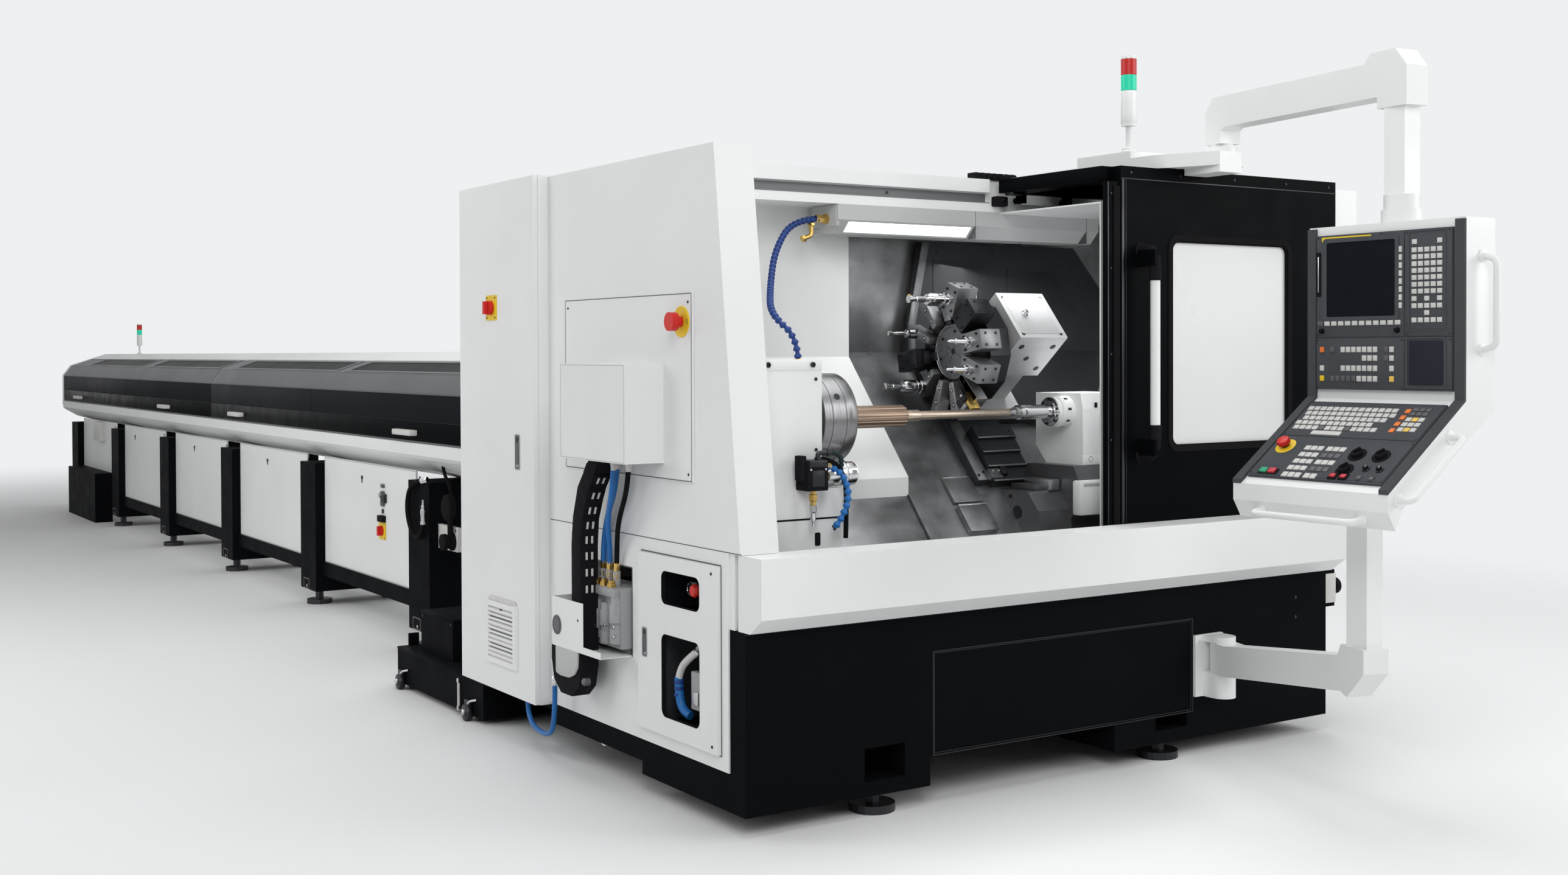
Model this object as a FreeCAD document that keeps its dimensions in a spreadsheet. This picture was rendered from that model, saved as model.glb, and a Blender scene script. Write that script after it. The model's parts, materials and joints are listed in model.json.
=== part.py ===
"""CNC turning lathe with its bar magazine, as a parametric document.

The frame: +X runs along the spindle to the tailstock, +Y runs to the back, +Z is up.
The origin is the middle of the underside of the front left levelling foot.
Formulas below are written from the front left corner of the base on the floor
(machine coordinates), and place() moves them to the origin.
Lengths are in millimetres and angles in degrees.
"""
import FreeCAD, Part
import math
import os
import re
import Sketcher

doc = FreeCAD.newDocument("turning_lathe")

# ---------------------------------------------------------------- driving sizes
SIZES = {
    # origin foot, from the front left corner of the base
    "foot_x": 550, "foot_y": 75,
    # base
    "base_len": 2785, "base_depth": 1425, "base_bottom": 68, "base_top": 660,
    "left_leg": 742, "right_leg": 1604, "arch_z": 172, "side_arch_y": 690, "side_arch_z": 115,
    "recess_x": 758, "recess_len": 1252, "recess_z": 174, "recess_high": 349, "recess_deep": 12,
    "panel_gap": 3, "pocket_wide": 168, "pocket_high": 112, "pocket_z": 118, "pocket_deep": 150,
    "trough_x": 560, "trough_len": 1600, "trough_y": 90, "trough_wide": 500, "trough_deep": 150,
    "outrigger_len": 560, "outrigger_deep": 540, "outrigger_z": 120,
    # levelling feet
    "pad_r": 79, "pad_high": 28, "stem_r": 26, "foot_pitch": 1350, "foot_back": 1200,
    # sill along the front
    "sill_front": 100, "sill_back": 40, "sill_top": 904, "sill_edge": 712, "sill_under": 30,
    # left end wall and its pillar
    "wall_skin": 6, "wall_thick": 60, "wall_low": 195, "wall_front_low": 92, "wall_top": 2235,
    "lean_low": 16, "lean_high": 174, "pillar_wide": 140, "pillar_deep": 150,
    "door_y": 138, "door_wide": 539, "door_z": 245, "door_high": 613, "door_thick": 16,
    "pane_y": 246, "pane_wide": 262, "pane_low_z": 308, "pane_low_high": 286,
    "pane_top_z": 694, "pane_top_high": 116, "niche_deep": 150,
    # panel and cover box on the end wall
    "access_y": 306, "access_wide": 959, "access_z": 1120, "access_high": 631, "access_thick": 8,
    "cbox_y": 500, "cbox_wide": 500, "cbox_z": 1175, "cbox_high": 338, "cbox_deep": 150,
    # electrical cabinet behind the end wall
    "cab_y": "=base_depth + cab_gap", "cab_gap": 5, "cab_wide": 740, "cab_low": 186, "cab_top": 2240,
    "cab_proud": 70, "cab_deep": 760,
    "cab_door": 20, "vent_y": 1590, "vent_wide": 292, "vent_z": 298, "vent_high": 252,
    "vent_proud": 14, "vent_slot": 9, "vent_pitch": 18,
    # sheet walls of the enclosure
    "sheet": 6, "right_wall_x": "=base_len - right_bay", "right_bay": 225,
    "side_reach": 340, "side_gap": 6, "side_box_end": "=base_len + side_reach", "side_box_low": 920,
    "side_box_top": 2226, "side_box_deep": 480,
    "fixed_front_y": 118, "fixed_front_x": "=leaf_x - 38",
    "seam": 0.3,
    # header beam and lamp
    "header_y": 695, "header_deep": 60, "header_top": 2245, "band_high": 56, "groove_high": 37,
    "groove_deep": 30, "low_band_high": 38, "band_end_x": "=leaf_x - seal_wide - 33",
    "lamp_x": 850, "lamp_end": 2190, "lamp_low": 2005, "lamp_front": 2055, "lamp_run": 50,
    "lamp_deep": 180,
    "lens_x": 905, "lens_len": 600,
    # spindle line and slant
    "spindle_y": 390, "spindle_z": 1317, "slant": 49.6, "bed_n": 255, "cover_end_x": 1050,
    "cover_low_u": 95, "cover_high_u": 501, "cover_drop": 85, "way_n": 298, "way_low_u": 460,
    "way_high_u": 560, "bed_under": 45,
    # headstock, chuck and work
    "head_x": 140, "head_len": 295, "head_y": 200, "head_deep": 390, "head_top": 1500,
    "head_low": 1190, "column_deep": 215,
    "column_x": 200, "column_len": 318, "column_y": 200, "column_top": 1085,
    "valve_x": 330, "valve_len": 80, "valve_z": 1088, "valve_high": 96, "valve_proud": 70,
    "probe_len": 165, "probe_r": 41, "probe_z": 1130, "probe_y": 246,
    "nose_r": 80, "nose_len": 60, "fit": 0.05,
    "chuck_x": 470, "chuck_len": 140, "chuck_r": 140, "chuck_bore_r": 45,
    "chuck_bore": 60, "jaw_count": 3, "jaw_high": 38, "jaw_wide": 42, "jaw_len": 80, "jaw_gap": 0.3,
    "work_x": "=chuck_x + chuck_len - chuck_bore", "work_r1": 40.5, "work_x1": 922, "work_r2": 21,
    "work_x2": 997,
    "work_r3": 16.25, "work_end": 1429,
    # turret
    "turret_u": 310, "disc_x": 1340, "disc_len": 100, "disc_r": 205, "cap_r": 107, "cap_len": 16,
    "station_count": 12, "slot_wide": 46, "slot_deep": 26, "slot_in": 120,
    "wedge_r0": 118, "wedge_r1": 268, "wedge_len": 78, "wedge_thick": 40, "tip_clear": 2,
    "bar_r": 12, "bar_len": 90, "sleeve_r": 22, "sleeve_len": 80, "bar_circle": 222,
    "house_x": 1460, "house_len": 240, "house_u": 115, "house_front": 215, "house_back": 200,
    "drum_r": 150, "stem_front": -15, "stem_in": 32,
    # saddle and its guards
    "saddle_x": 1375, "saddle_low_u": 125, "saddle_high_u": 540, "saddle_thick": 30,
    "saddle_lift": 0.3, "strip_wide": 75, "shelf_u": 172, "shelf_x": 2280, "shelf_end_u": 310,
    "wing_x": 2440, "wing_u": 470, "rib_pitch": 62, "rib_count": 4, "rib_step": 11,
    "guard_end_x": 1645, "shield_x": 1356, "shield_end": 2510, "shield_low": 1540,
    "shield_top": 2002, "shield_lean": 73, "shield_corner_x": 2279, "shield_corner_z": 1745,
    "shield_y": 945, "shield_thick": 20,
    # tailstock
    "tail_x": 1720, "tail_len": 260, "tail_front": 290, "tail_deep": 270, "tail_low": 1110,
    "tail_top": 1388, "quill_r": 28, "quill_x": 1478, "quill_end": 1890, "quill_travel": 60, "ring_r": 61,
    "ring_len": 60, "flange_r": 56, "flange_len": 22, "centre_r": 22, "centre_len": 20,
    "cone_r": 14, "tail_base_over": 60, "tail_step_over": 220, "tail_step_top": 1013,
    # sliding door
    "leaf_inset": 1097, "leaf_x": "=base_len - leaf_inset", "leaf_len": 1217, "leaf_y": 50,
    "leaf_thick": 45, "leaf_low": 815,
    "leaf_top": 2245, "canopy_high": 56, "canopy_back": 685, "seal_wide": 60, "seal_thick": 26,
    "pane_x": "=leaf_x + 262", "pane_len": 670, "pane_z": 1180, "pane_high": 800, "pane_thick": 10,
    "grip_x": "=leaf_x + 102", "grip_z": 1170, "grip_high": 750, "grip_r": 17, "grip_out": 75,
    "roller_r": 14, "roller_len": 20,
    # roof plinth and signal tower
    "plinth_x": 1905, "plinth_len": 280, "plinth_y": 220, "plinth_end": 518, "plinth_top": 2330,
    "plinth_z": 2250, "plinth_high": 52, "apron_drop": 26, "neck_end": 900, "neck_high": 40,
    "arm_post_r": 46,
    "tower_x": 1938, "tower_y": 262, "tower_pole_r": 12, "tower_pole": 104, "tower_r": 30,
    "tower_body": 136, "lens_high": 62, "tower_cap": 12, "tower_foot_r": 28, "tower_foot": 14,
    "mag_tower_y": 12710,
    # swing arm and pendant
    "arm_x": 2105, "arm_y": -66, "upper_angle": -99.06, "upper_reach": 920, "arm_wide": 92,
    "lower_angle": -109.4, "lower_reach": 948, "post_top": 1265, "post_slack": 3,
    "arm_pivot_r": 46, "arm_top": 2512, "arm_under": 2395, "head_top_z": 2545, "head_half": 66,
    "low_arm_top": 438, "low_arm_under": 322, "low_rise": 102, "tube_half": 40,
    "bracket_high": 235, "bracket_top": 462, "ear": 22,
    "panel_wide": 605, "panel_top": 1970, "panel_knee": 1390, "panel_lip": 1115, "panel_low": 1003,
    "panel_front": 90, "panel_reach": 470, "panel_back": 60, "back_knee": 1356, "heel": 400,
    "bumper_wide": 34, "bumper_thick": 10, "screen_low": 1420, "screen_high": 520, "screen_thick": 12,
    "screen_wide": 524, "keys_thick": 10, "keys_margin": 28, "handle_wide": 26, "handle_thick": 22,
    "handle_out": 62,
    "stop_r": 21, "stop_high": 17, "stop_stem_r": 12, "stop_stem": 14, "stop_base_r": 33,
    "stop_travel": 6,
    # bar magazine behind the lathe
    "mag_y": 3000, "mag_end": 13900, "mag_x": 375, "mag_back": 1130, "mag_low": 880, "mag_rail": 1000,
    "mag_shoulder": 1350, "mag_bend": 1446, "mag_top": 1560, "mag_top_x": 786, "mag_bend_x": 447,
    "mag_seam": 1205, "mag_rail_top": 1080, "mag_split": 8030, "lid_inset": 12, "lid_gap": 4,
    "post_y": 3760, "post_pitch": 1900, "post_count": 6, "post_wide": 300, "post_x": 400,
    "post_deep": 620, "post_low": 90, "beam_low": 190, "beam_high": 85, "skirt_z": 275,
    "end_box_y": 11900, "end_box_len": 1300, "end_box_high": 455, "end_box_x": 300,
    "skirt_high": 650, "skirt_thick": 6, "mag_foot_x": 470,
    # switches
    "switch_y": 1831, "switch_z": 1736, "switch_plate": 100, "switch_r": 29, "switch_out": 34,
    "switch_bar": 15, "mag_switch_y": 4610, "mag_switch_z": 556,
    "wall_stop_y": 372, "wall_stop_z": 1655, "panel_stop_side": 206, "panel_stop_up": 151.5,
    # service niche, tray, drag chain and hoses on the end wall
    "niche_y": 749, "niche_wide": 311, "niche_z": 475, "niche_high": 314, "niche_in": 100,
    "tray_out": 128, "tray_len": 391, "tray_high": 180, "tray_thick": 3, "tray_open": 138,
    "chain_x": -122, "chain_thick": 70, "chain_y": 925, "chain_link": 73, "chain_loop": 172,
    "block_y": 762, "block_wide": 245, "block_z": 500, "block_high": 216, "block_out": 42,
    "block_deep": 120, "nipple_x": -25, "nipple_r": 14, "nipple_high": 55, "hose_r": 10, "coupling_r": 13,
    "coupling_z": 295, "coupling_high": 136, "coupling_y": 1255, "segment_r": 13,
    # coolant tank by the magazine
    "tank_x": -50, "tank_gap": 565, "tank_y": "=base_depth + tank_gap", "tank_len": 1010,
    "tank_wide": 600, "tank_z": 25, "tank_high": 161,
    "pump_y": "=tank_y + 470", "pump_len": 380, "pump_x": 5, "pump_wide": 330, "pump_top": 372,
}

sheet = doc.addObject("Spreadsheet::Sheet", "Sizes")
for row, (alias, value) in enumerate(SIZES.items(), 1):
    sheet.set("A%d" % row, alias.replace("_", " "))
    sheet.set("B%d" % row, str(value))
    sheet.setAlias("B%d" % row, alias)
doc.recompute()

ALIAS = re.compile(r"\b(" + "|".join(sorted(SIZES, key=len, reverse=True)) + r")\b")
PLAIN = {"cos": lambda a: math.cos(math.radians(a)), "sin": lambda a: math.sin(math.radians(a)),
         "tan": lambda a: math.tan(math.radians(a))}


def cell(alias):
    """The sheet's present value of one size."""
    return float(sheet.get(alias))


def formula(text):
    """A formula on the sheet's cells, as the expression engine reads it."""
    text = re.sub(r"\b(cos|sin|tan)\(([^()]*)\)", r"\1((\2) * 1deg)", str(text))
    return ALIAS.sub(r"Sizes.\1", text)


def bind(thing, prop, text):
    """Ties one property to a formula on the sheet."""
    thing.setExpression(prop, formula(text))


def number(text):
    """The present value of a formula, for a first guess before the sheet drives it."""
    holder = doc.getObject("Probe") or doc.addObject("App::FeaturePython", "Probe")
    if not hasattr(holder, "Value"):
        holder.addProperty("App::PropertyFloat", "Value")
    holder.setExpression("Value", formula(text))
    holder.recompute()
    value = holder.Value
    holder.setExpression("Value", None)
    return value


def place(thing, x, y, z):
    """Puts a thing's own origin at a point in machine coordinates."""
    bind(thing, "Placement.Base.x", "(%s) - foot_x" % x)
    bind(thing, "Placement.Base.y", "(%s) - foot_y" % y)
    bind(thing, "Placement.Base.z", z)


def turn(thing, axis, angle):
    """Turns a thing about an axis through its own origin by an angle in degrees."""
    thing.Placement = FreeCAD.Placement(FreeCAD.Vector(), FreeCAD.Rotation(FreeCAD.Vector(*axis), 30))
    bind(thing, "Placement.Rotation.Angle", angle)


def box(name, x, y, z, dx, dy, dz):
    """A block from its low corner."""
    block = doc.addObject("Part::Box", name)
    bind(block, "Length", dx)
    bind(block, "Width", dy)
    bind(block, "Height", dz)
    place(block, x, y, z)
    return block


AXIS_TURN = {"X": ((0, 1, 0), 90), "Y": ((1, 0, 0), -90), "Z": ((0, 0, 1), 0)}


def rod(name, axis, x, y, z, radius, length):
    """A cylinder along X, Y or Z from the middle of its low end."""
    thing = doc.addObject("Part::Cylinder", name)
    direction, angle = AXIS_TURN[axis]
    thing.Placement = FreeCAD.Placement(FreeCAD.Vector(),
                                        FreeCAD.Rotation(FreeCAD.Vector(*direction), angle))
    bind(thing, "Radius", radius)
    bind(thing, "Height", length)
    place(thing, x, y, z)
    return thing


def upright_prism(name, sides, x, y, z, radius, length):
    """An upright regular prism, such as a hexagonal nut, from the middle of its low end."""
    nut = doc.addObject("Part::Prism", name)
    nut.Polygon = sides
    bind(nut, "Circumradius", radius)
    bind(nut, "Height", length)
    place(nut, x, y, z)
    return nut


def fluted(name, axis, sides, x, y, z, radius, length):
    """A rod with flats along X, Y or Z from the middle of its low end."""
    thing = doc.addObject("Part::Prism", name)
    direction, angle = AXIS_TURN[axis]
    thing.Placement = FreeCAD.Placement(FreeCAD.Vector(),
                                        FreeCAD.Rotation(FreeCAD.Vector(*direction), angle))
    thing.Polygon = sides
    bind(thing, "Circumradius", radius)
    bind(thing, "Height", length)
    place(thing, x, y, z)
    return thing


def tapered(name, x, low_radius, high_radius, length):
    """A taper with twelve flats along X on the spindle line: three square tapers crossed."""
    pieces = []
    lay_along_x = FreeCAD.Rotation(FreeCAD.Vector(0, 0, 1), -90)
    for i in range(3):
        wedge = doc.addObject("Part::Wedge", "%s_%d" % (name, i))
        spin = FreeCAD.Rotation(FreeCAD.Vector(1, 0, 0), 30 * i)
        wedge.Placement = FreeCAD.Placement(FreeCAD.Vector(), spin.multiply(lay_along_x))
        for prop, value in (("Ymin", "0"), ("Ymax", length),
                            ("Xmin", "-" + low_radius), ("Xmax", low_radius),
                            ("Zmin", "-" + low_radius), ("Zmax", low_radius),
                            ("X2min", "-" + high_radius), ("X2max", high_radius),
                            ("Z2min", "-" + high_radius), ("Z2max", high_radius)):
            setattr(wedge, prop, number(value))
            bind(wedge, prop, value)
        place(wedge, x, "spindle_y", "spindle_z")
        pieces.append(wedge)
    result = doc.addObject("Part::MultiCommon", name)
    result.Shapes = pieces
    return result


HOSE_SIDES = 6


def ring_wire(centre, direction, radius):
    """A closed ring of flats about a direction."""
    along = FreeCAD.Vector(direction).normalize()
    across = along.cross(FreeCAD.Vector(0, 1, 0)).normalize()
    up = along.cross(across)
    corners = []
    for i in range(HOSE_SIDES + 1):
        angle = 2 * math.pi * (i % HOSE_SIDES) / HOSE_SIDES
        corners.append(centre + across * (radius * math.cos(angle)) + up * (radius * math.sin(angle)))
    return Part.makePolygon(corners)


def hose(name, points, radius):
    """A tube through points: straight runs joined by tangent arcs as large as the runs allow."""
    shift = FreeCAD.Vector(cell("foot_x"), cell("foot_y"), 0)
    spots = [FreeCAD.Vector(*[number(part) for part in point]) - shift for point in points]
    edges, here = [], spots[0]
    for before, corner, after in zip(spots, spots[1:], spots[2:]):
        run_in, run_out = corner - before, after - corner
        bend = run_in.getAngle(run_out)
        setback = 0.45 * min(run_in.Length, run_out.Length)
        start = corner - FreeCAD.Vector(run_in).normalize() * setback
        end = corner + FreeCAD.Vector(run_out).normalize() * setback
        inward = (FreeCAD.Vector(run_out).normalize() - FreeCAD.Vector(run_in).normalize()).normalize()
        arc_r = setback / math.tan(bend / 2)
        middle = corner + inward * (arc_r / math.cos(bend / 2) - arc_r)
        edges.append(Part.LineSegment(here, start).toShape())
        edges.append(Part.Arc(start, middle, end).toShape())
        here = end
    edges.append(Part.LineSegment(here, spots[-1]).toShape())
    path = Part.Wire(edges)
    tube = doc.addObject("Part::Feature", name)
    tube.Shape = path.makePipeShell([ring_wire(spots[0], spots[1] - spots[0], number(radius))],
                                    True, False)
    return tube


PLANE_TURN = {"YZ": ("YZ_Plane", False), "XZ": ("XZ_Plane", True), "XY": ("XY_Plane", False)}


def sketch_on(body, name, plane):
    """An empty sketch on one of the body's own origin planes."""
    sketch = body.newObject("Sketcher::SketchObject", name)
    support = [f for f in body.Origin.OriginFeatures if f.Role == plane][0]
    sketch.AttachmentSupport = [(support, "")]
    sketch.MapMode = "FlatFace"
    return sketch


def outline(sketch, points):
    """A closed polygon whose corners are held by named, sheet-driven dimensions."""
    guess = [(number(a), number(b)) for a, b in points]
    count = len(points)
    for i in range(count):
        start, end = guess[i], guess[(i + 1) % count]
        sketch.addGeometry(Part.LineSegment(FreeCAD.Vector(start[0], start[1], 0),
                                            FreeCAD.Vector(end[0], end[1], 0)), False)
    for i in range(count):
        sketch.addConstraint(Sketcher.Constraint("Coincident", i, 2, (i + 1) % count, 1))
    for i, (across, up) in enumerate(points):
        held = (("DistanceX", "across%d" % i, across, guess[i][0]),
                ("DistanceY", "up%d" % i, up, guess[i][1]))
        for kind, label, text, value in held:
            index = sketch.addConstraint(Sketcher.Constraint(kind, -1, 1, i, 1, value))
            sketch.renameConstraint(index, label)
            bind(sketch, "Constraints." + label, text)


def prism(name, plane, points, start, length):
    """A body padded from a polygon: YZ runs along +X, XZ along +Y and XY along +Z.

    The polygon is in machine coordinates, and start is where the pad begins.
    """
    role, reverse = PLANE_TURN[plane]
    body = doc.addObject("PartDesign::Body", name)
    sketch = sketch_on(body, name + "_profile", role)
    outline(sketch, points)
    pad = body.newObject("PartDesign::Pad", name + "_pad")
    pad.Profile = sketch
    bind(pad, "Length", length)
    pad.Reversed = reverse
    shift = {"YZ": (start, "0", "0"), "XZ": ("0", start, "0"), "XY": ("0", "0", start)}[plane]
    place(body, *shift)
    return body


def cut(name, base, tools):
    """The base with every tool taken away."""
    result = doc.addObject("Part::Cut", name)
    result.Base = base
    result.Tool = tools[0] if len(tools) == 1 else fuse(name + "_tools", tools)
    return result


def fuse(name, shapes):
    """Several shapes joined into one."""
    result = doc.addObject("Part::MultiFuse", name)
    result.Shapes = shapes
    result.Refine = True
    return result


def group(name, shapes):
    """Several like pieces kept as separate solids of one node."""
    result = doc.addObject("Part::Compound", name)
    result.Links = shapes
    return result


NODES = []


def node(label, thing):
    """Registers a finished sub-part under the name of its file."""
    thing.Label = label
    NODES.append(thing)
    return thing


def around(angle, radius, side="0", centre_y="spindle_y", centre_z="spindle_z"):
    """Y and Z of a point at a radius and a sideways offset, at an angle about an X axis."""
    y = "%s + (%s) * cos(%s) - (%s) * sin(%s)" % (centre_y, radius, angle, side, angle)
    z = "%s + (%s) * sin(%s) + (%s) * cos(%s)" % (centre_z, radius, angle, side, angle)
    return y, z


def radial_box(name, angle, x, r, w, dx, dr, dw, centre=("spindle_y", "spindle_z")):
    """A block whose second side runs outward at an angle about an X axis."""
    block = doc.addObject("Part::Box", name)
    turn(block, (1, 0, 0), angle)
    bind(block, "Length", dx)
    bind(block, "Width", dr)
    bind(block, "Height", dw)
    y, z = around(angle, r, w, *centre)
    place(block, x, y, z)
    return block


def slant_box(name, x, u, n, dx, du, dn):
    """A block on the slant bed: u runs up the bed and n stands off it, from the spindle line."""
    return radial_box(name, "slant", x, u, n, dx, du, dn)


# ---------------------------------------------------------------- base, feet and sill
def make_base():
    """The welded base with its arches, foot pockets, chip trough and cabinet outrigger."""
    body = prism("base_block", "XZ", [
        ("0", "base_bottom"), ("left_leg", "base_bottom"), ("left_leg", "arch_z"),
        ("right_leg", "arch_z"), ("right_leg", "base_bottom"), ("base_len", "base_bottom"),
        ("base_len", "base_top"), ("0", "base_top")], "0", "base_depth")
    tools = [
        box("recess", "recess_x", "-1", "recess_z", "recess_len", "recess_deep + 1", "recess_high"),
        box("trough", "trough_x", "trough_y", "base_top - trough_deep",
            "trough_len", "trough_wide", "trough_deep + 1"),
        box("side_arch", "-1", "side_arch_y", "0", "201", "base_depth", "side_arch_z"),
        box("window_niche", "-1", "pane_y - 20", "pane_low_z - 20", "niche_deep + 1",
            "pane_wide + 40", "base_top - pane_low_z + 21"),
        box("valve_niche", "-1", "niche_y", "niche_z", "niche_in + 1", "niche_wide",
            "base_top - niche_z + 1")]
    for i, centre in enumerate(("foot_x", "foot_x + foot_pitch")):
        tools.append(box("foot_pocket_%d" % i, "%s - pocket_wide / 2" % centre, "-1", "pocket_z",
                         "pocket_wide", "pocket_deep + 1", "pocket_high"))
    block = cut("base_cut", body, tools)
    outrigger = box("outrigger", "90", "base_depth", "outrigger_z",
                    "outrigger_len", "outrigger_deep", "cab_low - outrigger_z")
    outlet = box("outlet_box", "base_len - 1", "25", "500", "86", "90", "150")
    return node("base_frame", fuse("base_frame", [block, outrigger, outlet]))


def make_base_cover():
    """The removable cover that sits in the recess of the base's front."""
    return node("base_front_cover", box(
        "base_front_cover", "recess_x + panel_gap", "recess_deep / 3", "recess_z + panel_gap",
        "recess_len - 2 * panel_gap", "recess_deep * 2 / 3", "recess_high - 2 * panel_gap"))


def levelling_foot(name, x, y, top):
    """One round pad and the hexagonal stud that carries the machine."""
    return fuse(name, [
        upright_prism(name + "_pad", 20, x, y, "0", "pad_r", "pad_high"),
        upright_prism(name + "_stud", 6, x, y, "pad_high - 1", "stem_r", "%s - pad_high + 1" % top)])


def magazine_foot(name, x, y, top):
    """One turned pad with its flats, and the stud under a magazine post."""
    return fuse(name, [
        upright_prism(name + "_pad", 10, x, y, "0", "pad_r", "pad_high"),
        upright_prism(name + "_stud", 6, x, y, "pad_high - 1", "stem_r", "%s - pad_high + 1" % top)])


def make_feet():
    """Levelling feet of the lathe and of the bar magazine."""
    feet = []
    for i in range(2):
        for j in range(2):
            x = "foot_x + %d * foot_pitch" % i
            y = "foot_y + %d * foot_back" % j
            feet.append(levelling_foot("lathe_foot_%d%d" % (i, j), x, y, "base_bottom"))
    for i in range(int(cell("post_count"))):
        y = "post_y + %d * post_pitch + post_wide / 2" % i
        for j, x in enumerate(("mag_foot_x", "post_x + post_deep - 70")):
            feet.append(magazine_foot("post_foot_%d%d" % (i, j), x, y, "post_low"))
    return node("levelling_feet", group("levelling_feet", feet))


def make_sill():
    """The folded white sill along the whole front."""
    return node("front_sill", prism("front_sill", "YZ", [
        ("-sill_front", "sill_edge"), ("-sill_under", "base_top"), ("sill_back", "base_top"),
        ("sill_back", "sill_top"), ("-sill_front", "sill_top")], "0", "base_len"))


# ---------------------------------------------------------------- enclosure
def make_end_wall():
    """The white left end wall, with its leaning front pillar."""
    upper = prism("wall_upper", "YZ", [
        ("lean_low", "sill_top + 1"), ("cab_y - 1", "sill_top + 1"), ("cab_y - 1", "wall_top"),
        ("lean_high", "wall_top")], "-wall_skin", "wall_skin + wall_thick")
    pillar = prism("wall_pillar", "YZ", [
        ("lean_low", "sill_top + 1"), ("lean_low + pillar_deep", "sill_top + 1"),
        ("lean_high + pillar_deep", "wall_top"), ("lean_high", "wall_top")], "0", "pillar_wide")
    lower = box("wall_lower", "-wall_skin", "wall_front_low", "wall_low",
                "wall_skin", "cab_y - 1 - wall_front_low", "sill_top + 1 - wall_low")
    stand = box("wall_stand", "0", "sill_back + 20", "base_top",
                "wall_thick", "cab_y - 1 - sill_back - 20", "sill_top + 1 - base_top")
    whole = fuse("wall_whole", [upper, pillar, lower, stand])
    opening = box("wall_opening", "-wall_skin - 1", "pane_y - 20", "pane_low_z - 20",
                  "wall_thick + wall_skin + 2", "pane_wide + 40",
                  "pane_top_z + pane_top_high - pane_low_z + 40")
    niche = box("wall_niche", "-wall_skin - 1", "niche_y", "niche_z",
                "niche_in + wall_skin + 1", "niche_wide", "niche_high")
    return node("end_wall", cut("end_wall", whole, [opening, niche]))


def make_service_door():
    """The hinged door with two windows, low on the end wall."""
    leaf = box("service_leaf", "-wall_skin - 0.5 - door_thick", "door_y", "door_z",
               "door_thick", "door_wide", "door_high")
    panes = [box("service_pane_%d" % i, "-wall_skin - door_thick - 2", "pane_y", low,
                 "door_thick + 4", "pane_wide", high)
             for i, (low, high) in enumerate((("pane_low_z", "pane_low_high"),
                                              ("pane_top_z", "pane_top_high")))]
    return node("service_door", cut("service_door", leaf, panes))


def make_access_panel():
    """The large screwed panel on the end wall."""
    plate = box("access_plate", "-wall_skin - access_thick", "access_y", "access_z",
                "access_thick", "access_wide", "access_high")
    seat = rod("stop_seat", "X", "-wall_skin - access_thick - 4", "wall_stop_y", "wall_stop_z",
               "stop_base_r * 1.5", "5")
    hole = rod("stop_hole", "X", "-wall_skin - access_thick - 5", "wall_stop_y", "wall_stop_z",
               "stop_stem_r * 1.5 + seam", "stop_travel + 2")
    return node("access_panel", cut("access_panel", fuse("access_whole", [plate, seat]), [hole]))


def make_wall_stop():
    """Mushroom button of the emergency stop on the access panel."""
    face = "-wall_skin - access_thick - 4.3"
    stem = fluted("wall_stop_stem", "X", 12, face + " - stop_stem * 1.5", "wall_stop_y", "wall_stop_z",
               "stop_stem_r * 1.5", "stop_stem * 1.5")
    head = fluted("wall_stop_head", "X", 36, face + " - stop_stem * 1.5 - stop_high * 1.5",
               "wall_stop_y", "wall_stop_z", "stop_r * 1.5", "stop_high * 1.5 + 1")
    return node("wall_stop", fuse("wall_stop", [stem, head]))


def make_cover_box():
    """The folded cover over the cable outlet, open below."""
    outer = box("cover_outer", "-wall_skin - access_thick - cbox_deep", "cbox_y", "cbox_z",
                "cbox_deep", "cbox_wide", "cbox_high")
    inner = box("cover_inner", "-wall_skin - access_thick - cbox_deep + 3", "cbox_y + 3",
                "cbox_z - 1", "cbox_deep - 2", "cbox_wide - 6", "cbox_high - 2")
    return node("cover_box", cut("cover_box", outer, [inner]))


ROOF = "(header_top - band_high - groove_high - low_band_high)"


def make_rear_enclosure():
    """Rear wall, roof and the header beam that the door runs on."""
    end = "base_len - sheet - seam"
    rear = box("rear_wall", "wall_thick + seam", "base_depth - sheet", "base_top",
               end + " - wall_thick - seam", "sheet", ROOF + " - base_top")
    roof = box("roof", "wall_thick + seam", "header_y + header_deep - 1", ROOF,
               end + " - wall_thick - seam", "base_depth - header_y - header_deep + 1", "sheet")
    beam = box("header_low", "wall_thick + seam", "header_y", ROOF,
               end + " - wall_thick - seam", "header_deep", "low_band_high")
    web = box("header_web", "wall_thick + seam", "header_y + groove_deep",
              "header_top - band_high - groove_high - 1", end + " - wall_thick - seam",
              "header_deep - groove_deep", "groove_high + band_high + 1")
    band = box("header_band", "wall_thick + seam", "header_y", "header_top - band_high",
               "band_end_x - wall_thick", "groove_deep + 1", "band_high")
    return node("rear_enclosure", fuse("rear_enclosure", [rear, roof, beam, web, band]))


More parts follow.
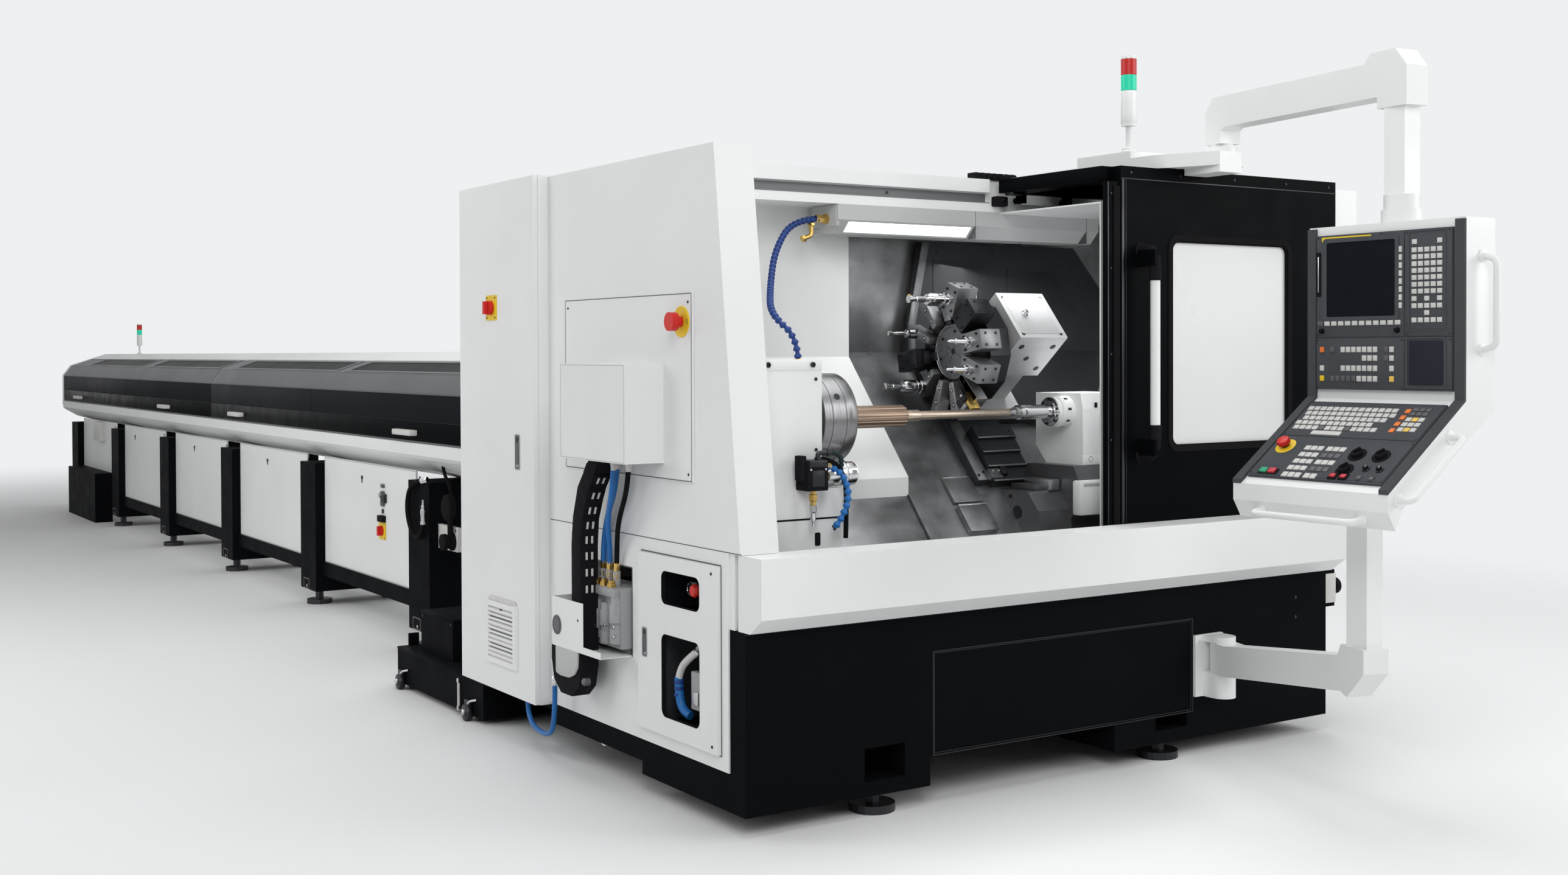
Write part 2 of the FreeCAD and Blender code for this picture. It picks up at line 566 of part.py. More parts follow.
def make_right_enclosure():
    """Right-hand housing: inner wall, end wall, fixed front panel and its top."""
    deep = "base_depth - sheet - seam - fixed_front_y"
    high = ROOF + " - seam - base_top"
    inner = box("right_inner", "right_wall_x", "fixed_front_y", "base_top", "sheet", deep, high)
    end = box("right_end", "base_len - sheet", "fixed_front_y", "base_top", "sheet", deep, high)
    front = box("right_front", "fixed_front_x", "fixed_front_y", "base_top",
                "base_len - fixed_front_x", "sheet", high)
    top = box("right_top", "fixed_front_x", "fixed_front_y", ROOF + " - seam - sheet",
              "base_len - fixed_front_x", "header_y - seam - fixed_front_y", "sheet")
    start, over = "leaf_x + leaf_len + side_gap", "side_box_low"
    bridge = box("side_bridge", "base_len - sheet", "fixed_front_y", over,
                 start + " + 1 - base_len + sheet", "side_box_deep",
                 ROOF + " - seam - sheet - side_box_low")
    side = box("side_box", start, "fixed_front_y", over, "side_box_end - (%s)" % start,
               "side_box_deep", "side_box_top - side_box_low")
    hollow = box("side_hollow", "base_len - sheet - 1", "fixed_front_y + sheet", over + " + sheet",
                 "side_box_end - base_len + 1", "side_box_deep", ROOF + " - 2 * sheet - seam - "
                 "sheet - side_box_low")
    return node("right_enclosure", fuse("right_enclosure", [
        inner, end, front, top, cut("side_housing", fuse("side_whole", [bridge, side]), [hollow])]))


def make_lamp():
    """The work-light housing under the header and its lens."""
    low = ROOF
    shell = prism("lamp_shell", "YZ", [
        ("header_y", "lamp_front"), ("header_y + lamp_run", "lamp_low"),
        ("header_y + lamp_deep", "lamp_low"), ("header_y + lamp_deep", low),
        ("header_y", low)], "lamp_x", "lamp_end - lamp_x")
    slit = prism("lamp_slit", "YZ", [
        ("header_y + 2", "lamp_front - 12"), ("header_y + lamp_run - 12", "lamp_low - 2"),
        ("header_y + lamp_run - 2", "lamp_low + 8"), ("header_y + 12", "lamp_front - 2")],
        "lens_x", "lens_len")
    node("lamp_housing", cut("lamp_housing", shell, [slit]))
    lens = prism("lamp_lens", "YZ", [
        ("header_y + 6", "lamp_front - 8"), ("header_y + lamp_run - 8", "lamp_low + 6"),
        ("header_y + lamp_run - 5", "lamp_low + 9"), ("header_y + 9", "lamp_front - 5")],
        "lens_x + 1", "lens_len - 2")
    node("lamp_lens", lens)


def folded_cover(name, low_u, high_u, depth, drop, start, length):
    """A sheet cover: a flap, the slope of the bed and the upright wall up to the roof."""
    y0, z0 = around("slant", "-(%s)" % low_u, "-(%s)" % depth)
    y1, z1 = around("slant", high_u, "-(%s)" % depth)
    flap = [(y0, "%s - %s" % (z0, drop)), (y0, z0)] if drop else [(y0, z0)]
    back = [("%s + sheet" % y0, "%s - sheet" % z0)]
    if drop:
        back.append(("%s + sheet" % y0, "%s - %s" % (z0, drop)))
    return prism(name, "YZ", flap + [(y1, z1), (y1, ROOF), ("%s + sheet" % y1, ROOF),
                                     ("%s + sheet" % y1, "%s - sheet" % z1)] + back, start, length)


def make_bed():
    """The slant bed casting and the folded covers over it."""
    under = "way_n + bed_under"
    low_y, low_z = around("slant", "-cover_low_u", "-(%s)" % under)
    high_y, high_z = around("slant", "cover_high_u", "-(%s)" % under)
    start = "column_x + column_len + seam"
    node("slant_bed", prism("slant_bed", "YZ", [
        (low_y, "base_top"), (low_y, low_z), (high_y, high_z),
        ("base_depth - 60", high_z), ("base_depth - 60", "base_top")],
        start, "right_wall_x - seam - (%s)" % start))
    node("bed_cover", folded_cover("bed_cover", "cover_low_u", "cover_high_u", "bed_n", "cover_drop",
                                   "wall_thick + seam", "cover_end_x - wall_thick - 2 * seam"))
    node("way_cover", folded_cover("way_cover", "way_low_u", "way_high_u", "way_n", None,
                                   "cover_end_x", "right_wall_x - cover_end_x - seam"))


# ---------------------------------------------------------------- headstock and chuck
def make_headstock():
    """Headstock housing on its column, with the spindle's bore."""
    upper = box("head_upper", "head_x", "head_y", "head_low",
                "head_len", "head_deep", "head_top - head_low")
    column = box("head_column", "column_x", "column_y", "base_top",
                 "column_len", "column_deep", "column_top - base_top")
    neck = box("head_neck", "column_x", "column_y", "column_top - 1",
               "head_x + head_len - column_x", "200", "head_low - column_top + 2")
    bore = rod("head_bore", "X", "head_x + head_len - nose_len", "spindle_y", "spindle_z",
               "nose_r + fit", "nose_len + 1")
    valve = box("head_valve", "valve_x", "head_y - valve_proud", "valve_z",
                "valve_len", "valve_proud + 1", "valve_high")
    probe = rod("head_probe", "X", "head_x + head_len - 6", "probe_y", "probe_z",
                "probe_r", "probe_len")
    return node("headstock", cut("headstock", fuse("head_whole", [
        upper, column, neck, valve, probe]), [bore]))


def make_chuck():
    """The chuck with its spindle nose, and its three jaws in their slots."""
    shell = rod("chuck_shell", "X", "chuck_x", "spindle_y", "spindle_z", "chuck_r", "chuck_len")
    nose = fluted("chuck_nose", "X", 48, "head_x + head_len - nose_len + 1", "spindle_y", "spindle_z",
               "nose_r", "chuck_x - head_x - head_len + nose_len")
    bore = fluted("chuck_bore", "X", 40, "chuck_x + chuck_len - chuck_bore", "spindle_y", "spindle_z",
               "chuck_bore_r", "chuck_bore + 1")
    node("chuck_body", cut("chuck_body", fuse("chuck_solid", [shell, nose]), [bore]))
    for i in range(int(cell("jaw_count"))):
        angle = "90 + %d * 360 / jaw_count" % i
        base = radial_box("jaw_base_%d" % i, angle, "chuck_x + chuck_len + jaw_gap",
                          "work_r1 + seam", "-jaw_wide / 2", "jaw_high * 0.6", "jaw_len",
                          "jaw_wide")
        grip = radial_box("jaw_grip_%d" % i, angle, "chuck_x + chuck_len + jaw_gap",
                          "work_r1 + seam", "-jaw_wide * 0.35", "jaw_high", "jaw_len * 0.55",
                          "jaw_wide * 0.7")
        node("chuck_jaw_%d" % (i + 1), fuse("jaw_%d" % i, [base, grip]))


def turned(name, points, y="spindle_y", z="spindle_z"):
    """A piece turned about an X axis from a half profile of X and radius."""
    body = doc.addObject("PartDesign::Body", name)
    sketch = sketch_on(body, name + "_profile", "XZ_Plane")
    outline(sketch, points)
    spin = body.newObject("PartDesign::Revolution", name + "_turned")
    spin.Profile = sketch
    spin.ReferenceAxis = (sketch, ["H_Axis"])
    spin.Angle = 360
    place(body, "0", y, z)
    return body


def make_work():
    """The turned bar between chuck and centre, with its centre hole."""
    return node("work_bar", turned("work_bar", [
        ("work_x", "0"), ("work_x", "work_r1"), ("work_x1", "work_r1"), ("work_x1", "work_r2"),
        ("work_x2", "work_r2"), ("work_x2", "work_r3"), ("work_end", "work_r3"),
        ("work_end", "cone_r * 0.23"), ("work_end - cone_r * 0.6", "0")]))


# ---------------------------------------------------------------- turret and saddle
TURRET = ("spindle_y + turret_u * cos(slant)", "spindle_z + turret_u * sin(slant)")


def make_turret_disc():
    """The twelve-station disc: a padded polygon with slots cut by a polar pattern."""
    body = doc.addObject("PartDesign::Body", "turret_plate")
    turn(body, (1, 0, 0), "slant")
    sketch = sketch_on(body, "disc_profile", "YZ_Plane")
    count = int(cell("station_count"))
    outline(sketch, [("disc_r * cos(%g)" % (360 / count * (i + 0.5)),
                      "disc_r * sin(%g)" % (360 / count * (i + 0.5))) for i in range(count)])
    pad = body.newObject("PartDesign::Pad", "disc_pad")
    pad.Profile = sketch
    bind(pad, "Length", "disc_len")
    seat = sketch_on(body, "slot_profile", "YZ_Plane")
    outline(seat, [("-disc_r - 5", "-slot_wide / 2"), ("-slot_in", "-slot_wide / 2"),
                   ("-slot_in", "slot_wide / 2"), ("-disc_r - 5", "slot_wide / 2")])
    slot = body.newObject("PartDesign::Pocket", "disc_slot")
    slot.Profile = seat
    slot.Reversed = True
    bind(slot, "Length", "slot_deep")
    pattern = body.newObject("PartDesign::PolarPattern", "disc_slots")
    pattern.Originals = [slot]
    pattern.Axis = ([f for f in body.Origin.OriginFeatures if f.Role == "X_Axis"][0], [""])
    pattern.Angle = 360
    pattern.Occurrences = count
    body.Tip = pattern
    place(body, "disc_x", *TURRET)
    cap = rod("turret_cap", "X", "disc_x - cap_len", TURRET[0], TURRET[1], "cap_r", "cap_len + 1")
    drum = fluted("turret_drum", "X", 48, "disc_x + disc_len - 1", TURRET[0], TURRET[1],
               "drum_r", "house_x - disc_x - disc_len + 0.7")
    return node("turret_disc", fuse("turret_disc_whole", [body, cap, drum]))


def station_angle(i):
    """Angle of one station about the turret's axis; station 0 points at the work."""
    return "slant + 180 + %d * 360 / station_count" % i


def make_tools():
    """Wedge holders and boring bars at the stations, and the brass cutting tool at the work."""
    holders = []
    for i in range(1, int(cell("station_count"))):
        angle = station_angle(i)
        wedge = radial_box("wedge_%d" % i, angle, "disc_x - wedge_len + slot_deep",
                           "slot_in + 2", "-wedge_thick / 2", "wedge_len",
                           "wedge_r1 - slot_in - 8", "wedge_thick", TURRET)
        if i % 2 == 0 or i > 8:
            holders.append(wedge)
            continue
        y, z = around(angle, "bar_circle", "0", *TURRET)
        sleeve = radial_box("sleeve_%d" % i, angle, "disc_x + slot_deep - wedge_len - sleeve_len",
                            "bar_circle - sleeve_r", "-sleeve_r", "sleeve_len + 1",
                            "2 * sleeve_r", "2 * sleeve_r", TURRET)
        bar = rod("bar_%d" % i, "X",
                  "disc_x + slot_deep - wedge_len - sleeve_len - bar_len", y, z,
                  "bar_r", "bar_len + 1")
        holders.append(fuse("bar_holder_%d" % i, [wedge, sleeve, bar]))
    node("tool_holders", group("tool_holders", holders))
    angle = station_angle(0)
    shank = radial_box("cutting_shank", angle, "disc_x - wedge_len + slot_deep", "slot_in + 2",
                       "-wedge_thick / 2", "wedge_len", "wedge_r1 - slot_in - 8",
                       "wedge_thick", TURRET)
    blade = radial_box("cutting_blade", angle, "disc_x - wedge_len + slot_deep - 34",
                       "wedge_r1 - 60", "-9", "44",
                       "turret_u - work_r3 - tip_clear - wedge_r1 + 60", "18", TURRET)
    node("cutting_tool", fuse("cutting_tool", [shank, blade]))


def make_turret_housing():
    """The turret's indexing housing and the cross slide that it stands on."""
    house = slant_box("house_block", "house_x", "turret_u - house_u", "stem_front",
                      "house_len", "2 * house_u", "house_front - stem_front")
    stem = slant_box("house_stem", "house_x + stem_in", "turret_u - house_u + stem_in", "-house_back",
                     "house_len - 2 * stem_in", "2 * house_u - 2 * stem_in",
                     "house_back + stem_front + 1")
    slide = slant_box("cross_slide", "house_x - 20", "turret_u - house_u - 20",
                      SADDLE_TOP + " + seam", "house_len + 40", "2 * house_u + 30",
                      "-house_back - seam + 1 - (%s)" % SADDLE_TOP)
    return node("turret_housing", fuse("turret_housing", [house, stem, slide]))


SADDLE_TOP = "(saddle_lift + saddle_thick - way_n)"


def slant_prism(name, points, n, thick):
    """A pad from a polygon of X and u, standing off the slant bed from a height n."""
    body = doc.addObject("PartDesign::Body", name)
    turn(body, (1, 0, 0), "slant")
    sketch = sketch_on(body, name + "_profile", "XY_Plane")
    outline(sketch, points)
    pad = body.newObject("PartDesign::Pad", name + "_pad")
    pad.Profile = sketch
    bind(pad, "Length", thick)
    y, z = around("slant", "0", n)
    place(body, "0", y, z)
    return body


def make_saddle():
    """The saddle across the bed with its guide strip, its stepped guards and its rear shield."""
    strip_end = "saddle_x + strip_wide"
    plate = slant_prism("saddle_plate", [
        ("saddle_x", "-saddle_low_u"), (strip_end, "-saddle_low_u"), (strip_end, "shelf_u"),
        ("shelf_x - 180", "shelf_u"), ("shelf_x", "shelf_end_u"), ("wing_x", "wing_u"),
        ("wing_x", "saddle_high_u"), ("saddle_x", "saddle_high_u")],
        "saddle_lift - way_n", "saddle_thick")
    guards = []
    for i in range(int(cell("rib_count"))):
        guards.append(slant_box("guard_%d" % i, strip_end + " - 1", "shelf_u - 60 - rib_pitch * %d"
                                % (i + 1), "saddle_lift - way_n",
                                "guard_end_x + 1 - (%s)" % strip_end, "rib_pitch",
                                "saddle_thick + rib_step * (rib_count - %d)" % i))
    bridge = slant_box("guard_bridge", strip_end + " - 1", "shelf_u - 61", "saddle_lift - way_n",
                       "guard_end_x + 1 - (%s)" % strip_end, "62", "saddle_thick")
    shield = prism("shield", "XZ", [
        ("shield_x", "shield_low"), ("shield_end", "shield_low"),
        ("shield_end", "shield_corner_z"), ("shield_corner_x", "shield_top"),
        ("shield_x + shield_lean", "shield_top")], "shield_y", "shield_thick")
    rim = prism("shield_rim", "XZ", [
        ("shield_x", "shield_low"), ("shield_x + 40", "shield_low"),
        ("shield_x + shield_lean + 40", "shield_top"), ("shield_x + shield_lean", "shield_top")],
        "shield_y - 18", "19")
    return node("saddle", fuse("saddle", [plate, bridge, shield, rim] + guards))


# ---------------------------------------------------------------- tailstock
def make_tailstock():
    """Tailstock head and base, the quill and the live centre."""
    head = prism("tail_block", "YZ", [
        ("tail_front", "tail_low"), ("tail_front + tail_deep - 60", "tail_low"),
        ("tail_front + tail_deep", "tail_low + 70"), ("tail_front + tail_deep", "tail_top"),
        ("tail_front + 14", "tail_top"),
        ("tail_front", "tail_top - 60")], "tail_x", "tail_len")
    ring = rod("tail_ring", "X", "tail_x - ring_len", "spindle_y", "spindle_z",
               "ring_r", "ring_len + 1")
    flange = rod("tail_flange", "X", "tail_x - ring_len - flange_len", "spindle_y", "spindle_z",
                 "flange_r", "flange_len + 1")
    bore = rod("tail_bore", "X", "tail_x - ring_len - flange_len - 1", "spindle_y", "spindle_z",
               "quill_r + fit",
               "quill_end + quill_travel - tail_x + ring_len + flange_len + 11")
    node("tailstock_head", cut("tailstock_head", fuse("tail_whole", [head, ring, flange]), [bore]))
    y0, z0 = around("slant", "-way_low_u + 40", "saddle_lift - way_n")
    y1, z1 = around("slant", "-30", "saddle_lift - way_n")
    base = prism("tail_base", "YZ", [
        (y0, z0), (y1, z1), ("tail_front + tail_deep - 60", "tail_low"),
        ("tail_front - 10", "tail_low"), ("tail_front - 60", "tail_low - 90")],
        "tail_x - tail_base_over", "tail_len + tail_base_over")
    y2, z2 = around("slant", "-142", "saddle_lift - way_n")
    step = prism("tail_step", "YZ", [
        (y0, z0), (y2, z2), (y2 + " - 20", "tail_step_top"), ("tail_front + 70", "tail_step_top"),
        ("tail_front + 10", "tail_step_top - 70"), ("tail_front - 5", z0 + " + 40")],
        "tail_x - tail_step_over", "tail_step_over - tail_base_over + 1")
    node("tailstock_base", fuse("tailstock_base", [base, step]))
    sleeve = rod("quill_sleeve", "X", "quill_x", "spindle_y", "spindle_z",
                 "quill_r", "quill_end - quill_x")
    socket = rod("quill_socket", "X", "quill_x - 1", "spindle_y", "spindle_z",
                 "centre_r * 0.6 + fit", "62")
    node("quill", cut("quill", sleeve, [socket]))
    front, shank_r = "(quill_x - 0.3 - centre_len)", "(centre_r * 0.6)"
    tip = "work_end - cone_r * 0.5"
    node("live_centre", fuse("live_centre", [
        tapered("centre_tip", tip, "0.2", "cone_r", "%s + 0.5 - (%s)" % (front, tip)),
        fluted("centre_body", "X", 32, front, "spindle_y", "spindle_z", "centre_r", "centre_len"),
        fluted("centre_shank", "X", 32, front + " + centre_len - 1", "spindle_y", "spindle_z",
               shank_r, "quill_x + 41 - centre_len - %s" % front)]))


# ---------------------------------------------------------------- sliding door
def make_door():
    """Sliding door: front leaf with canopy and seal, its pane and its grip."""
    leaf = box("door_front", "leaf_x", "leaf_y", "leaf_low", "leaf_len", "leaf_thick",
               "leaf_top - leaf_low")
    hole = box("door_hole", "pane_x", "leaf_y - 1", "pane_z", "pane_len", "leaf_thick + 2",
               "pane_high")
    canopy = box("door_canopy", "leaf_x", "leaf_y + leaf_thick - 1", "leaf_top - 8", "leaf_len",
                 "canopy_back - leaf_y - leaf_thick + 1", "8")
    rails = [box("canopy_rail_%d" % i, x, "leaf_y + leaf_thick - 1", "leaf_top - canopy_high",
                 "40", "canopy_back - leaf_y - leaf_thick + 1", "canopy_high")
             for i, x in enumerate(("leaf_x", "leaf_x + leaf_len - 40"))]
    back = box("canopy_back", "leaf_x", "canopy_back - 30", "leaf_top - canopy_high",
               "leaf_len", "30", "canopy_high")
    seal = box("door_seal", "leaf_x - seal_wide", "leaf_y + 8", "leaf_low",
               "seal_wide + 1", "seal_thick", "leaf_top - leaf_low - 60")
    brackets = []
    for i, z in enumerate(("grip_z - 10", "grip_z + grip_high - 50")):
        brackets.append(box("grip_bracket_%d" % i, "grip_x - 22", "leaf_y - grip_out - 20", z,
                            "44", "grip_out + 21", "60"))
    rollers = []
    for i, x in enumerate(("leaf_x + 60", "leaf_x + leaf_len / 2 - 300")):
        rollers.append(rod("roller_%d" % i, "Y", x, "canopy_back - 1",
                           "header_top - band_high - groove_high + roller_r + seam", "roller_r",
                           "header_y - canopy_back + roller_len"))
        rollers.append(box("roller_arm_%d" % i, x + " - 24", "canopy_back - 12",
                           "header_top - band_high - groove_high + 3", "48", "12",
                           "leaf_top - canopy_high + 1 - header_top + band_high + groove_high - 3"))
    node("door_shell", cut("door_shell", fuse("door_solid", [leaf, canopy, back, seal] + rails
                                              + brackets + rollers), [hole]))
    node("door_pane", box("door_pane", "pane_x + 0.5", "leaf_y + 12", "pane_z + 0.5",
                          "pane_len - 1", "pane_thick", "pane_high - 1"))
    node("door_grip", rod("door_grip", "Z", "grip_x", "leaf_y - grip_out", "grip_z + 50",
                          "grip_r", "grip_high - 100"))


# ---------------------------------------------------------------- roof plinth and tower
def signal_stack(name, x, y, z, scale):
    """Pole, housing and two lenses of a signal tower; returns housing and lenses."""
    pole = fluted(name + "_pole", "Z", 16, x, y, z, "tower_pole_r * %s" % scale,
    "tower_pole * %s" % scale)
    case = rod(name + "_case", "Z", x, y, "%s + tower_pole * %s - 1" % (z, scale),
               "tower_r * %s" % scale, "tower_body * %s + 1" % scale)
    lens_z = "%s + (tower_pole + tower_body) * %s" % (z, scale)
    green = fluted(name + "_green", "Z", 32, x, y, lens_z, "tower_r * %s" % scale,
    "lens_high * %s" % scale)
    red = fluted(name + "_red", "Z", 32, x, y, "%s + lens_high * %s" % (lens_z, scale),
              "tower_r * %s" % scale, "lens_high * %s" % scale)
    cap = fluted(name + "_cap", "Z", 24, x, y, "%s + 2 * lens_high * %s" % (lens_z, scale),
              "tower_r * %s" % scale, "tower_cap * %s" % scale)
    foot = fluted(name + "_foot", "Z", 12, x, y, z, "tower_foot_r * %s" % scale,
                  "tower_foot * %s" % scale)
    return fuse(name, [pole, case, foot]), green, red, cap


def make_towers():
    """Both signal towers: housings, green lenses and red lenses."""
    first = signal_stack("lathe_tower", "tower_x", "tower_y", "plinth_top", "1")
    second = signal_stack("mag_tower", "mag_top_x + 90", "mag_tower_y", "mag_top", "0.78")
    node("signal_towers", group("signal_towers", [first[0], second[0],
                                                  first[3], second[3]]))
    node("signal_lenses", group("signal_lenses", [first[1], second[1], first[2], second[2]]))


def make_plinth():
    """White plinth on the fixed roof, with the bracket that carries the arm's post."""
    back = "header_y + header_deep + 1"
    block = box("plinth_block", "plinth_x", "plinth_y", "plinth_z",
                "plinth_len", "plinth_end - plinth_y", "plinth_top - plinth_z")
    neck = box("plinth_neck", "plinth_x", "plinth_end - 1", "plinth_z",
               "plinth_len", "neck_end - plinth_end + 1", "neck_high")
    foot = box("plinth_foot", "plinth_x", back, ROOF + " + sheet", "plinth_len",
               "neck_end - (%s)" % back, "plinth_z - %s - sheet + 1" % ROOF)
    right = "plinth_x + plinth_len"
    reach = prism("plinth_reach", "XY", [
        ("plinth_x", "plinth_y + 30"), ("plinth_x", "plinth_y - 120"),
        ("arm_x - 90", "arm_y - 70"), ("arm_x + 30", "arm_y - 70"), (right, "arm_y - 30"),
        (right, "plinth_y + 30")], "plinth_z", "plinth_high")
    apron = box("plinth_apron", "arm_x - 90", "arm_y - 70", "plinth_z - apron_drop",
                "90 + 30", "leaf_y - 8 - arm_y + 70", "apron_drop + 1")
    post = rod("arm_seat", "Z", "arm_x", "arm_y", "plinth_z + plinth_high - 1",
               "arm_post_r + 10", "25")
    return node("roof_plinth", fuse("roof_plinth", [block, neck, foot, reach, apron, post]))


# ---------------------------------------------------------------- swing arm and pendant
PANEL = ("arm_x + upper_reach * cos(upper_angle)", "arm_y + upper_reach * sin(upper_angle)")
POST = ("arm_x + lower_reach * cos(lower_angle)", "arm_y + lower_reach * sin(lower_angle)")


def arm_prism(name, angle, points):
    """A pad in an arm's own upright plane; across runs from the pivot along the arm."""
    body = doc.addObject("PartDesign::Body", name)
    turn(body, (0, 0, 1), angle)
    sketch = sketch_on(body, name + "_profile", "XZ_Plane")
    outline(sketch, points)
    pad = body.newObject("PartDesign::Pad", name + "_pad")
    pad.Profile = sketch
    bind(pad, "Length", "arm_wide")
    pad.Midplane = True
    place(body, "arm_x", "arm_y", "0")
    return body


def tube(name, centre, low, high):
    """A square upright tube on one of the pendant's two axes."""
    return box(name, centre[0] + " - tube_half", centre[1] + " - tube_half", low,
               "2 * tube_half", "2 * tube_half", "%s - (%s)" % (high, low))


def make_arms():
    """Upper and lower swing arms on one upright axis, and the bracket that carries the lower."""
    seat = "plinth_z + plinth_high + 24.3"
    upper = arm_prism("upper_arm", "upper_angle", [
        ("-arm_pivot_r", "arm_under - 60"), ("arm_pivot_r", "arm_under - 60"),
        ("arm_pivot_r", "arm_under - 12"), ("arm_pivot_r + 22", "arm_under"),
        ("upper_reach - head_half", "arm_under"),
        ("upper_reach - head_half", "arm_under - 40"), ("upper_reach + head_half", "arm_under - 40"),
        ("upper_reach + head_half", "head_top_z - 60"), ("upper_reach + head_half - 50", "head_top_z"),
        ("upper_reach - head_half - 30", "head_top_z"), ("upper_reach - head_half - 60", "arm_top"),
        ("0", "arm_top"), ("-arm_pivot_r", "arm_top - 60")])
    collar = rod("upper_collar", "Z", "arm_x", "arm_y", seat, "arm_post_r",
                 "arm_under + 30 - plinth_z - plinth_high - 24.3")
    drop = tube("upper_drop", PANEL, "panel_top + 80", "arm_under - 39")
    sleeve = rod("upper_sleeve", "Z", PANEL[0], PANEL[1], "panel_top + 45", "tube_half + 18", "50")
    lower = arm_prism("lower_arm", "lower_angle", [
        ("0", "low_arm_under"), ("90", "low_arm_under"),
        ("lower_reach - head_half", "low_arm_under + low_rise"),
        ("lower_reach - 30", "low_arm_under + low_rise - 14"),
        ("lower_reach + head_half", "low_arm_under + low_rise + 78"),
        ("lower_reach + head_half", "low_arm_top + low_rise + 40"),
        ("lower_reach - head_half", "low_arm_top + low_rise + 40"),
        ("lower_reach - head_half - 20", "low_arm_top + low_rise"), ("90", "low_arm_top"),
        ("0", "low_arm_top")])
    hub = rod("lower_hub", "Z", "arm_x", "arm_y", "low_arm_under", "arm_pivot_r",
              "low_arm_top - low_arm_under")
    riser = tube("lower_riser", POST, "low_arm_top + low_rise + 39", "post_top")
    node("swing_arms", group("swing_arms", [
        fuse("upper_whole", [upper, collar, drop, sleeve]),
        fuse("lower_whole", [lower, hub, riser])]))
    low = "bracket_top - bracket_high"
    back = box("bracket_back", "arm_x - 90", "-14", low, "150", "14", "bracket_high")
    ear = box("bracket_ear", "arm_x - 50", "arm_y", "low_arm_top + 0.3", "100", "-arm_y", "ear")
    ear_round = rod("bracket_round", "Z", "arm_x", "arm_y", "low_arm_top + 0.3", "50", "ear")
    under = "low_arm_under - 0.3 - (%s)" % low
    block = box("bracket_block", "arm_x - 50", "arm_y", low, "100", "-arm_y", under)
    block_round = rod("bracket_foot", "Z", "arm_x", "arm_y", low, "50", under)
    node("arm_bracket", fuse("arm_bracket", [back, ear, ear_round, block, block_round]))


def panel_prism(name, points, side, wide):
    """A pad across the pendant's width; points are ahead of or behind its swivel axis."""
    body = doc.addObject("PartDesign::Body", name)
    sketch = sketch_on(body, name + "_profile", "XZ_Plane")
    outline(sketch, points)
    pad = body.newObject("PartDesign::Pad", name + "_pad")
    pad.Profile = sketch
    pad.Reversed = True
    bind(pad, "Length", wide)
    place(body, PANEL[0], "%s + (%s)" % (PANEL[1], side), "0")
    return body


SLOPE = "(panel_knee - panel_lip) / (panel_reach - panel_front)"


def slope_z(back):
    """Height of the pendant's sloping face at a distance ahead of its axis."""
    return "(panel_knee - (%s - panel_front) * %s)" % (back, SLOPE)


def make_pendant():
    """Operator pendant: housing, grey bumpers, screen unit, key panel, handles and stop button."""
    shell = panel_prism("pendant_shell", [
        ("-panel_front", "panel_top"), ("-panel_front", "panel_knee"),
        ("-panel_reach", "panel_lip"), ("-panel_reach", "panel_lip - 55"),
        ("-panel_reach + 35", "panel_low"), ("-heel", "panel_low + 66"),
        ("panel_back", "back_knee"), ("panel_back", "panel_top")],
        "-panel_wide / 2", "panel_wide")
    collar = rod("pendant_collar", "Z", PANEL[0], PANEL[1], "panel_top - 1", "tube_half + 26", "46")
    post_hole = box("pendant_hole", POST[0] + " - tube_half - post_slack",
                    POST[1] + " - tube_half - post_slack", "panel_low - 50",
                    "2 * (tube_half + post_slack)", "2 * (tube_half + post_slack)",
                    "post_top - panel_low + 50")
    node("pendant_housing", cut("pendant_housing", fuse("pendant_solid", [shell, collar]),
                                [post_hole]))
    strips = []
    for i, side in enumerate(("-panel_wide / 2 - 1", "panel_wide / 2 - bumper_wide + 1")):
        strips.append(panel_prism("bumper_%d" % i, [
            ("-panel_front", "panel_top - 6"), ("-panel_front - bumper_thick", "panel_top - 6"),
            ("-panel_front - bumper_thick", "panel_knee + 4"),
            ("-panel_reach - 2", "panel_lip + 13"), ("-panel_reach - 2", "panel_lip - 1"),
            ("-panel_reach", "panel_lip"), ("-panel_front", "panel_knee")], side, "bumper_wide"))
    node("pendant_bumpers", group("pendant_bumpers", strips))
    screen = box("screen_slab", PANEL[0] + " - panel_front - screen_thick",
                 PANEL[1] + " - screen_wide / 2", "screen_low", "screen_thick",
                 "screen_wide", "screen_high")
    bezel = box("screen_bezel", PANEL[0] + " - panel_front - screen_thick - 1",
                PANEL[1] + " - screen_wide / 2 + 160", "screen_low + 265", "5", "285", "225")
    node("screen_unit", cut("screen_unit", screen, [bezel]))
    near, far = "(panel_front + keys_margin)", "(panel_reach - keys_margin)"
    rise, lean = "keys_thick * 0.81", "keys_thick * 0.59"
    keys = panel_prism("key_plate", [
        ("-" + near, slope_z(near)), ("-%s - %s" % (near, lean), "%s + %s" % (slope_z(near), rise)),
        ("-%s - %s" % (far, lean), "%s + %s" % (slope_z(far), rise)), ("-" + far, slope_z(far))],
        "-screen_wide / 2", "screen_wide")
    node("key_panel", cut("key_panel", keys, [stop_rod("key_hole", "stop_stem_r + seam",
                                                       "-1", "keys_thick + 2")]))
    node("pendant_handles", group("pendant_handles", [
        side_handle("right_handle", "-1"), side_handle("left_handle", "1"), front_handle(),
        slope_handle()]))
    node("pendant_stop", pendant_stop())


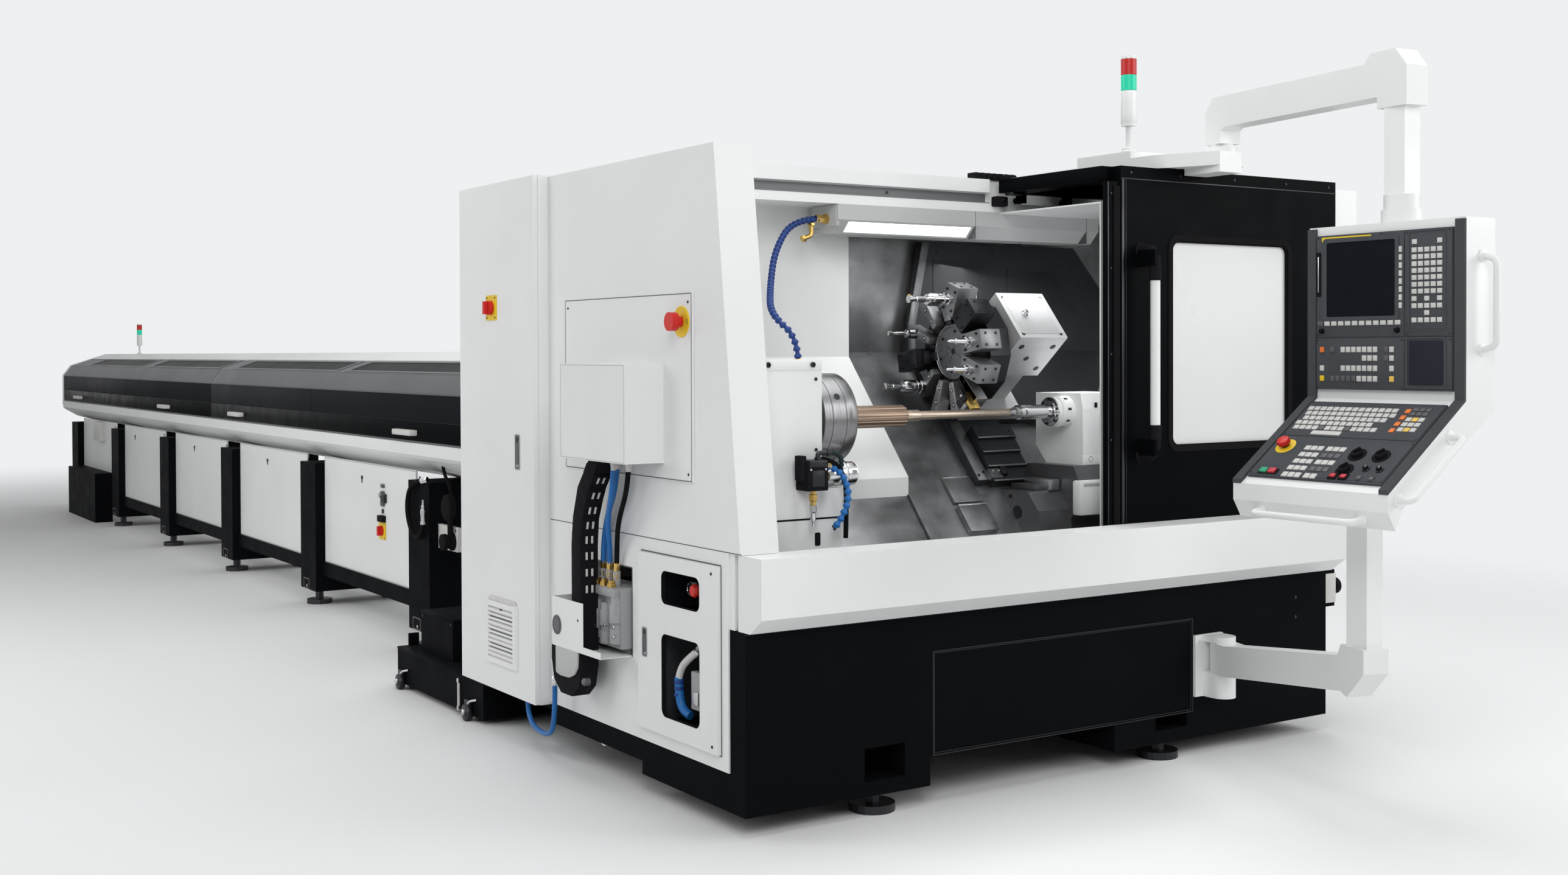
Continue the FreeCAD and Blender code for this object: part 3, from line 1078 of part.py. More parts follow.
def side_handle(name, sign):
    """A bent bar on one side of the pendant's upper housing."""
    body = doc.addObject("PartDesign::Body", name)
    sketch = sketch_on(body, name + "_profile", "YZ_Plane")
    root, out = "%s * panel_wide / 2" % sign, "%s * (panel_wide / 2 + handle_out)" % sign
    inner = "%s * (panel_wide / 2 + handle_out - handle_thick)" % sign
    bevel = "%s * (panel_wide / 2 + handle_out - 26)" % sign
    in_bevel = "%s * (panel_wide / 2 + handle_out - handle_thick - 16)" % sign
    high, low = "panel_top - 110", "panel_top - 430"
    outline(sketch, [
        (root, low), (bevel, low), (out, low + " + 26"), (out, high + " - 26"), (bevel, high),
        (root, high), (root, high + " - handle_thick"), (in_bevel, high + " - handle_thick"),
        (inner, high + " - handle_thick - 16"), (inner, low + " + handle_thick + 16"),
        (in_bevel, low + " + handle_thick"), (root, low + " + handle_thick")])
    pad = body.newObject("PartDesign::Pad", name + "_pad")
    pad.Profile = sketch
    bind(pad, "Length", "handle_wide")
    place(body, PANEL[0] + " - 20", PANEL[1], "0")
    return body


def front_handle():
    """The long bent bar along the pendant's lower lip."""
    body = doc.addObject("PartDesign::Body", "front_handle")
    sketch = sketch_on(body, "front_handle_profile", "XY_Plane")
    root, out = "-panel_reach + 13.5", "-panel_reach - handle_out * 0.7"
    inner = "-panel_reach - handle_out * 0.7 + handle_thick"
    half = "(panel_wide / 2 - 100)"
    outline(sketch, [
        (root, "-" + half), (out + " + 22", "-" + half), (out, "-%s + 22" % half),
        (out, half + " - 22"), (out + " + 22", half), (root, half),
        (root, half + " - handle_thick"), (inner + " + 12", half + " - handle_thick"),
        (inner, half + " - handle_thick - 12"), (inner, "-%s + handle_thick + 12" % half),
        (inner + " + 12", "-%s + handle_thick" % half), (root, "-%s + handle_thick" % half)])
    pad = body.newObject("PartDesign::Pad", "front_handle_pad")
    pad.Profile = sketch
    bind(pad, "Length", "handle_wide")
    place(body, PANEL[0], PANEL[1], "panel_low + 8")
    return body


def stop_rod(name, radius, start, length, sides=24):
    """A rod square to the sloping panel at the stop button, from a height over the shell."""
    ahead = "(panel_reach - panel_stop_up)"
    tilt = math.degrees(math.atan(number(SLOPE)))
    piece = doc.addObject("Part::Prism", name)
    piece.Polygon = sides
    turn(piece, (0, 1, 0), "-atan(%s)" % SLOPE)
    bind(piece, "Circumradius", radius)
    bind(piece, "Height", length)
    off = "(%s) * sin(%s)" % (start, tilt), "(%s) * cos(%s)" % (start, tilt)
    place(piece, "%s - %s - %s" % (PANEL[0], ahead, off[0]), "%s + panel_stop_side" % PANEL[1],
          "%s + %s" % (slope_z(ahead), off[1]))
    return piece


def pendant_stop():
    """Emergency stop on the pendant's sloping panel: stem and mushroom head."""
    return fuse("pendant_stop", [
        stop_rod("pendant_stop_stem", "stop_stem_r", "keys_thick + 0.3", "stop_stem + 1"),
        stop_rod("pendant_stop_head", "stop_r", "keys_thick + 0.3 + stop_stem", "stop_high", 36)])


def slope_handle():
    """The straight bar beside the pendant's sloping face, on two legs."""
    side = "%s - panel_wide / 2" % PANEL[1]
    pieces = []
    for label, ahead, out, run, wide in (
            ("bar", "(panel_reach - 30)", "handle_out", "(panel_reach - panel_front - 90)",
            "handle_thick"),
            ("low_leg", "(panel_reach - 30)", "handle_out", "handle_thick", "handle_out"),
            ("high_leg", "(panel_front + 75)", "handle_out", "handle_thick", "handle_out")):
        bar = doc.addObject("Part::Box", "slope_handle_" + label)
        turn(bar, (0, 1, 0), "-atan(%s)" % SLOPE)
        bind(bar, "Length", run)
        bind(bar, "Width", wide)
        bind(bar, "Height", "handle_wide")
        place(bar, "%s - %s" % (PANEL[0], ahead), "%s - %s" % (side, out),
              "%s - 75" % slope_z(ahead))
        pieces.append(bar)
    return fuse("slope_handle", pieces)


# ---------------------------------------------------------------- electrical cabinet
def make_cabinet():
    """Cabinet shell, its door with the vent, and the main switch."""
    shell = box("cab_shell", "-cab_proud + cab_door + 0.5", "cab_y", "cab_low",
                "cab_deep", "cab_wide", "cab_top - cab_low")
    hollow = box("cab_hollow", "-cab_proud + cab_door - 1", "cab_y + 25", "cab_low + 25",
                 "cab_deep - 25", "cab_wide - 50", "cab_top - cab_low - 50")
    node("cabinet_shell", cut("cabinet_shell", shell, [hollow]))
    leaf = box("cab_leaf", "-cab_proud", "cab_y + 2", "cab_low + 2",
               "cab_door", "cab_wide - 4", "cab_top - cab_low - 4")
    vent = box("vent_frame", "-cab_proud - vent_proud", "vent_y", "vent_z",
               "vent_proud + 1", "vent_wide", "vent_high")
    slots = [box("vent_slot_%d" % i, "-cab_proud - vent_proud - 1", "vent_y + 24",
                 "vent_z + 22 + %d * vent_pitch" % i, "vent_proud", "vent_wide - 48", "vent_slot")
             for i in range(12)]
    plate = box("switch_plate", "-cab_proud - 4", "switch_y - switch_plate / 2",
                "switch_z - switch_plate / 2", "5", "switch_plate", "switch_plate")
    node("cabinet_door", cut("cabinet_door", fuse("cab_leaf_vent", [leaf, vent, plate]), slots))


def rotary_switch(name, face, y, z):
    """A round rotary switch with a grip bar, standing off a face that looks left."""
    drum = fluted(name + "_drum", "X", 28, "%s - 0.3 - switch_out * 0.5" % face, y, z,
               "switch_r", "switch_out * 0.5")
    bar = box(name + "_bar", "%s - 0.3 - switch_out" % face, "%s - switch_bar / 2" % y,
              "%s - switch_r * 0.9" % z, "switch_out * 0.5 + 1", "switch_bar", "switch_r * 1.8")
    return fuse(name, [drum, bar])


def make_switches():
    """Main switch on the cabinet door and the magazine's own switch."""
    node("main_switch", rotary_switch("main_switch", "-cab_proud - 4", "switch_y", "switch_z"))
    node("magazine_switch", rotary_switch("magazine_switch", "post_x + 60 - skirt_thick",
                                          "mag_switch_y", "mag_switch_z"))


# ---------------------------------------------------------------- service tray, chain and hoses
NIPPLES = ("830", "885", "935")


def make_service():
    """The valve block in its niche, the folded tray in front, the drag chain and the hoses."""
    out = "-wall_skin - tray_out"
    face = box("tray_face", out, "niche_y", "niche_z", "tray_thick", "tray_len", "tray_high")
    floor = box("tray_floor", out, "niche_y", "niche_z", "tray_out", "tray_len", "tray_thick")
    end = box("tray_end", out, "niche_y + tray_len - tray_thick", "niche_z",
              "tray_out", "tray_thick", "tray_high")
    window = box("tray_window", out + " - 1", "niche_y - 1", "niche_z + 24",
                 "tray_thick + 2", "tray_open + 1", "tray_high")
    slot = box("tray_slot", "chain_x - 4", "chain_y - 6", "niche_z - 1",
               "chain_thick + 8", "chain_link + 12", "tray_thick + 2")
    node("service_tray", cut("service_tray", fuse("tray_sheet", [face, floor, end]),
                             [window, slot]))
    block = box("valve_body", "-block_out", "block_y", "block_z",
                "block_deep", "block_wide", "block_high")
    nipples = [fluted("nipple_%d" % i, "Z", 10, "nipple_x", y, "block_z + block_high - 1",
                   "nipple_r", "nipple_high + 1")
               for i, y in enumerate(NIPPLES)]
    foot = box("valve_foot", "0", "block_y + 20", "niche_z",
               "block_deep - block_out", "block_wide - 40", "block_z - niche_z + 1")
    node("valve_block", fuse("valve_block", [block, foot] + nipples))
    r, link = "chain_y", "chain_link"
    node("drag_chain", prism("drag_chain", "YZ", [
        (r + " - 145", "cbox_z"), (r + " - 55", "cbox_z - 125"), (r + " - 10", "cbox_z - 225"),
        (r, "cbox_z - 315"), (r, "niche_z - 55"), (r + " + 20", "niche_z - 130"),
        (r + " + 75", "niche_z - 172"), (r + " + chain_loop - 5", "niche_z - 172"),
        (r + " + chain_loop + 53", "niche_z - 130"), (r + " + chain_loop + chain_link", "niche_z - 55"),
        (r + " + chain_loop + chain_link", "niche_z"), (r + " + chain_loop", "niche_z"),
        (r + " + chain_loop", "niche_z - 55"), (r + " + chain_loop - 22", "niche_z - 92"),
        (r + " + chain_link + 22", "niche_z - 92"), (r + " + chain_link", "niche_z - 55"),
        (r + " + chain_link", "cbox_z - 315"), (r + " + chain_link - 13", "cbox_z - 215"),
        (r + " + chain_link - 53", "cbox_z - 105"), (r + " + chain_link - 145", "cbox_z")],
        "chain_x", "chain_thick"))
    top = "block_z + block_high + nipple_high"
    hoses = []
    for i, (x, y, end, radius) in enumerate((("-62", "752", NIPPLES[2], "hose_r"),
                                             ("-100", "705", NIPPLES[1], "hose_r"),
                                             ("-90", "612", NIPPLES[0], "hose_r * 0.9"))):
        hoses.append(hose("upper_hose_%d" % i, [
            (x, y, "cbox_z"), (x, "%s + 6" % y, "cbox_z - 90"),
            ("(%s) * 0.6 - 10" % x, "%s * 0.4 + %s * 0.6" % (y, end), "cbox_z - 215"),
            ("nipple_x", end, "cbox_z - 325"), ("nipple_x", end, top)], radius))
    y, z = "coupling_y", "coupling_z"
    hoses.append(hose("drain_hose", [
        ("-70", y, z), ("-70", y, z + " - 150"), ("-62", y + " + 80", z + " - 212"),
        ("-32", y + " + 330", z + " - 205"), ("-32", y + " + 330", "cab_low")], "hose_r"))
    coupling = fluted("coupling_body", "Z", 12, "-70", y, z + " + seam", "coupling_r",
                   "coupling_high + 24")
    elbow = box("coupling_elbow", "-wall_skin - 78", y + " - 16", z + " + coupling_high",
                "78", "32", "32")
    hoses.append(fuse("hose_coupling", [coupling, elbow]))
    node("service_hoses", group("service_hoses", hoses))
    inside = [
        hose("lamp_hose", [
            ("lamp_x", "header_y + 70", "lamp_low + 55"), ("lamp_x - 150", "header_y + 70",
            "lamp_low + 55"),
            ("lamp_x - 305", "header_y - 30", "lamp_low - 75"),
            ("head_x + 290", "head_y + 320", "head_top + 270"),
            ("head_x + 160", "head_y + 110", "head_top + 180"),
            ("head_x + 233", "head_y + 50", "head_top + 100"),
            ("head_x + 233", "head_y + 50", "head_top")], "segment_r"),
        hose("head_hose", [
            ("valve_x + valve_len", "head_y - 38", "valve_z + 76"),
            ("valve_x + valve_len + 75", "head_y - 38", "valve_z + 76"),
            ("valve_x + valve_len + 90", "head_y - 88", "valve_z - 50"),
            ("valve_x + valve_len + 30", "head_y - 70", "valve_z - 128")],
            "segment_r")]
    node("coolant_hoses", group("coolant_hoses", inside))


# ---------------------------------------------------------------- bar magazine
def make_magazine():
    """The long magazine: posts and beams, rail body, skirts and two lids."""
    posts = []
    count = int(cell("post_count"))
    for i in range(count):
        y = "post_y + %d * post_pitch" % i
        posts.append(box("post_%d" % i, "post_x", y, "post_low", "post_deep", "post_wide",
                         "mag_low - post_low"))
    low_beam = box("low_beam", "post_x + 40", "post_y + post_wide - 1", "beam_low",
                   "60", "(post_count - 1) * post_pitch - post_wide + 2", "beam_high")
    back_beam = box("back_beam", "post_x + post_deep - 100", "post_y + post_wide - 1", "beam_low",
                    "60", "(post_count - 1) * post_pitch - post_wide + 2", "beam_high")
    end_box = box("end_box", "end_box_x", "end_box_y", "0",
                  "post_x + 60 - skirt_thick - seam - end_box_x", "end_box_len", "end_box_high")
    node("magazine_frame", fuse("magazine_frame", posts + [low_beam, back_beam, end_box]))
    shell = prism("mag_shell", "XZ", [
        ("mag_x + 20", "mag_rail"), ("mag_x + 135", "mag_low + 50"), ("mag_x + 300", "mag_low"),
        ("mag_back", "mag_low"), ("mag_back", "mag_top"), ("mag_top_x", "mag_top"),
        ("mag_top_x", "mag_top - 30"), ("mag_x + 80", "mag_rail_top + 50"),
        ("mag_x", "mag_rail_top"), ("mag_x", "mag_rail + 20")],
        "mag_y", "mag_end - mag_y - 30")
    cap = prism("mag_cap", "XZ", [
        ("mag_x + 20", "mag_rail"), ("mag_x + 135", "mag_low + 50"), ("mag_x + 300", "mag_low"),
        ("mag_back", "mag_low"), ("mag_back", "mag_top"), ("mag_top_x", "mag_top"),
        ("mag_bend_x", "mag_bend"), ("mag_x", "mag_shoulder"), ("mag_x", "mag_rail + 20")],
        "mag_end - 60", "60")
    node("magazine_body", fuse("magazine_body", [shell, cap]))
    skirts = [box("skirt_%d" % i, "post_x + 60 - skirt_thick",
                  "post_y + %d * post_pitch + post_wide + 20" % i, "skirt_z", "skirt_thick",
                  "post_pitch - post_wide - 40", "skirt_high") for i in range(count - 1)]
    node("magazine_skirts", group("magazine_skirts", skirts))
    spans = (("mag_y + 5", "mag_split - mag_y - 5 - lid_gap"),
             ("mag_split", "mag_end - 62 - mag_split"))
    for i, (start, length) in enumerate(spans):
        lid = prism("lid_%d" % i, "XZ", [
            ("mag_x + 4", "mag_rail_top + 4 * 50 / 80 + seam"), ("mag_x + 4", "mag_shoulder - 6"),
            ("mag_bend_x", "mag_bend - 6"), ("mag_top_x - lid_gap", "mag_top - 8"),
            ("mag_top_x - lid_gap", "mag_top - 26"), ("mag_bend_x + 16", "mag_bend - 26"),
            ("mag_x + 22", "mag_shoulder - 16"), ("mag_x + 22", "mag_rail_top + 20")],
            start, length)
        node("magazine_lid_%d" % (i + 1), lid)


def make_tank():
    """Low coolant tank with the pump housing behind it."""
    low = box("tank_low", "tank_x", "tank_y", "tank_z", "tank_wide", "tank_len", "tank_high")
    pump = box("tank_pump", "pump_x", "pump_y", "tank_z + tank_high - 1",
               "pump_wide", "pump_len", "pump_top - tank_z - tank_high + 1")
    wheels = []
    for i, y in enumerate(("tank_y + 120", "tank_y + tank_len - 100")):
        for j, x in enumerate(("tank_x + 40", "tank_x + tank_wide - 60")):
            wheels.append(box("runner_%d%d" % (i, j), x, y, "0", "40", "60", "tank_z + 1"))
    node("coolant_tank", fuse("coolant_tank", [low, pump] + wheels))


for make in (make_base, make_base_cover, make_feet, make_sill, make_end_wall, make_service_door,
             make_access_panel, make_wall_stop, make_cover_box, make_rear_enclosure, make_right_enclosure,
             make_lamp, make_bed, make_headstock, make_chuck, make_work, make_turret_disc,
             make_tools, make_turret_housing, make_saddle, make_tailstock, make_door,
             make_plinth, make_towers, make_arms, make_pendant, make_cabinet, make_switches,
             make_service, make_magazine, make_tank):
    make()

doc.recompute()

# ---------------------------------------------------------------- checks and export
for thing in doc.Objects:
    if "Invalid" in thing.State or "Error" in thing.State:
        raise RuntimeError("%s did not build: %s" % (thing.Name, thing.State))
os.makedirs("parts", exist_ok=True)
for part in NODES:
    if part.Shape.isNull() or not part.Shape.isValid() or not part.Shape.Solids:
        raise RuntimeError("%s has no sound shape" % part.Label)
    part.Shape.exportStep("parts/%s.step" % part.Label)
print("nodes written: %d" % len(NODES))
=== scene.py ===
"""Looks of the turning lathe: camera, light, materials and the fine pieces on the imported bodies."""
import json
import math

import bmesh
import bpy
from mathutils import Matrix, Vector

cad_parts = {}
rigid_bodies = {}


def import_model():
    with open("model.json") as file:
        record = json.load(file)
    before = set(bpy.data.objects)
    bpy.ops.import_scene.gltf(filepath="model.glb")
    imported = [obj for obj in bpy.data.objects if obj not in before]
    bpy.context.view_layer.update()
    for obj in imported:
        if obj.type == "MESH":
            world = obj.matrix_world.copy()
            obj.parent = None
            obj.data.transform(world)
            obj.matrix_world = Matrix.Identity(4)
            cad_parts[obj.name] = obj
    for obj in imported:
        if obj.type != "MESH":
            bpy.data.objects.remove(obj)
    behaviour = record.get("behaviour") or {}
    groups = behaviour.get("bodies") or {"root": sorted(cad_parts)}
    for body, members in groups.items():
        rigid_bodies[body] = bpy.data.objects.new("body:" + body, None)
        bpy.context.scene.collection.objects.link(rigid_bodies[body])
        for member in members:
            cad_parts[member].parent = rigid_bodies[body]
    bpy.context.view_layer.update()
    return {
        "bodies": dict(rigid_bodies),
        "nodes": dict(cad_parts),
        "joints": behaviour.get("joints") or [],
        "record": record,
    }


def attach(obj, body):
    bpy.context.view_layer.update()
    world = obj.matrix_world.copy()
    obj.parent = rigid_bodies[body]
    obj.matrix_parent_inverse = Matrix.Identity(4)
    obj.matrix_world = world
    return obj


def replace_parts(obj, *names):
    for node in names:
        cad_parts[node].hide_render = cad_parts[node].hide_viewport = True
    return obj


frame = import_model()
NODES = frame["nodes"]

# machine coordinates start at the base's front left corner; the row frame starts at its front left foot
SHIFT = Vector((-0.55, -0.075, 0.0))

# ---------------------------------------------------------------- camera
CAMERA_AT = Vector((-2.7795, -4.5027, 1.55)) + SHIFT
YAW, PITCH, ROLL = math.radians(33.06), math.radians(0.8), math.radians(0.2)
FOCAL_PX, FRAME_PX, AXIS_ABOVE_PX = 2747.0, 2576.0, 101.0
SENSOR_MM, FAR_CLIP = 36, 200

look = Vector((math.sin(YAW) * math.cos(PITCH), math.cos(YAW) * math.cos(PITCH), -math.sin(PITCH)))
level = Vector((math.cos(YAW), -math.sin(YAW), 0))
upright = level.cross(look)
right = level * math.cos(ROLL) - upright * math.sin(ROLL)
above = upright * math.cos(ROLL) + level * math.sin(ROLL)
camera = bpy.data.objects.new("camera", bpy.data.cameras.new("camera"))
bpy.context.scene.collection.objects.link(camera)
camera.matrix_world = Matrix((
    (right.x, above.x, -look.x, CAMERA_AT.x),
    (right.y, above.y, -look.y, CAMERA_AT.y),
    (right.z, above.z, -look.z, CAMERA_AT.z),
    (0, 0, 0, 1)))
camera.data.sensor_width = SENSOR_MM
camera.data.lens = SENSOR_MM * FOCAL_PX / FRAME_PX
camera.data.shift_y = -AXIS_ABOVE_PX / FRAME_PX
camera.data.clip_end = FAR_CLIP
bpy.context.scene.camera = camera
bpy.context.scene.view_settings.view_transform = "Standard"


# ---------------------------------------------------------------- materials
# colours below this count as dark; their highlights are kept faint by specular level and index
DARK_BELOW = 0.1
DARK_GLOSS, PALE_GLOSS = (0.06, 1.2), (0.32, 1.5)
# the part of a noise texture's range that most of its points lie in
NOISE_LOW, NOISE_HIGH = 0.3, 0.7
LENS_ROUGH = 0.25


def node(tree, kind, values=()):
    """A new shader node, with values for some of its inputs."""
    made = tree.nodes.new(kind)
    for socket, value in dict(values).items():
        made.inputs[socket].default_value = value
    return made


def wire(tree, *links):
    """Joins sockets of nodes, each link a source, its output, a target and its input."""
    for source, output, target, socket in links:
        tree.links.new(source.outputs[output], target.inputs[socket])


def shader(name, colour, rough, metal=0.0):
    """A new material with its principled shader, ready for texture nodes."""
    mat = bpy.data.materials.new(name)
    mat.use_nodes = True
    mat.diffuse_color = (*colour, 1)
    main = mat.node_tree.nodes["Principled BSDF"]
    main.inputs["Base Color"].default_value = (*colour, 1)
    main.inputs["Roughness"].default_value = rough
    main.inputs["Metallic"].default_value = metal
    if not metal:
        level, index = DARK_GLOSS if max(colour) < DARK_BELOW else PALE_GLOSS
        main.inputs["Specular IOR Level"].default_value = level
        main.inputs["IOR"].default_value = index
    return mat, mat.node_tree, main


def noise(tree, scale, stretch=(1, 1, 1), detail=3.0):
    """A noise texture on object coordinates, stretched along the axes."""
    where = node(tree, "ShaderNodeTexCoord")
    mapping = node(tree, "ShaderNodeMapping", {"Scale": stretch})
    texture = node(tree, "ShaderNodeTexNoise", {"Scale": scale, "Detail": detail})
    wire(tree, (where, "Object", mapping, "Vector"), (mapping, "Vector", texture, "Vector"))
    return texture


def vary_colour(tree, main, texture, colour, spread):
    """Lets the base colour drift a little with a texture."""
    ramp = node(tree, "ShaderNodeValToRGB")
    low = [max(0.0, c * (1 - spread)) for c in colour]
    high = [min(1.0, c * (1 + spread)) for c in colour]
    for stop, place, shade in zip(ramp.color_ramp.elements, (NOISE_LOW, NOISE_HIGH), (low, high)):
        stop.position = place
        stop.color = (*shade, 1)
    wire(tree, (texture, "Fac", ramp, "Fac"), (ramp, "Color", main, "Base Color"))


def vary_rough(tree, main, texture, low, high):
    """Maps a texture to a range of roughness."""
    span = node(tree, "ShaderNodeMapRange",
                {"From Min": NOISE_LOW, "From Max": NOISE_HIGH, "To Min": low, "To Max": high})
    wire(tree, (texture, "Fac", span, "Value"), (span, "Result", main, "Roughness"))


def bump(tree, main, texture, strength, distance):
    """Bumps the surface with a texture."""
    relief = node(tree, "ShaderNodeBump", {"Strength": strength, "Distance": distance})
    wire(tree, (texture, "Fac", relief, "Height"), (relief, "Normal", main, "Normal"))


def paint(name, colour, rough, grain=900, spread=0.03, depth=0.12):
    """Powder coat: a faint orange peel and slow changes of tone and gloss."""
    mat, tree, main = shader(name, colour, rough)
    vary_colour(tree, main, noise(tree, 1.6, detail=5), colour, spread)
    vary_rough(tree, main, noise(tree, 7, detail=4), rough - 0.06, rough + 0.07)
    bump(tree, main, noise(tree, grain, detail=1), depth, 0.0004)
    return mat


def metal(name, colour, rough, stretch, scale, spread, depth=0.15, bare=1.0):
    """Bare metal with brushing or machining marks along one direction."""
    mat, tree, main = shader(name, colour, rough, bare)
    marks = noise(tree, scale, stretch, 4)
    vary_rough(tree, main, marks, rough - 0.09, rough + 0.12)
    vary_colour(tree, main, noise(tree, 5, detail=6), colour, spread)
    bump(tree, main, marks, depth, 0.0003)
    return mat


def plastic(name, colour, rough, grain=500, depth=0.1):
    """Moulded plastic or rubber with a fine grain."""
    mat, tree, main = shader(name, colour, rough)
    vary_colour(tree, main, noise(tree, 14, detail=3), colour, 0.05)
    vary_rough(tree, main, noise(tree, 30), rough - 0.05, rough + 0.07)
    bump(tree, main, noise(tree, grain, detail=2), depth, 0.0003)
    return mat


def smooth_coat(name, colour, rough):
    """A smooth sheet or pane, with slow changes of tone and gloss and no grain."""
    mat, tree, main = shader(name, colour, rough)
    vary_colour(tree, main, noise(tree, 0.8, detail=4), colour, 0.05)
    vary_rough(tree, main, noise(tree, 2.5, detail=2), rough - 0.03, rough + 0.04)
    return mat


def glow(name, colour, strength):
    """A lit lens: coloured plastic with light of its own."""
    mat, tree, main = shader(name, colour, LENS_ROUGH)
    vary_colour(tree, main, noise(tree, 60), colour, 0.06)
    main.inputs["Emission Color"].default_value = (*colour, 1)
    main.inputs["Emission Strength"].default_value = strength
    return mat


M = {
    "white": paint("white_paint", (0.80, 0.81, 0.81), 0.36),
    "black": paint("black_paint", (0.0045, 0.005, 0.006), 0.5, grain=420, spread=0.10, depth=0.2),
    "black_door": paint("black_door_paint", (0.003, 0.0035, 0.004), 0.34, grain=700, depth=0.08),
    "lid_grey": smooth_coat("lid_grey", (0.095, 0.097, 0.102), 0.5),
    "lid_black": smooth_coat("lid_black", (0.012, 0.013, 0.016), 0.45),
    "lid_pane": smooth_coat("lid_pane", (0.012, 0.013, 0.013), 0.4),
    # a dark grey a little lighter than the black paint: on the rims of the base's front cover it is painted
    # highlight, in the box behind the service windows painted shade, on the sill joint a dark joint
    "base_edge": paint("base_edge", (0.035, 0.037, 0.04), 0.4),
    # grey for the header's groove: painted shade in the groove, not a grey part
    "groove_shade_grey": paint("groove_shade_grey", (0.20, 0.205, 0.21), 0.45),
    "grey_light": paint("light_grey_paint", (0.48, 0.49, 0.49), 0.42),
    "chuck_steel": metal("ground_chuck", (0.25, 0.25, 0.255), 0.28, (1, 0, 0), 160, 0.02, 0.05, 0.9),
    "panel_grey": plastic("panel_grey", (0.075, 0.08, 0.088), 0.5, grain=800),
    "bumper": plastic("bumper_grey", (0.07, 0.075, 0.08), 0.5, grain=250, depth=0.25),
    "sheet": metal("brushed_sheet", (0.50, 0.51, 0.52), 0.30, (1, 24, 24), 30, 0.14),
    "dark_sheet": metal("dark_sheet", (0.032, 0.034, 0.037), 0.40, (8, 8, 1), 14, 0.05, 0.05, 0.6),
    "way": metal("way_sheet", (0.24, 0.244, 0.25), 0.34, (1, 3, 3), 5, 0.45, 0.02, 0.85),
    "steel": metal("ground_steel", (0.34, 0.34, 0.345), 0.34, (30, 4, 4), 40, 0.05, 0.03, 0.8),
    "tool_steel": metal("tool_steel", (0.24, 0.243, 0.248), 0.36, (6, 6, 6), 60, 0.10, 0.03, 0.8),
    "cap_steel": metal("cap_steel", (0.19, 0.193, 0.198), 0.32, (4, 4, 4), 50, 0.08, 0.02, 0.8),
    "housing_steel": metal("housing_steel", (0.50, 0.505, 0.51), 0.42, (4, 4, 4), 60, 0.05, 0.03, 0.45),
    "valve_grey": paint("valve_grey", (0.34, 0.345, 0.35), 0.5, grain=300),
    "bright": metal("bright_steel", (0.60, 0.60, 0.605), 0.24, (8, 8, 8), 60, 0.03),
    "gunmetal": metal("blackened_steel", (0.045, 0.046, 0.05), 0.38, (6, 6, 6), 90, 0.25, 0.25),
    "casting": metal("machined_casting", (0.12, 0.122, 0.126), 0.34, (3, 3, 3), 110, 0.15, 0.12, 0.6),
    "chrome": metal("hard_chrome", (0.62, 0.62, 0.63), 0.15, (60, 2, 2), 30, 0.03, 0.05),
    "bronze": metal("turned_bronze", (0.296, 0.216, 0.16), 0.34, (300, 1, 1), 6, 0.08, 0.1, 0.8),
    "bronze_pale": metal("pale_bronze", (0.46, 0.38, 0.31), 0.32, (300, 1, 1), 6, 0.08, 0.1, 0.8),
    "brass": metal("milled_brass", (0.62, 0.42, 0.13), 0.26, (6, 6, 6), 80, 0.10),
    "aluminium": metal("cast_aluminium", (0.52, 0.53, 0.54), 0.36, (2, 2, 2), 200, 0.10, 0.25),
    "black_plastic": plastic("black_plastic", (0.012, 0.012, 0.014), 0.5),
    "rubber": plastic("rubber", (0.010, 0.010, 0.011), 0.62, grain=260, depth=0.2),
    "screen": plastic("screen", (0.010, 0.0115, 0.015), 0.16, grain=30, depth=0.01),
    "touch": plastic("touch_pad", (0.028, 0.031, 0.042), 0.35),
    "key": plastic("key_caps", (0.60, 0.60, 0.58), 0.48),
    "key_dark": plastic("dark_key_caps", (0.10, 0.10, 0.105), 0.5),
    "orange": plastic("orange_caps", (0.80, 0.20, 0.04), 0.45),
    "amber": plastic("amber_caps", (0.82, 0.55, 0.12), 0.45),
    "yellow": plastic("yellow_plastic", (0.80, 0.56, 0.02), 0.4),
    "red": plastic("red_plastic", (0.62, 0.02, 0.015), 0.32),
    "red_cap": plastic("red_caps", (0.55, 0.03, 0.05), 0.4),
    "green_cap": plastic("green_caps", (0.02, 0.33, 0.17), 0.4),
    "blue": plastic("blue_hose", (0.015, 0.14, 0.42), 0.42),
    "dark_blue": plastic("blue_links", (0.012, 0.045, 0.20), 0.42),
    "link_grey": plastic("green_grey_links", (0.03, 0.045, 0.045), 0.5),
    "pane": smooth_coat("frosted_pane", (0.70, 0.71, 0.71), 0.3),
    "lens": glow("lamp_strip", (1.0, 1.0, 1.0), 1.3),
    "lamp_red": glow("red_lens", (0.34, 0.012, 0.01), 0.45),
    "lamp_green": glow("green_lens", (0.01, 0.36, 0.22), 0.8),
    "lamp_clear": plastic("clear_cap", (0.72, 0.73, 0.73), 0.2),
}

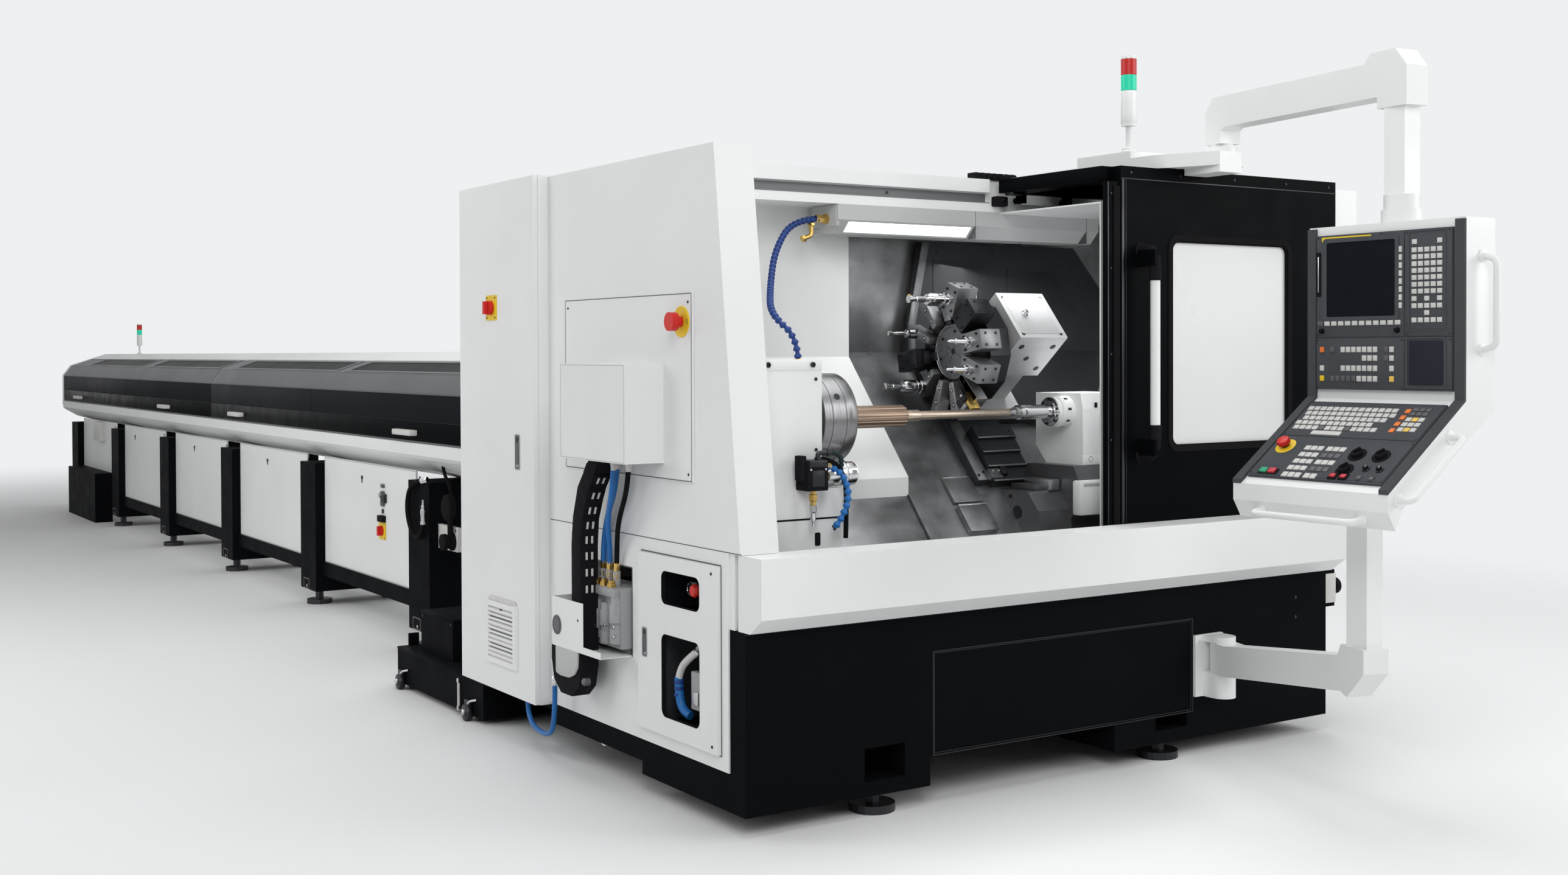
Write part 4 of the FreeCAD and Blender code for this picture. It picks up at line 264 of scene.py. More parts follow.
CAD_LOOKS = {
    "white": ["front_sill", "end_wall", "service_door", "access_panel", "cover_box",
              "rear_enclosure", "right_enclosure", "bed_cover", "headstock", "tailstock_head",
              "roof_plinth", "signal_towers", "swing_arms", "arm_bracket", "pendant_housing",
              "cabinet_shell", "cabinet_door", "service_tray", "magazine_body",
              "magazine_skirts", "pendant_handles", "door_grip"],
    "grey_light": ["lamp_housing"],
    "black": ["base_frame", "base_front_cover", "magazine_frame", "coolant_tank"],
    "black_door": ["door_shell"],
    "lid_grey": ["magazine_lid_1", "magazine_lid_2"],
    "panel_grey": ["screen_unit", "key_panel"],
    "bumper": ["pendant_bumpers"],
    "way": ["way_cover"],
    "dark_sheet": ["saddle"],
    "steel": ["chuck_body", "chuck_jaw_1", "chuck_jaw_2", "chuck_jaw_3", "live_centre"],
    "housing_steel": ["turret_housing"],
    "gunmetal": ["turret_disc", "levelling_feet"],
    "black_plastic": ["drag_chain"],
    "valve_grey": ["valve_block"],
    "casting": ["tailstock_base", "tool_holders", "slant_bed"],
    "chrome": ["quill"],
    "bronze": ["work_bar"],
    "brass": ["cutting_tool"],
    "red": ["wall_stop", "pendant_stop", "main_switch", "magazine_switch"],
    "blue": ["service_hoses"],
    "dark_blue": ["coolant_hoses"],
    "pane": ["door_pane"],
    "lens": ["lamp_lens"],
    "lamp_red": ["signal_lenses"],
}


def dress(name, material):
    """Gives a CAD node one material."""
    slots = NODES[name].data.materials
    slots.clear()
    slots.append(M[material])


def tint(name, material, chosen):
    """Gives the faces of a CAD node that pass a test on their machine coordinates a second material."""
    thing = NODES[name]
    thing.data.materials.append(M[material])
    number = len(thing.data.materials) - 1
    for face in thing.data.polygons:
        if chosen(thing.matrix_world @ face.center - SHIFT):
            face.material_index = number


for look_name, node_names in CAD_LOOKS.items():
    for node_name in node_names:
        dress(node_name, look_name)
# the stop button's disc stands off the access panel, the switch's plate off the top of the cabinet door
PANEL_FACE_X, CABINET_FACE_X, SWITCH_ABOVE_Z = -0.0145, -0.0703, 1.6
tint("access_panel", "yellow", lambda at: at.x < PANEL_FACE_X)
tint("cabinet_door", "yellow", lambda at: at.x < CABINET_FACE_X and at.z > SWITCH_ABOVE_Z)

# ---------------------------------------------------------------- shaping helpers
LEFT, RIGHT, FRONT, UP, DOWN = (-1, 0, 0), (1, 0, 0), (0, -1, 0), (0, 0, 1), (0, 0, -1)
# a radius below this is a point on the axis of a turned piece
ON_AXIS = 1e-6
# a pipe's bend takes at most this share of a leg, and this many short pieces
BEND_SHARE, BEND_STEPS = 0.45, 6


def spot(x, y, z):
    """A point of the machine in the row frame."""
    return Vector((x, y, z)) + SHIFT


def facing(at, direction):
    """A frame at a point whose Z axis looks along a direction."""
    return Matrix.Translation(at) @ Vector(direction).to_track_quat("Z", "Y").to_matrix().to_4x4()


def seat(x, y, z, direction):
    """A frame at a point of the machine whose Z axis looks along a direction."""
    return facing(spot(x, y, z), direction)


def axes(at, across, up):
    """A frame at a point from its X and Y directions."""
    x = Vector(across).normalized()
    z = x.cross(Vector(up)).normalized()
    y = z.cross(x)
    return Matrix((
        (x.x, y.x, z.x, at[0]),
        (x.y, y.y, z.y, at[1]),
        (x.z, y.z, z.z, at[2]),
        (0, 0, 0, 1)))


def front_plane(x, y, z):
    """A frame on an upright face that looks to the front: X to the right, Y up."""
    return axes(spot(x, y, z), RIGHT, UP)


def shift(x, y, z):
    """A move inside a frame."""
    return Matrix.Translation((x, y, z))


def turn(degrees, axis="Z"):
    """A turn inside a frame."""
    return Matrix.Rotation(math.radians(degrees), 4, axis)


class Kit:
    """Collects shaped pieces of several materials in one object that rides on a body."""

    def __init__(self, name, body):
        self.name = name
        self.body = body
        self.shape = bmesh.new()
        self.looks = []

    def take(self, part, matrix, look):
        """Adds one finished piece in a material."""
        if look not in self.looks:
            self.looks.append(look)
        number = self.looks.index(look)
        for face in part.faces:
            face.material_index = number
            face.smooth = True
        part.transform(matrix)
        mesh = bpy.data.meshes.new("part")
        part.to_mesh(mesh)
        part.free()
        self.shape.from_mesh(mesh)
        bpy.data.meshes.remove(mesh)

    def block(self, centre, size, look, edge, frame=None, steps=2):
        """A block with rounded edges about a centre, in the row frame or in a given frame."""
        part = bmesh.new()
        bmesh.ops.create_cube(part, size=1.0)
        bmesh.ops.scale(part, vec=size, verts=part.verts)
        if edge:
            bmesh.ops.bevel(part, geom=part.edges[:], offset=min(edge, 0.49 * min(size)),
                            segments=steps, profile=0.5, affect="EDGES")
        matrix = Matrix.Translation(centre)
        self.take(part, frame @ matrix if frame else matrix, look)

    def span(self, low, high, look, edge, steps=2):
        """A block between two corners in machine coordinates."""
        low, high = Vector(low), Vector(high)
        self.block((low + high) / 2 + SHIFT, high - low, look, edge, steps=steps)

    def turned(self, frame, profile, look, sides=24):
        """A turned piece from pairs of radius and height along the frame's Z axis."""
        part = bmesh.new()
        rings = []
        for radius, height in profile:
            if radius < ON_AXIS:
                rings.append([part.verts.new((0, 0, height))])
                continue
            rings.append([part.verts.new((radius * math.cos(2 * math.pi * i / sides),
                                          radius * math.sin(2 * math.pi * i / sides), height))
                          for i in range(sides)])
        for lower, upper in zip(rings, rings[1:]):
            for i in range(sides):
                j = (i + 1) % sides
                corners = [lower[i % len(lower)], lower[j % len(lower)],
                           upper[j % len(upper)], upper[i % len(upper)]]
                corners = list(dict.fromkeys(corners))
                if len(corners) > 2:
                    part.faces.new(corners)
        bmesh.ops.recalc_face_normals(part, faces=part.faces[:])
        self.take(part, frame, look)

    def button(self, frame, radius, height, look, edge=0.0012, sides=20):
        """A round cap with a softened rim."""
        self.turned(frame, [(0, 0), (radius, 0), (radius, height - edge),
                            (radius - edge * 0.3, height - edge * 0.3), (radius - edge, height),
                            (0, height)], look, sides)

    def ring(self, frame, outer, inner, height, look, sides):
        """A flat ring with a small chamfer."""
        cut = min(0.001, height * 0.3)
        self.turned(frame, [(inner, 0), (outer, 0), (outer, height - cut), (outer - cut, height),
                            (inner + cut, height), (inner, height - cut), (inner, 0)], look, sides)

    def bolt(self, frame, radius, look, height=None):
        """A socket head screw with its hexagonal recess."""
        tall = height or radius * 0.9
        self.turned(frame, [(radius, 0), (radius, tall * 0.85), (radius * 0.9, tall),
                            (radius * 0.52, tall), (radius * 0.5, tall * 0.4), (0, tall * 0.4)],
                    look, 12)

    def plate(self, frame, outline, thick, look, edge):
        """A flat piece cut to an outline in the frame's XY plane, raised along Z."""
        part = bmesh.new()
        low = [part.verts.new((x, y, 0)) for x, y in outline]
        high = [part.verts.new((x, y, thick)) for x, y in outline]
        part.faces.new(low[::-1])
        part.faces.new(high)
        for i in range(len(low)):
            j = (i + 1) % len(low)
            part.faces.new((low[i], low[j], high[j], high[i]))
        bmesh.ops.recalc_face_normals(part, faces=part.faces[:])
        if edge:
            bmesh.ops.bevel(part, geom=part.edges[:], offset=edge, segments=2, profile=0.5,
                            affect="EDGES", clamp_overlap=True)
        bmesh.ops.triangulate(part, faces=[face for face in part.faces if len(face.verts) > 4])
        self.take(part, frame, look)

    def frame_ring(self, frame, outer, inner, thick, look):
        """A flat rim between two rounded rectangles, each given as the values for `rounded`."""
        part = bmesh.new()
        outer, inner = rounded(*outer), rounded(*inner)
        loops = [[part.verts.new((x, y, z)) for x, y in line]
                 for line, z in ((outer, 0), (outer, thick), (inner, thick), (inner, 0))]
        for one, two in zip(loops, loops[1:] + loops[:1]):
            for i in range(len(one)):
                j = (i + 1) % len(one)
                part.faces.new((one[i], one[j], two[j], two[i]))
        bmesh.ops.recalc_face_normals(part, faces=part.faces[:])
        self.take(part, frame, look)

    def pipe(self, points, radius, look, corner, sides=14):
        """A rigid bent tube through points in the row frame, with round corners."""
        line = [Vector(points[0])]
        for before, here, after in zip(points, points[1:], points[2:]):
            here = Vector(here)
            back, ahead = Vector(before) - here, Vector(after) - here
            reach = min(corner, back.length * BEND_SHARE, ahead.length * BEND_SHARE)
            start = here + back.normalized() * reach
            end = here + ahead.normalized() * reach
            for t in (k / BEND_STEPS for k in range(BEND_STEPS + 1)):
                line.append(start * (1 - t) ** 2 + here * 2 * t * (1 - t) + end * t ** 2)
        line.append(Vector(points[-1]))
        part = bmesh.new()
        side = (line[1] - line[0]).orthogonal().normalized()
        rings = []
        for i, point in enumerate(line):
            way = (line[min(i + 1, len(line) - 1)] - line[max(i - 1, 0)]).normalized()
            side = (side - way * side.dot(way)).normalized()
            other = way.cross(side)
            rings.append([part.verts.new(point + (side * math.cos(a) + other * math.sin(a)) * radius)
                          for a in (2 * math.pi * k / sides for k in range(sides))])
        for one, two in zip(rings, rings[1:]):
            for k in range(sides):
                part.faces.new((one[k], one[(k + 1) % sides], two[(k + 1) % sides], two[k]))
        part.faces.new(rings[0][::-1])
        part.faces.new(rings[-1])
        bmesh.ops.recalc_face_normals(part, faces=part.faces[:])
        self.take(part, Matrix.Identity(4), look)

    def done(self, crease=38):
        """The finished object, riding on its body."""
        mesh = bpy.data.meshes.new(self.name)
        self.shape.to_mesh(mesh)
        self.shape.free()
        mesh.set_sharp_from_angle(angle=math.radians(crease))
        thing = bpy.data.objects.new(self.name, mesh)
        for look in self.looks:
            mesh.materials.append(M[look])
        bpy.context.scene.collection.objects.link(thing)
        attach(thing, self.body)
        return thing


def rounded(width, height, radius, steps=4):
    """The outline of a rectangle with round corners about its middle."""
    corners = []
    for k, (sx, sy) in enumerate(((1, 1), (-1, 1), (-1, -1), (1, -1))):
        cx, cy = sx * (width / 2 - radius), sy * (height / 2 - radius)
        for i in range(steps + 1):
            angle = math.pi / 2 * (k + i / steps)
            corners.append((cx + radius * math.cos(angle), cy + radius * math.sin(angle)))
    return corners

# ---------------------------------------------------------------- pendant
# the swivel axis, the upright face in front of it, and how far sheets, screws and keys stand off it
AXIS_X, AXIS_Y = 1.9601, -0.9745
FACE_X = AXIS_X - 0.102
SHEET_OUT, SCREW_OUT, KEY_OUT = 0.0022, 0.0024, 0.0055
SCREW_R, SCREW_TALL = 0.0028, 0.0018
# sheets of the face: middle sideways and up, width and height
FACE_SHEETS = ((0.08825, 1.767, 0.3475, 0.343), (-0.1755, 1.767, 0.173, 0.343),
               (0.088, 1.506, 0.348, 0.172), (-0.1755, 1.506, 0.173, 0.172))
# screws of the face, sideways and up
FACE_SCREWS = ((-0.097, 1.932), (-0.2545, 1.932), (-0.097, 1.603), (-0.2545, 1.603), (0.2545, 1.932),
               (0.2545, 1.603), (0.0, 1.9335), (0.257, 1.585), (-0.079, 1.585), (0.257, 1.4255),
               (-0.079, 1.4255), (-0.0935, 1.585), (-0.2565, 1.585), (-0.0935, 1.4255),
               (-0.2565, 1.4255))
# single keys above and below the keypad's full rows, then the heights of two more full rows
PAD_SINGLES = ((-0.126, 1.9), (-0.219, 1.9), (-0.172, 1.717), (-0.219, 1.717), (-0.125, 1.717),
               (-0.172, 1.671))
PAD_LOWER_ROWS = (1.694, 1.648)
# the machine keys under the screen: height of each row and the look of each key in it
KEY_ROWS = {1.554: "o.d.kkkkkkk.dk", 1.5255: "........kkk.dk", 1.4915: "k...kkkkkkk..k",
            1.457: "y.dddddkkkk..a"}
KEY_LOOKS = {"o": "orange", "d": "key_dark", "k": "key", "y": "yellow", "a": "amber"}


def on_face(side, z, out):
    """A point on the screen unit's face, from the swivel axis sideways and up from the floor."""
    return spot(FACE_X - out, AXIS_Y + side, z)


def face_plane(side, z, out=SHEET_OUT):
    """A frame on the screen unit's face: X to the right, Y up."""
    return axes(on_face(side, z, out), FRONT, UP)


def key_up(kit, side, z, wide, high, look):
    """A key on the upright face."""
    kit.block(on_face(side, z, KEY_OUT / 2), (KEY_OUT, wide, high), look, 0.0009)


def pendant_face():
    """Screen, soft keys, keypad, card slot and knobs on the pendant's upright face."""
    kit = Kit("pendant_face", "pendant")
    for side, z, wide, high in FACE_SHEETS:
        kit.block(on_face(side, z, 0.0012), (0.0026, wide, high), "panel_grey", 0.001)
    screen = face_plane(0.083, 1.789)
    kit.frame_ring(screen, (0.302, 0.279, 0.012), (0.272, 0.250, 0.006), 0.0035, "panel_grey")
    kit.plate(screen, rounded(0.272, 0.250, 0.006), 0.0012, "screen", 0)
    for i in range(8):
        key_up(kit, -0.072, 1.879 - i * 0.026, 0.013, 0.019, "key")
    for i in range(12):
        key_up(kit, 0.245 - i * 0.028, 1.642, 0.021, 0.015, "key" if i else "key_dark")
    kit.block(on_face(0.251, 1.809, 0.004), (0.006, 0.016, 0.150), "black_plastic", 0.002)
    kit.block(on_face(0.251, 1.809, 0.0072), (0.001, 0.004, 0.120), "bright", 0.0004)
    kit.plate(face_plane(0.140, 1.926, 0.0025), rounded(0.198, 0.0155, 0.002), 0.0008, "yellow", 0)
    for side in (0.238, -0.062):
        kit.turned(facing(on_face(side, 1.6165, 0.002), LEFT),
                   [(0, 0), (0.0095, 0), (0.0095, 0.002), (0.0075, 0.003), (0.0068, 0.013),
                    (0.0055, 0.014), (0, 0.014)], "black_plastic")
    kit.frame_ring(face_plane(-0.173, 1.775), (0.140, 0.322, 0.006), (0.132, 0.314, 0.003), 0.0022,
                   "panel_grey")
    columns = [-0.125 - column * 0.0235 for column in range(5)]
    places = [(side, 1.8735 - row * 0.0222) for row in range(7) for side in columns]
    places += PAD_SINGLES
    places += [(side, z) for z in PAD_LOWER_ROWS for side in columns]
    for side, z in places:
        key_up(kit, side, z, 0.0175, 0.0155, "key")
    for z, line in KEY_ROWS.items():
        for i, mark in enumerate(line):
            if mark in KEY_LOOKS:
                key_up(kit, 0.238 - i * 0.0214, z, 0.0165, 0.0185, KEY_LOOKS[mark])
    pad = face_plane(-0.1685, 1.511)
    kit.frame_ring(pad, (0.150, 0.166, 0.008), (0.138, 0.154, 0.006), 0.003, "panel_grey")
    kit.plate(pad, rounded(0.126, 0.142, 0.005), 0.0026, "touch", 0.0008)
    for side, z in FACE_SCREWS:
        kit.bolt(facing(on_face(side, z, SCREW_OUT), LEFT), SCREW_R, "gunmetal", SCREW_TALL)
    kit.done()


# the sloping panel: how tall its keys are, its directions down and outwards, its top edge's middle
SLOPE_KEY_TALL = 0.005
SLOPE_DOWN = Vector((-0.38, 0, -0.275)).normalized()
SLOPE_OUT = Vector((-0.275, 0, 0.38)).normalized()
SLOPE_TOP = Vector((AXIS_X - 0.09, AXIS_Y, 1.39)) + SHIFT + SLOPE_OUT * 0.0101


def on_slope(side, down, out=0.0):
    """A frame on the sloping key panel: X sideways to the right, Y down the slope turned up."""
    at = SLOPE_TOP + Vector((0, side, 0)) + SLOPE_DOWN * down + SLOPE_OUT * out
    return axes(at, FRONT, -SLOPE_DOWN)


def key_slope(kit, side, down, wide, high, look):
    """A key on the sloping panel."""
    kit.block((0, 0, SLOPE_KEY_TALL / 2), (wide, high, SLOPE_KEY_TALL), look, 0.001, on_slope(side, down))


def pendant_slope():
    """Keyboard and operator panel on the pendant's sloping face."""
    kit = Kit("pendant_slope", "pendant")
    for low, high in ((0.036, 0.222), (0.229, 0.428)):
        kit.plate(on_slope(0, (low + high) / 2), rounded(0.518, high - low, 0.004), 0.0018,
                  "panel_grey", 0.0006)
    for row, count in enumerate((14, 14, 13, 12, 13)):
        for i in range(count):
            look = "key_dark" if row == 4 and i in (4, 8) else "key"
            key_slope(kit, 0.238 - (i + 0.25 * (row % 3)) * 0.0256, 0.076 + row * 0.0258,
                      0.0205, 0.0195, look)
    kit.block((0, 0, 0.0028), (0.116, 0.0195, 0.0055), "key", 0.001, on_slope(0.093, 0.2055))
    for i in range(4):
        key_slope(kit, -0.143, 0.076 + i * 0.0335, 0.018, 0.0195, "orange")
    for i in range(3):
        for j in range(2):
            key_slope(kit, -0.168 - i * 0.0228, 0.066 + j * 0.0228, 0.019, 0.018, "key_dark")
    for i in range(3):
        for j in range(3):
            look = "amber" if i == 1 and j != 1 else "key"
            key_slope(kit, -0.170 - i * 0.0235, 0.118 + j * 0.0262, 0.0195, 0.0185, look)
    for row in range(5):
        down = 0.285 + row * 0.0344
        for i in range(3):
            key_slope(kit, 0.113 - i * 0.0255, down, 0.0215, 0.021, "key")
        for i in range(3 if row < 4 else 2):
            key_slope(kit, 0.026 - i * 0.0255, down, 0.0215, 0.021, "key" if row % 2 == 0 else "key_dark")
    disc = on_slope(0.206, 0.282)
    kit.turned(disc, [(0, 0.0012), (0.036, 0.0012), (0.036, 0.003), (0.034, 0.004), (0, 0.004)],
               "yellow", 40)
    kit.turned(disc, [(0.0122, 0.004), (0.0122, 0.0108), (0, 0.0108)], "gunmetal", 28)
    for side, down in ((-0.094, 0.306), (-0.183, 0.306), (-0.094, 0.383)):
        dial = on_slope(side, down, 0.0018)
        kit.turned(dial, [(0, 0), (0.031, 0), (0.031, 0.0016), (0, 0.0016)], "black_plastic", 36)
        for k in range(12):
            tick = math.radians(-130 + k * 260 / 11)
            kit.block((0.027 * math.sin(tick), 0.027 * math.cos(tick), 0.0018),
                      (0.0016, 0.0016, 0.0008), "key", 0)
        kit.turned(dial, [(0.019, 0), (0.0185, 0.012), (0.016, 0.0145), (0, 0.0145)],
                   "black_plastic", 28)
        kit.block((0, 0.006, 0.0185), (0.0055, 0.026, 0.009), "black_plastic", 0.001, dial @ turn(-38))
    for side, down in ((-0.169, 0.4165), (-0.215, 0.4165)):
        kit.ring(on_slope(side, down), 0.0115, 0.0078, 0.004, "gunmetal", 24)
        kit.button(on_slope(side, down), 0.0078, 0.0065, "key_dark")
    for side, down in ((-0.218, 0.372), (-0.168, 0.372)):
        kit.ring(on_slope(side, down), 0.0135, 0.0095, 0.006, "gunmetal", 24)
        kit.button(on_slope(side, down), 0.0095, 0.012, "black_plastic")
        kit.block((0, 0.004, 0.0125), (0.0018, 0.008, 0.002), "key", 0.0002, on_slope(side, down))
    kit.plate(on_slope(0.187, 0.4135, 0.0016), rounded(0.078, 0.026, 0.004), 0.0022, "black_plastic", 0.0006)
    for side, look in ((0.204, "green_cap"), (0.170, "red_cap")):
        kit.block((0, 0, 0.007), (0.028, 0.021, 0.007), look, 0.0015, on_slope(side, 0.4135))
    for side in (-0.072, -0.112):
        kit.block((0, 0, 0.003), (0.032, 0.026, 0.005), "black_plastic", 0.001, on_slope(side, 0.4165))
        kit.block((0, 0, 0.007), (0.020, 0.015, 0.005), "red_cap", 0.001, on_slope(side, 0.4165))
    for side in (0.2535, -0.2535):
        for down in (0.043, 0.215, 0.236, 0.4215):
            kit.bolt(on_slope(side, down, 0.0016), SCREW_R, "gunmetal", SCREW_TALL)
    kit.done()


# the profile of a handle's foot, as radius and height, and the clear height of the side handles
FOOT = ((0, 0), (0.021, 0), (0.021, 0.004), (0.014, 0.007), (0, 0.007))
SMALL_FOOT = ((0, 0), (0.019, 0), (0.019, 0.004), (0.013, 0.007), (0, 0.007))
SIDE_LOW, SIDE_HIGH, SIDE_SLANT = 1.551, 1.849, 0.012


def tube_handle(kit, corners, way, bend):
    """A white tube through four corners, with feet at its ends that look along a direction."""
    kit.pipe([spot(*corner) for corner in corners], 0.011, "white", bend)
    for end in (corners[0], corners[-1]):
        kit.turned(seat(*end, way), FOOT, "white", 24)


def pendant_bars():
    """White tube handles round the pendant in place of the plain bars."""
    kit = Kit("pendant_bars", "pendant")
    x, half, stand = AXIS_X - 0.007, 0.3025, 0.051
    for sign in (-1, 1):
        root, out = AXIS_Y + sign * half, AXIS_Y + sign * (half + stand)
        tube_handle(kit, ((x, root, SIDE_HIGH), (x, out, SIDE_HIGH - SIDE_SLANT),
                          (x, out, SIDE_LOW + SIDE_SLANT), (x, root, SIDE_LOW)), (0, sign, 0), 0.05)
    root, out = AXIS_Y - half, AXIS_Y - half - stand
    top_x, top_z, low_x, low_z = AXIS_X - 0.170, 1.279, AXIS_X - 0.4225, 1.096
    tube_handle(kit, ((top_x, root, top_z), (top_x, out, top_z), (low_x, out, low_z),
                      (low_x, root, low_z)), FRONT, 0.045)
    root, out = AXIS_X - 0.448, AXIS_X - 0.502
    half, high, low = 0.197, 1.031, 1.023
    kit.pipe([spot(root, AXIS_Y - half, high), spot(out, AXIS_Y - half, low),
              spot(out, AXIS_Y + half, low), spot(root, AXIS_Y + half, high)], 0.0108, "white", 0.03)
    for side in (-half, half):
        kit.turned(seat(root - 0.008, AXIS_Y + side, high, LEFT), SMALL_FOOT, "white", 24)
    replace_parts(kit.done(), "pendant_handles")


def pendant_stop_cap():
    """Mushroom head of the pendant's emergency stop with its collar."""
    kit = Kit("pendant_stop_cap", "pendant_stop")
    kit.turned(on_slope(0.206, 0.282),
               [(0, 0.018), (0.013, 0.018), (0.013, 0.011), (0.0145, 0.011), (0.0145, 0.013),
                (0.0212, 0.0148), (0.0226, 0.019), (0.0224, 0.0262), (0.0195, 0.0305),
                (0.012, 0.0325), (0, 0.033)], "red", 36)
    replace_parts(kit.done(), "pendant_stop")


pendant_face()
pendant_slope()
pendant_bars()
pendant_stop_cap()

# ---------------------------------------------------------------- turret and slide
# the spindle axis, the turret's axis, and the slant of the bed with its direction uphill
CENTRE_Y, CENTRE_Z = 0.39, 1.317
TURRET_AT = (0.5909, 1.5531)
SLANT = math.radians(49.6)
UPHILL = (0, math.cos(SLANT), math.sin(SLANT))
# distance of the stations' seats from the turret's axis, and planes of the saddle's shield
SEAT_R = 0.122
SHIELD_FRONT_Y, SHIELD_BACK_Y, COVER_OFF_BED = 0.9268, 0.9448, -0.2676


def on_axis(x, way):
    """A frame on the spindle axis."""
    return seat(x, CENTRE_Y, CENTRE_Z, way)


def station(i, radius, x=1.342):
    """A frame at a turret station: X outward, Z towards the chuck."""
    angle = SLANT + math.pi + math.radians(30 * i)
    c, s = math.cos(angle), math.sin(angle)
    return axes(spot(x, TURRET_AT[0] + radius * c, TURRET_AT[1] + radius * s), (0, c, s), (0, s, -c))


def on_bed(x, u, n):
    """A frame on the slant bed: X along the bed, Y uphill and Z off the bed."""
    y = CENTRE_Y + u * math.cos(SLANT) - n * math.sin(SLANT)
    z = CENTRE_Z + u * math.sin(SLANT) + n * math.cos(SLANT)
    return axes(spot(x, y, z), RIGHT, UPHILL)


def wedge(kit, frame, look, length=0.135, inner=0.013, outer=0.023, thick=0.05):
    """A radial wedge of a tool station with its two clamping screws."""
    kit.plate(frame, [(0, -inner), (length, -outer), (length, outer), (0, inner)], thick, look, 0.0015)
    for along in (0.032, 0.09):
        hole = frame @ shift(along, 0, thick)
        kit.turned(hole, [(0.0085, 0), (0.0085, 0.0008), (0.0078, 0.0012), (0, 0.0012)], "gunmetal", 20)
        kit.turned(hole, [(0.0055, 0.001), (0.0048, 0.0022), (0.0026, 0.0022), (0.0026, 0.0014),
                          (0, 0.0014)], "bright", 12)


def boring_bar(kit, frame, big):
    """A clamped sleeve and the bar that stands out of it towards the chuck."""
    r = 0.026 if big else 0.018
    reach = 0.095 if big else 0.05
    kit.turned(frame, [(r * 1.12, 0), (r * 1.12, 0.016), (r, 0.019), (r, 0.034), (r * 0.93, 0.036),
                       (r * 0.93, 0.044), (r, 0.046), (r, reach - 0.012), (r * 0.8, reach),
                       (r * 0.5, reach)], "chrome", 28)
    slim = r * 0.46
    kit.turned(frame, [(slim, reach - 0.002), (slim, reach + 0.05), (slim * 0.8, reach + 0.053),
                       (slim * 0.8, reach + 0.07), (slim * 1.25, reach + 0.074),
                       (slim * 1.25, reach + 0.088), (0, reach + 0.09)], "bright", 20)
    kit.block((slim * 0.9, 0, reach + 0.082), (slim * 1.4, slim * 0.9, 0.012), "brass", 0.0008, frame)


def tool_block(kit, frame, look, tool):
    """A stout holder with screws and a round tool looking at the chuck."""
    kit.block((0.068, 0, 0.046), (0.118, 0.076, 0.098), look, 0.003, frame)
    kit.block((0.02, 0, 0.030), (0.05, 0.055, 0.062), "gunmetal", 0.003, frame)
    for x, y in ((0.03, -0.025), (0.03, 0.025), (0.105, -0.025), (0.105, 0.025)):
        kit.bolt(frame @ shift(x, y, 0.0945), 0.0058, "gunmetal", 0.0045)
    for y in (-0.022, 0.022):
        for z in (0.02, 0.07):
            kit.bolt(frame @ shift(0.1265, y, z) @ turn(90, "Y"), 0.0058, "gunmetal", 0.002)
    if tool:
        kit.turned(frame @ shift(0.07, 0, 0.095),
                   [(0.021, 0), (0.021, 0.012), (0.0175, 0.014), (0.0175, 0.03), (0.013, 0.034),
                    (0.0115, 0.075), (0.0075, 0.079), (0.0065, 0.105), (0.003, 0.112), (0, 0.112)],
                   "chrome", 26)


def turret_tools():
    """Every station of the turret but the parting tool: wedges, seats, boring bars and blocks."""
    kit = Kit("turret_tools", "turret")
    for i in (0, 1, 2, 3, 5, 6):
        wedge(kit, station(i, SEAT_R), "steel" if i < 3 else "tool_steel")
    for i in (4, 7, 8, 9, 10, 11):
        kit.block((0.018, 0, 0.012), (0.07, 0.034, 0.03), "gunmetal", 0.002, station(i, SEAT_R))
    for i, radius, x, big in ((3, 0.212, 1.292, True), (5, 0.212, 1.292, False),
                              (7, 0.205, 1.315, True)):
        boring_bar(kit, station(i, radius, x), big)
    wedge(kit, station(7, SEAT_R), "steel", 0.06, 0.02, 0.03, 0.03)
    for i, radius, look, tool in ((4, 0.136, "gunmetal", False), (8, 0.142, "tool_steel", True),
                                  (9, 0.138, "gunmetal", False), (10, 0.134, "tool_steel", True),
                                  (11, 0.134, "tool_steel", True)):
        tool_block(kit, station(i, radius), look, tool)
    head = station(8, 0.23, 1.33)
    kit.turned(head, [(0.034, -0.02), (0.034, 0.05), (0.03, 0.054), (0.03, 0.062), (0.0, 0.064)],
               "chrome", 30)
    clamp = station(0, 0.20, 1.30)
    kit.block((0.03, -0.042, 0.012), (0.05, 0.04, 0.05), "gunmetal", 0.003, clamp)
    kit.block((0.055, -0.036, 0.016), (0.018, 0.05, 0.058), "steel", 0.002, clamp)
    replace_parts(kit.done(), "tool_holders")


def parting_tool():
    """The brass parting blade on its wedge."""
    kit = Kit("parting_tool", "turret")
    wedge(kit, station(0, SEAT_R), "steel", 0.128)
    blade = station(0, 0.208, 1.298)
    kit.plate(blade, [(0, -0.0088), (0.044, -0.0088), (0.076, -0.0045), (0.0815, -0.0045),
                      (0.0815, 0.0088), (0, 0.0088)], 0.042, "brass", 0.0012)
    kit.block((0.012, 0, 0.046), (0.05, 0.024, 0.012), "gunmetal", 0.002, blade)
    kit.bolt(blade @ shift(0.014, 0, 0.052), 0.0055, "bright")
    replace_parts(kit.done(), "cutting_tool")


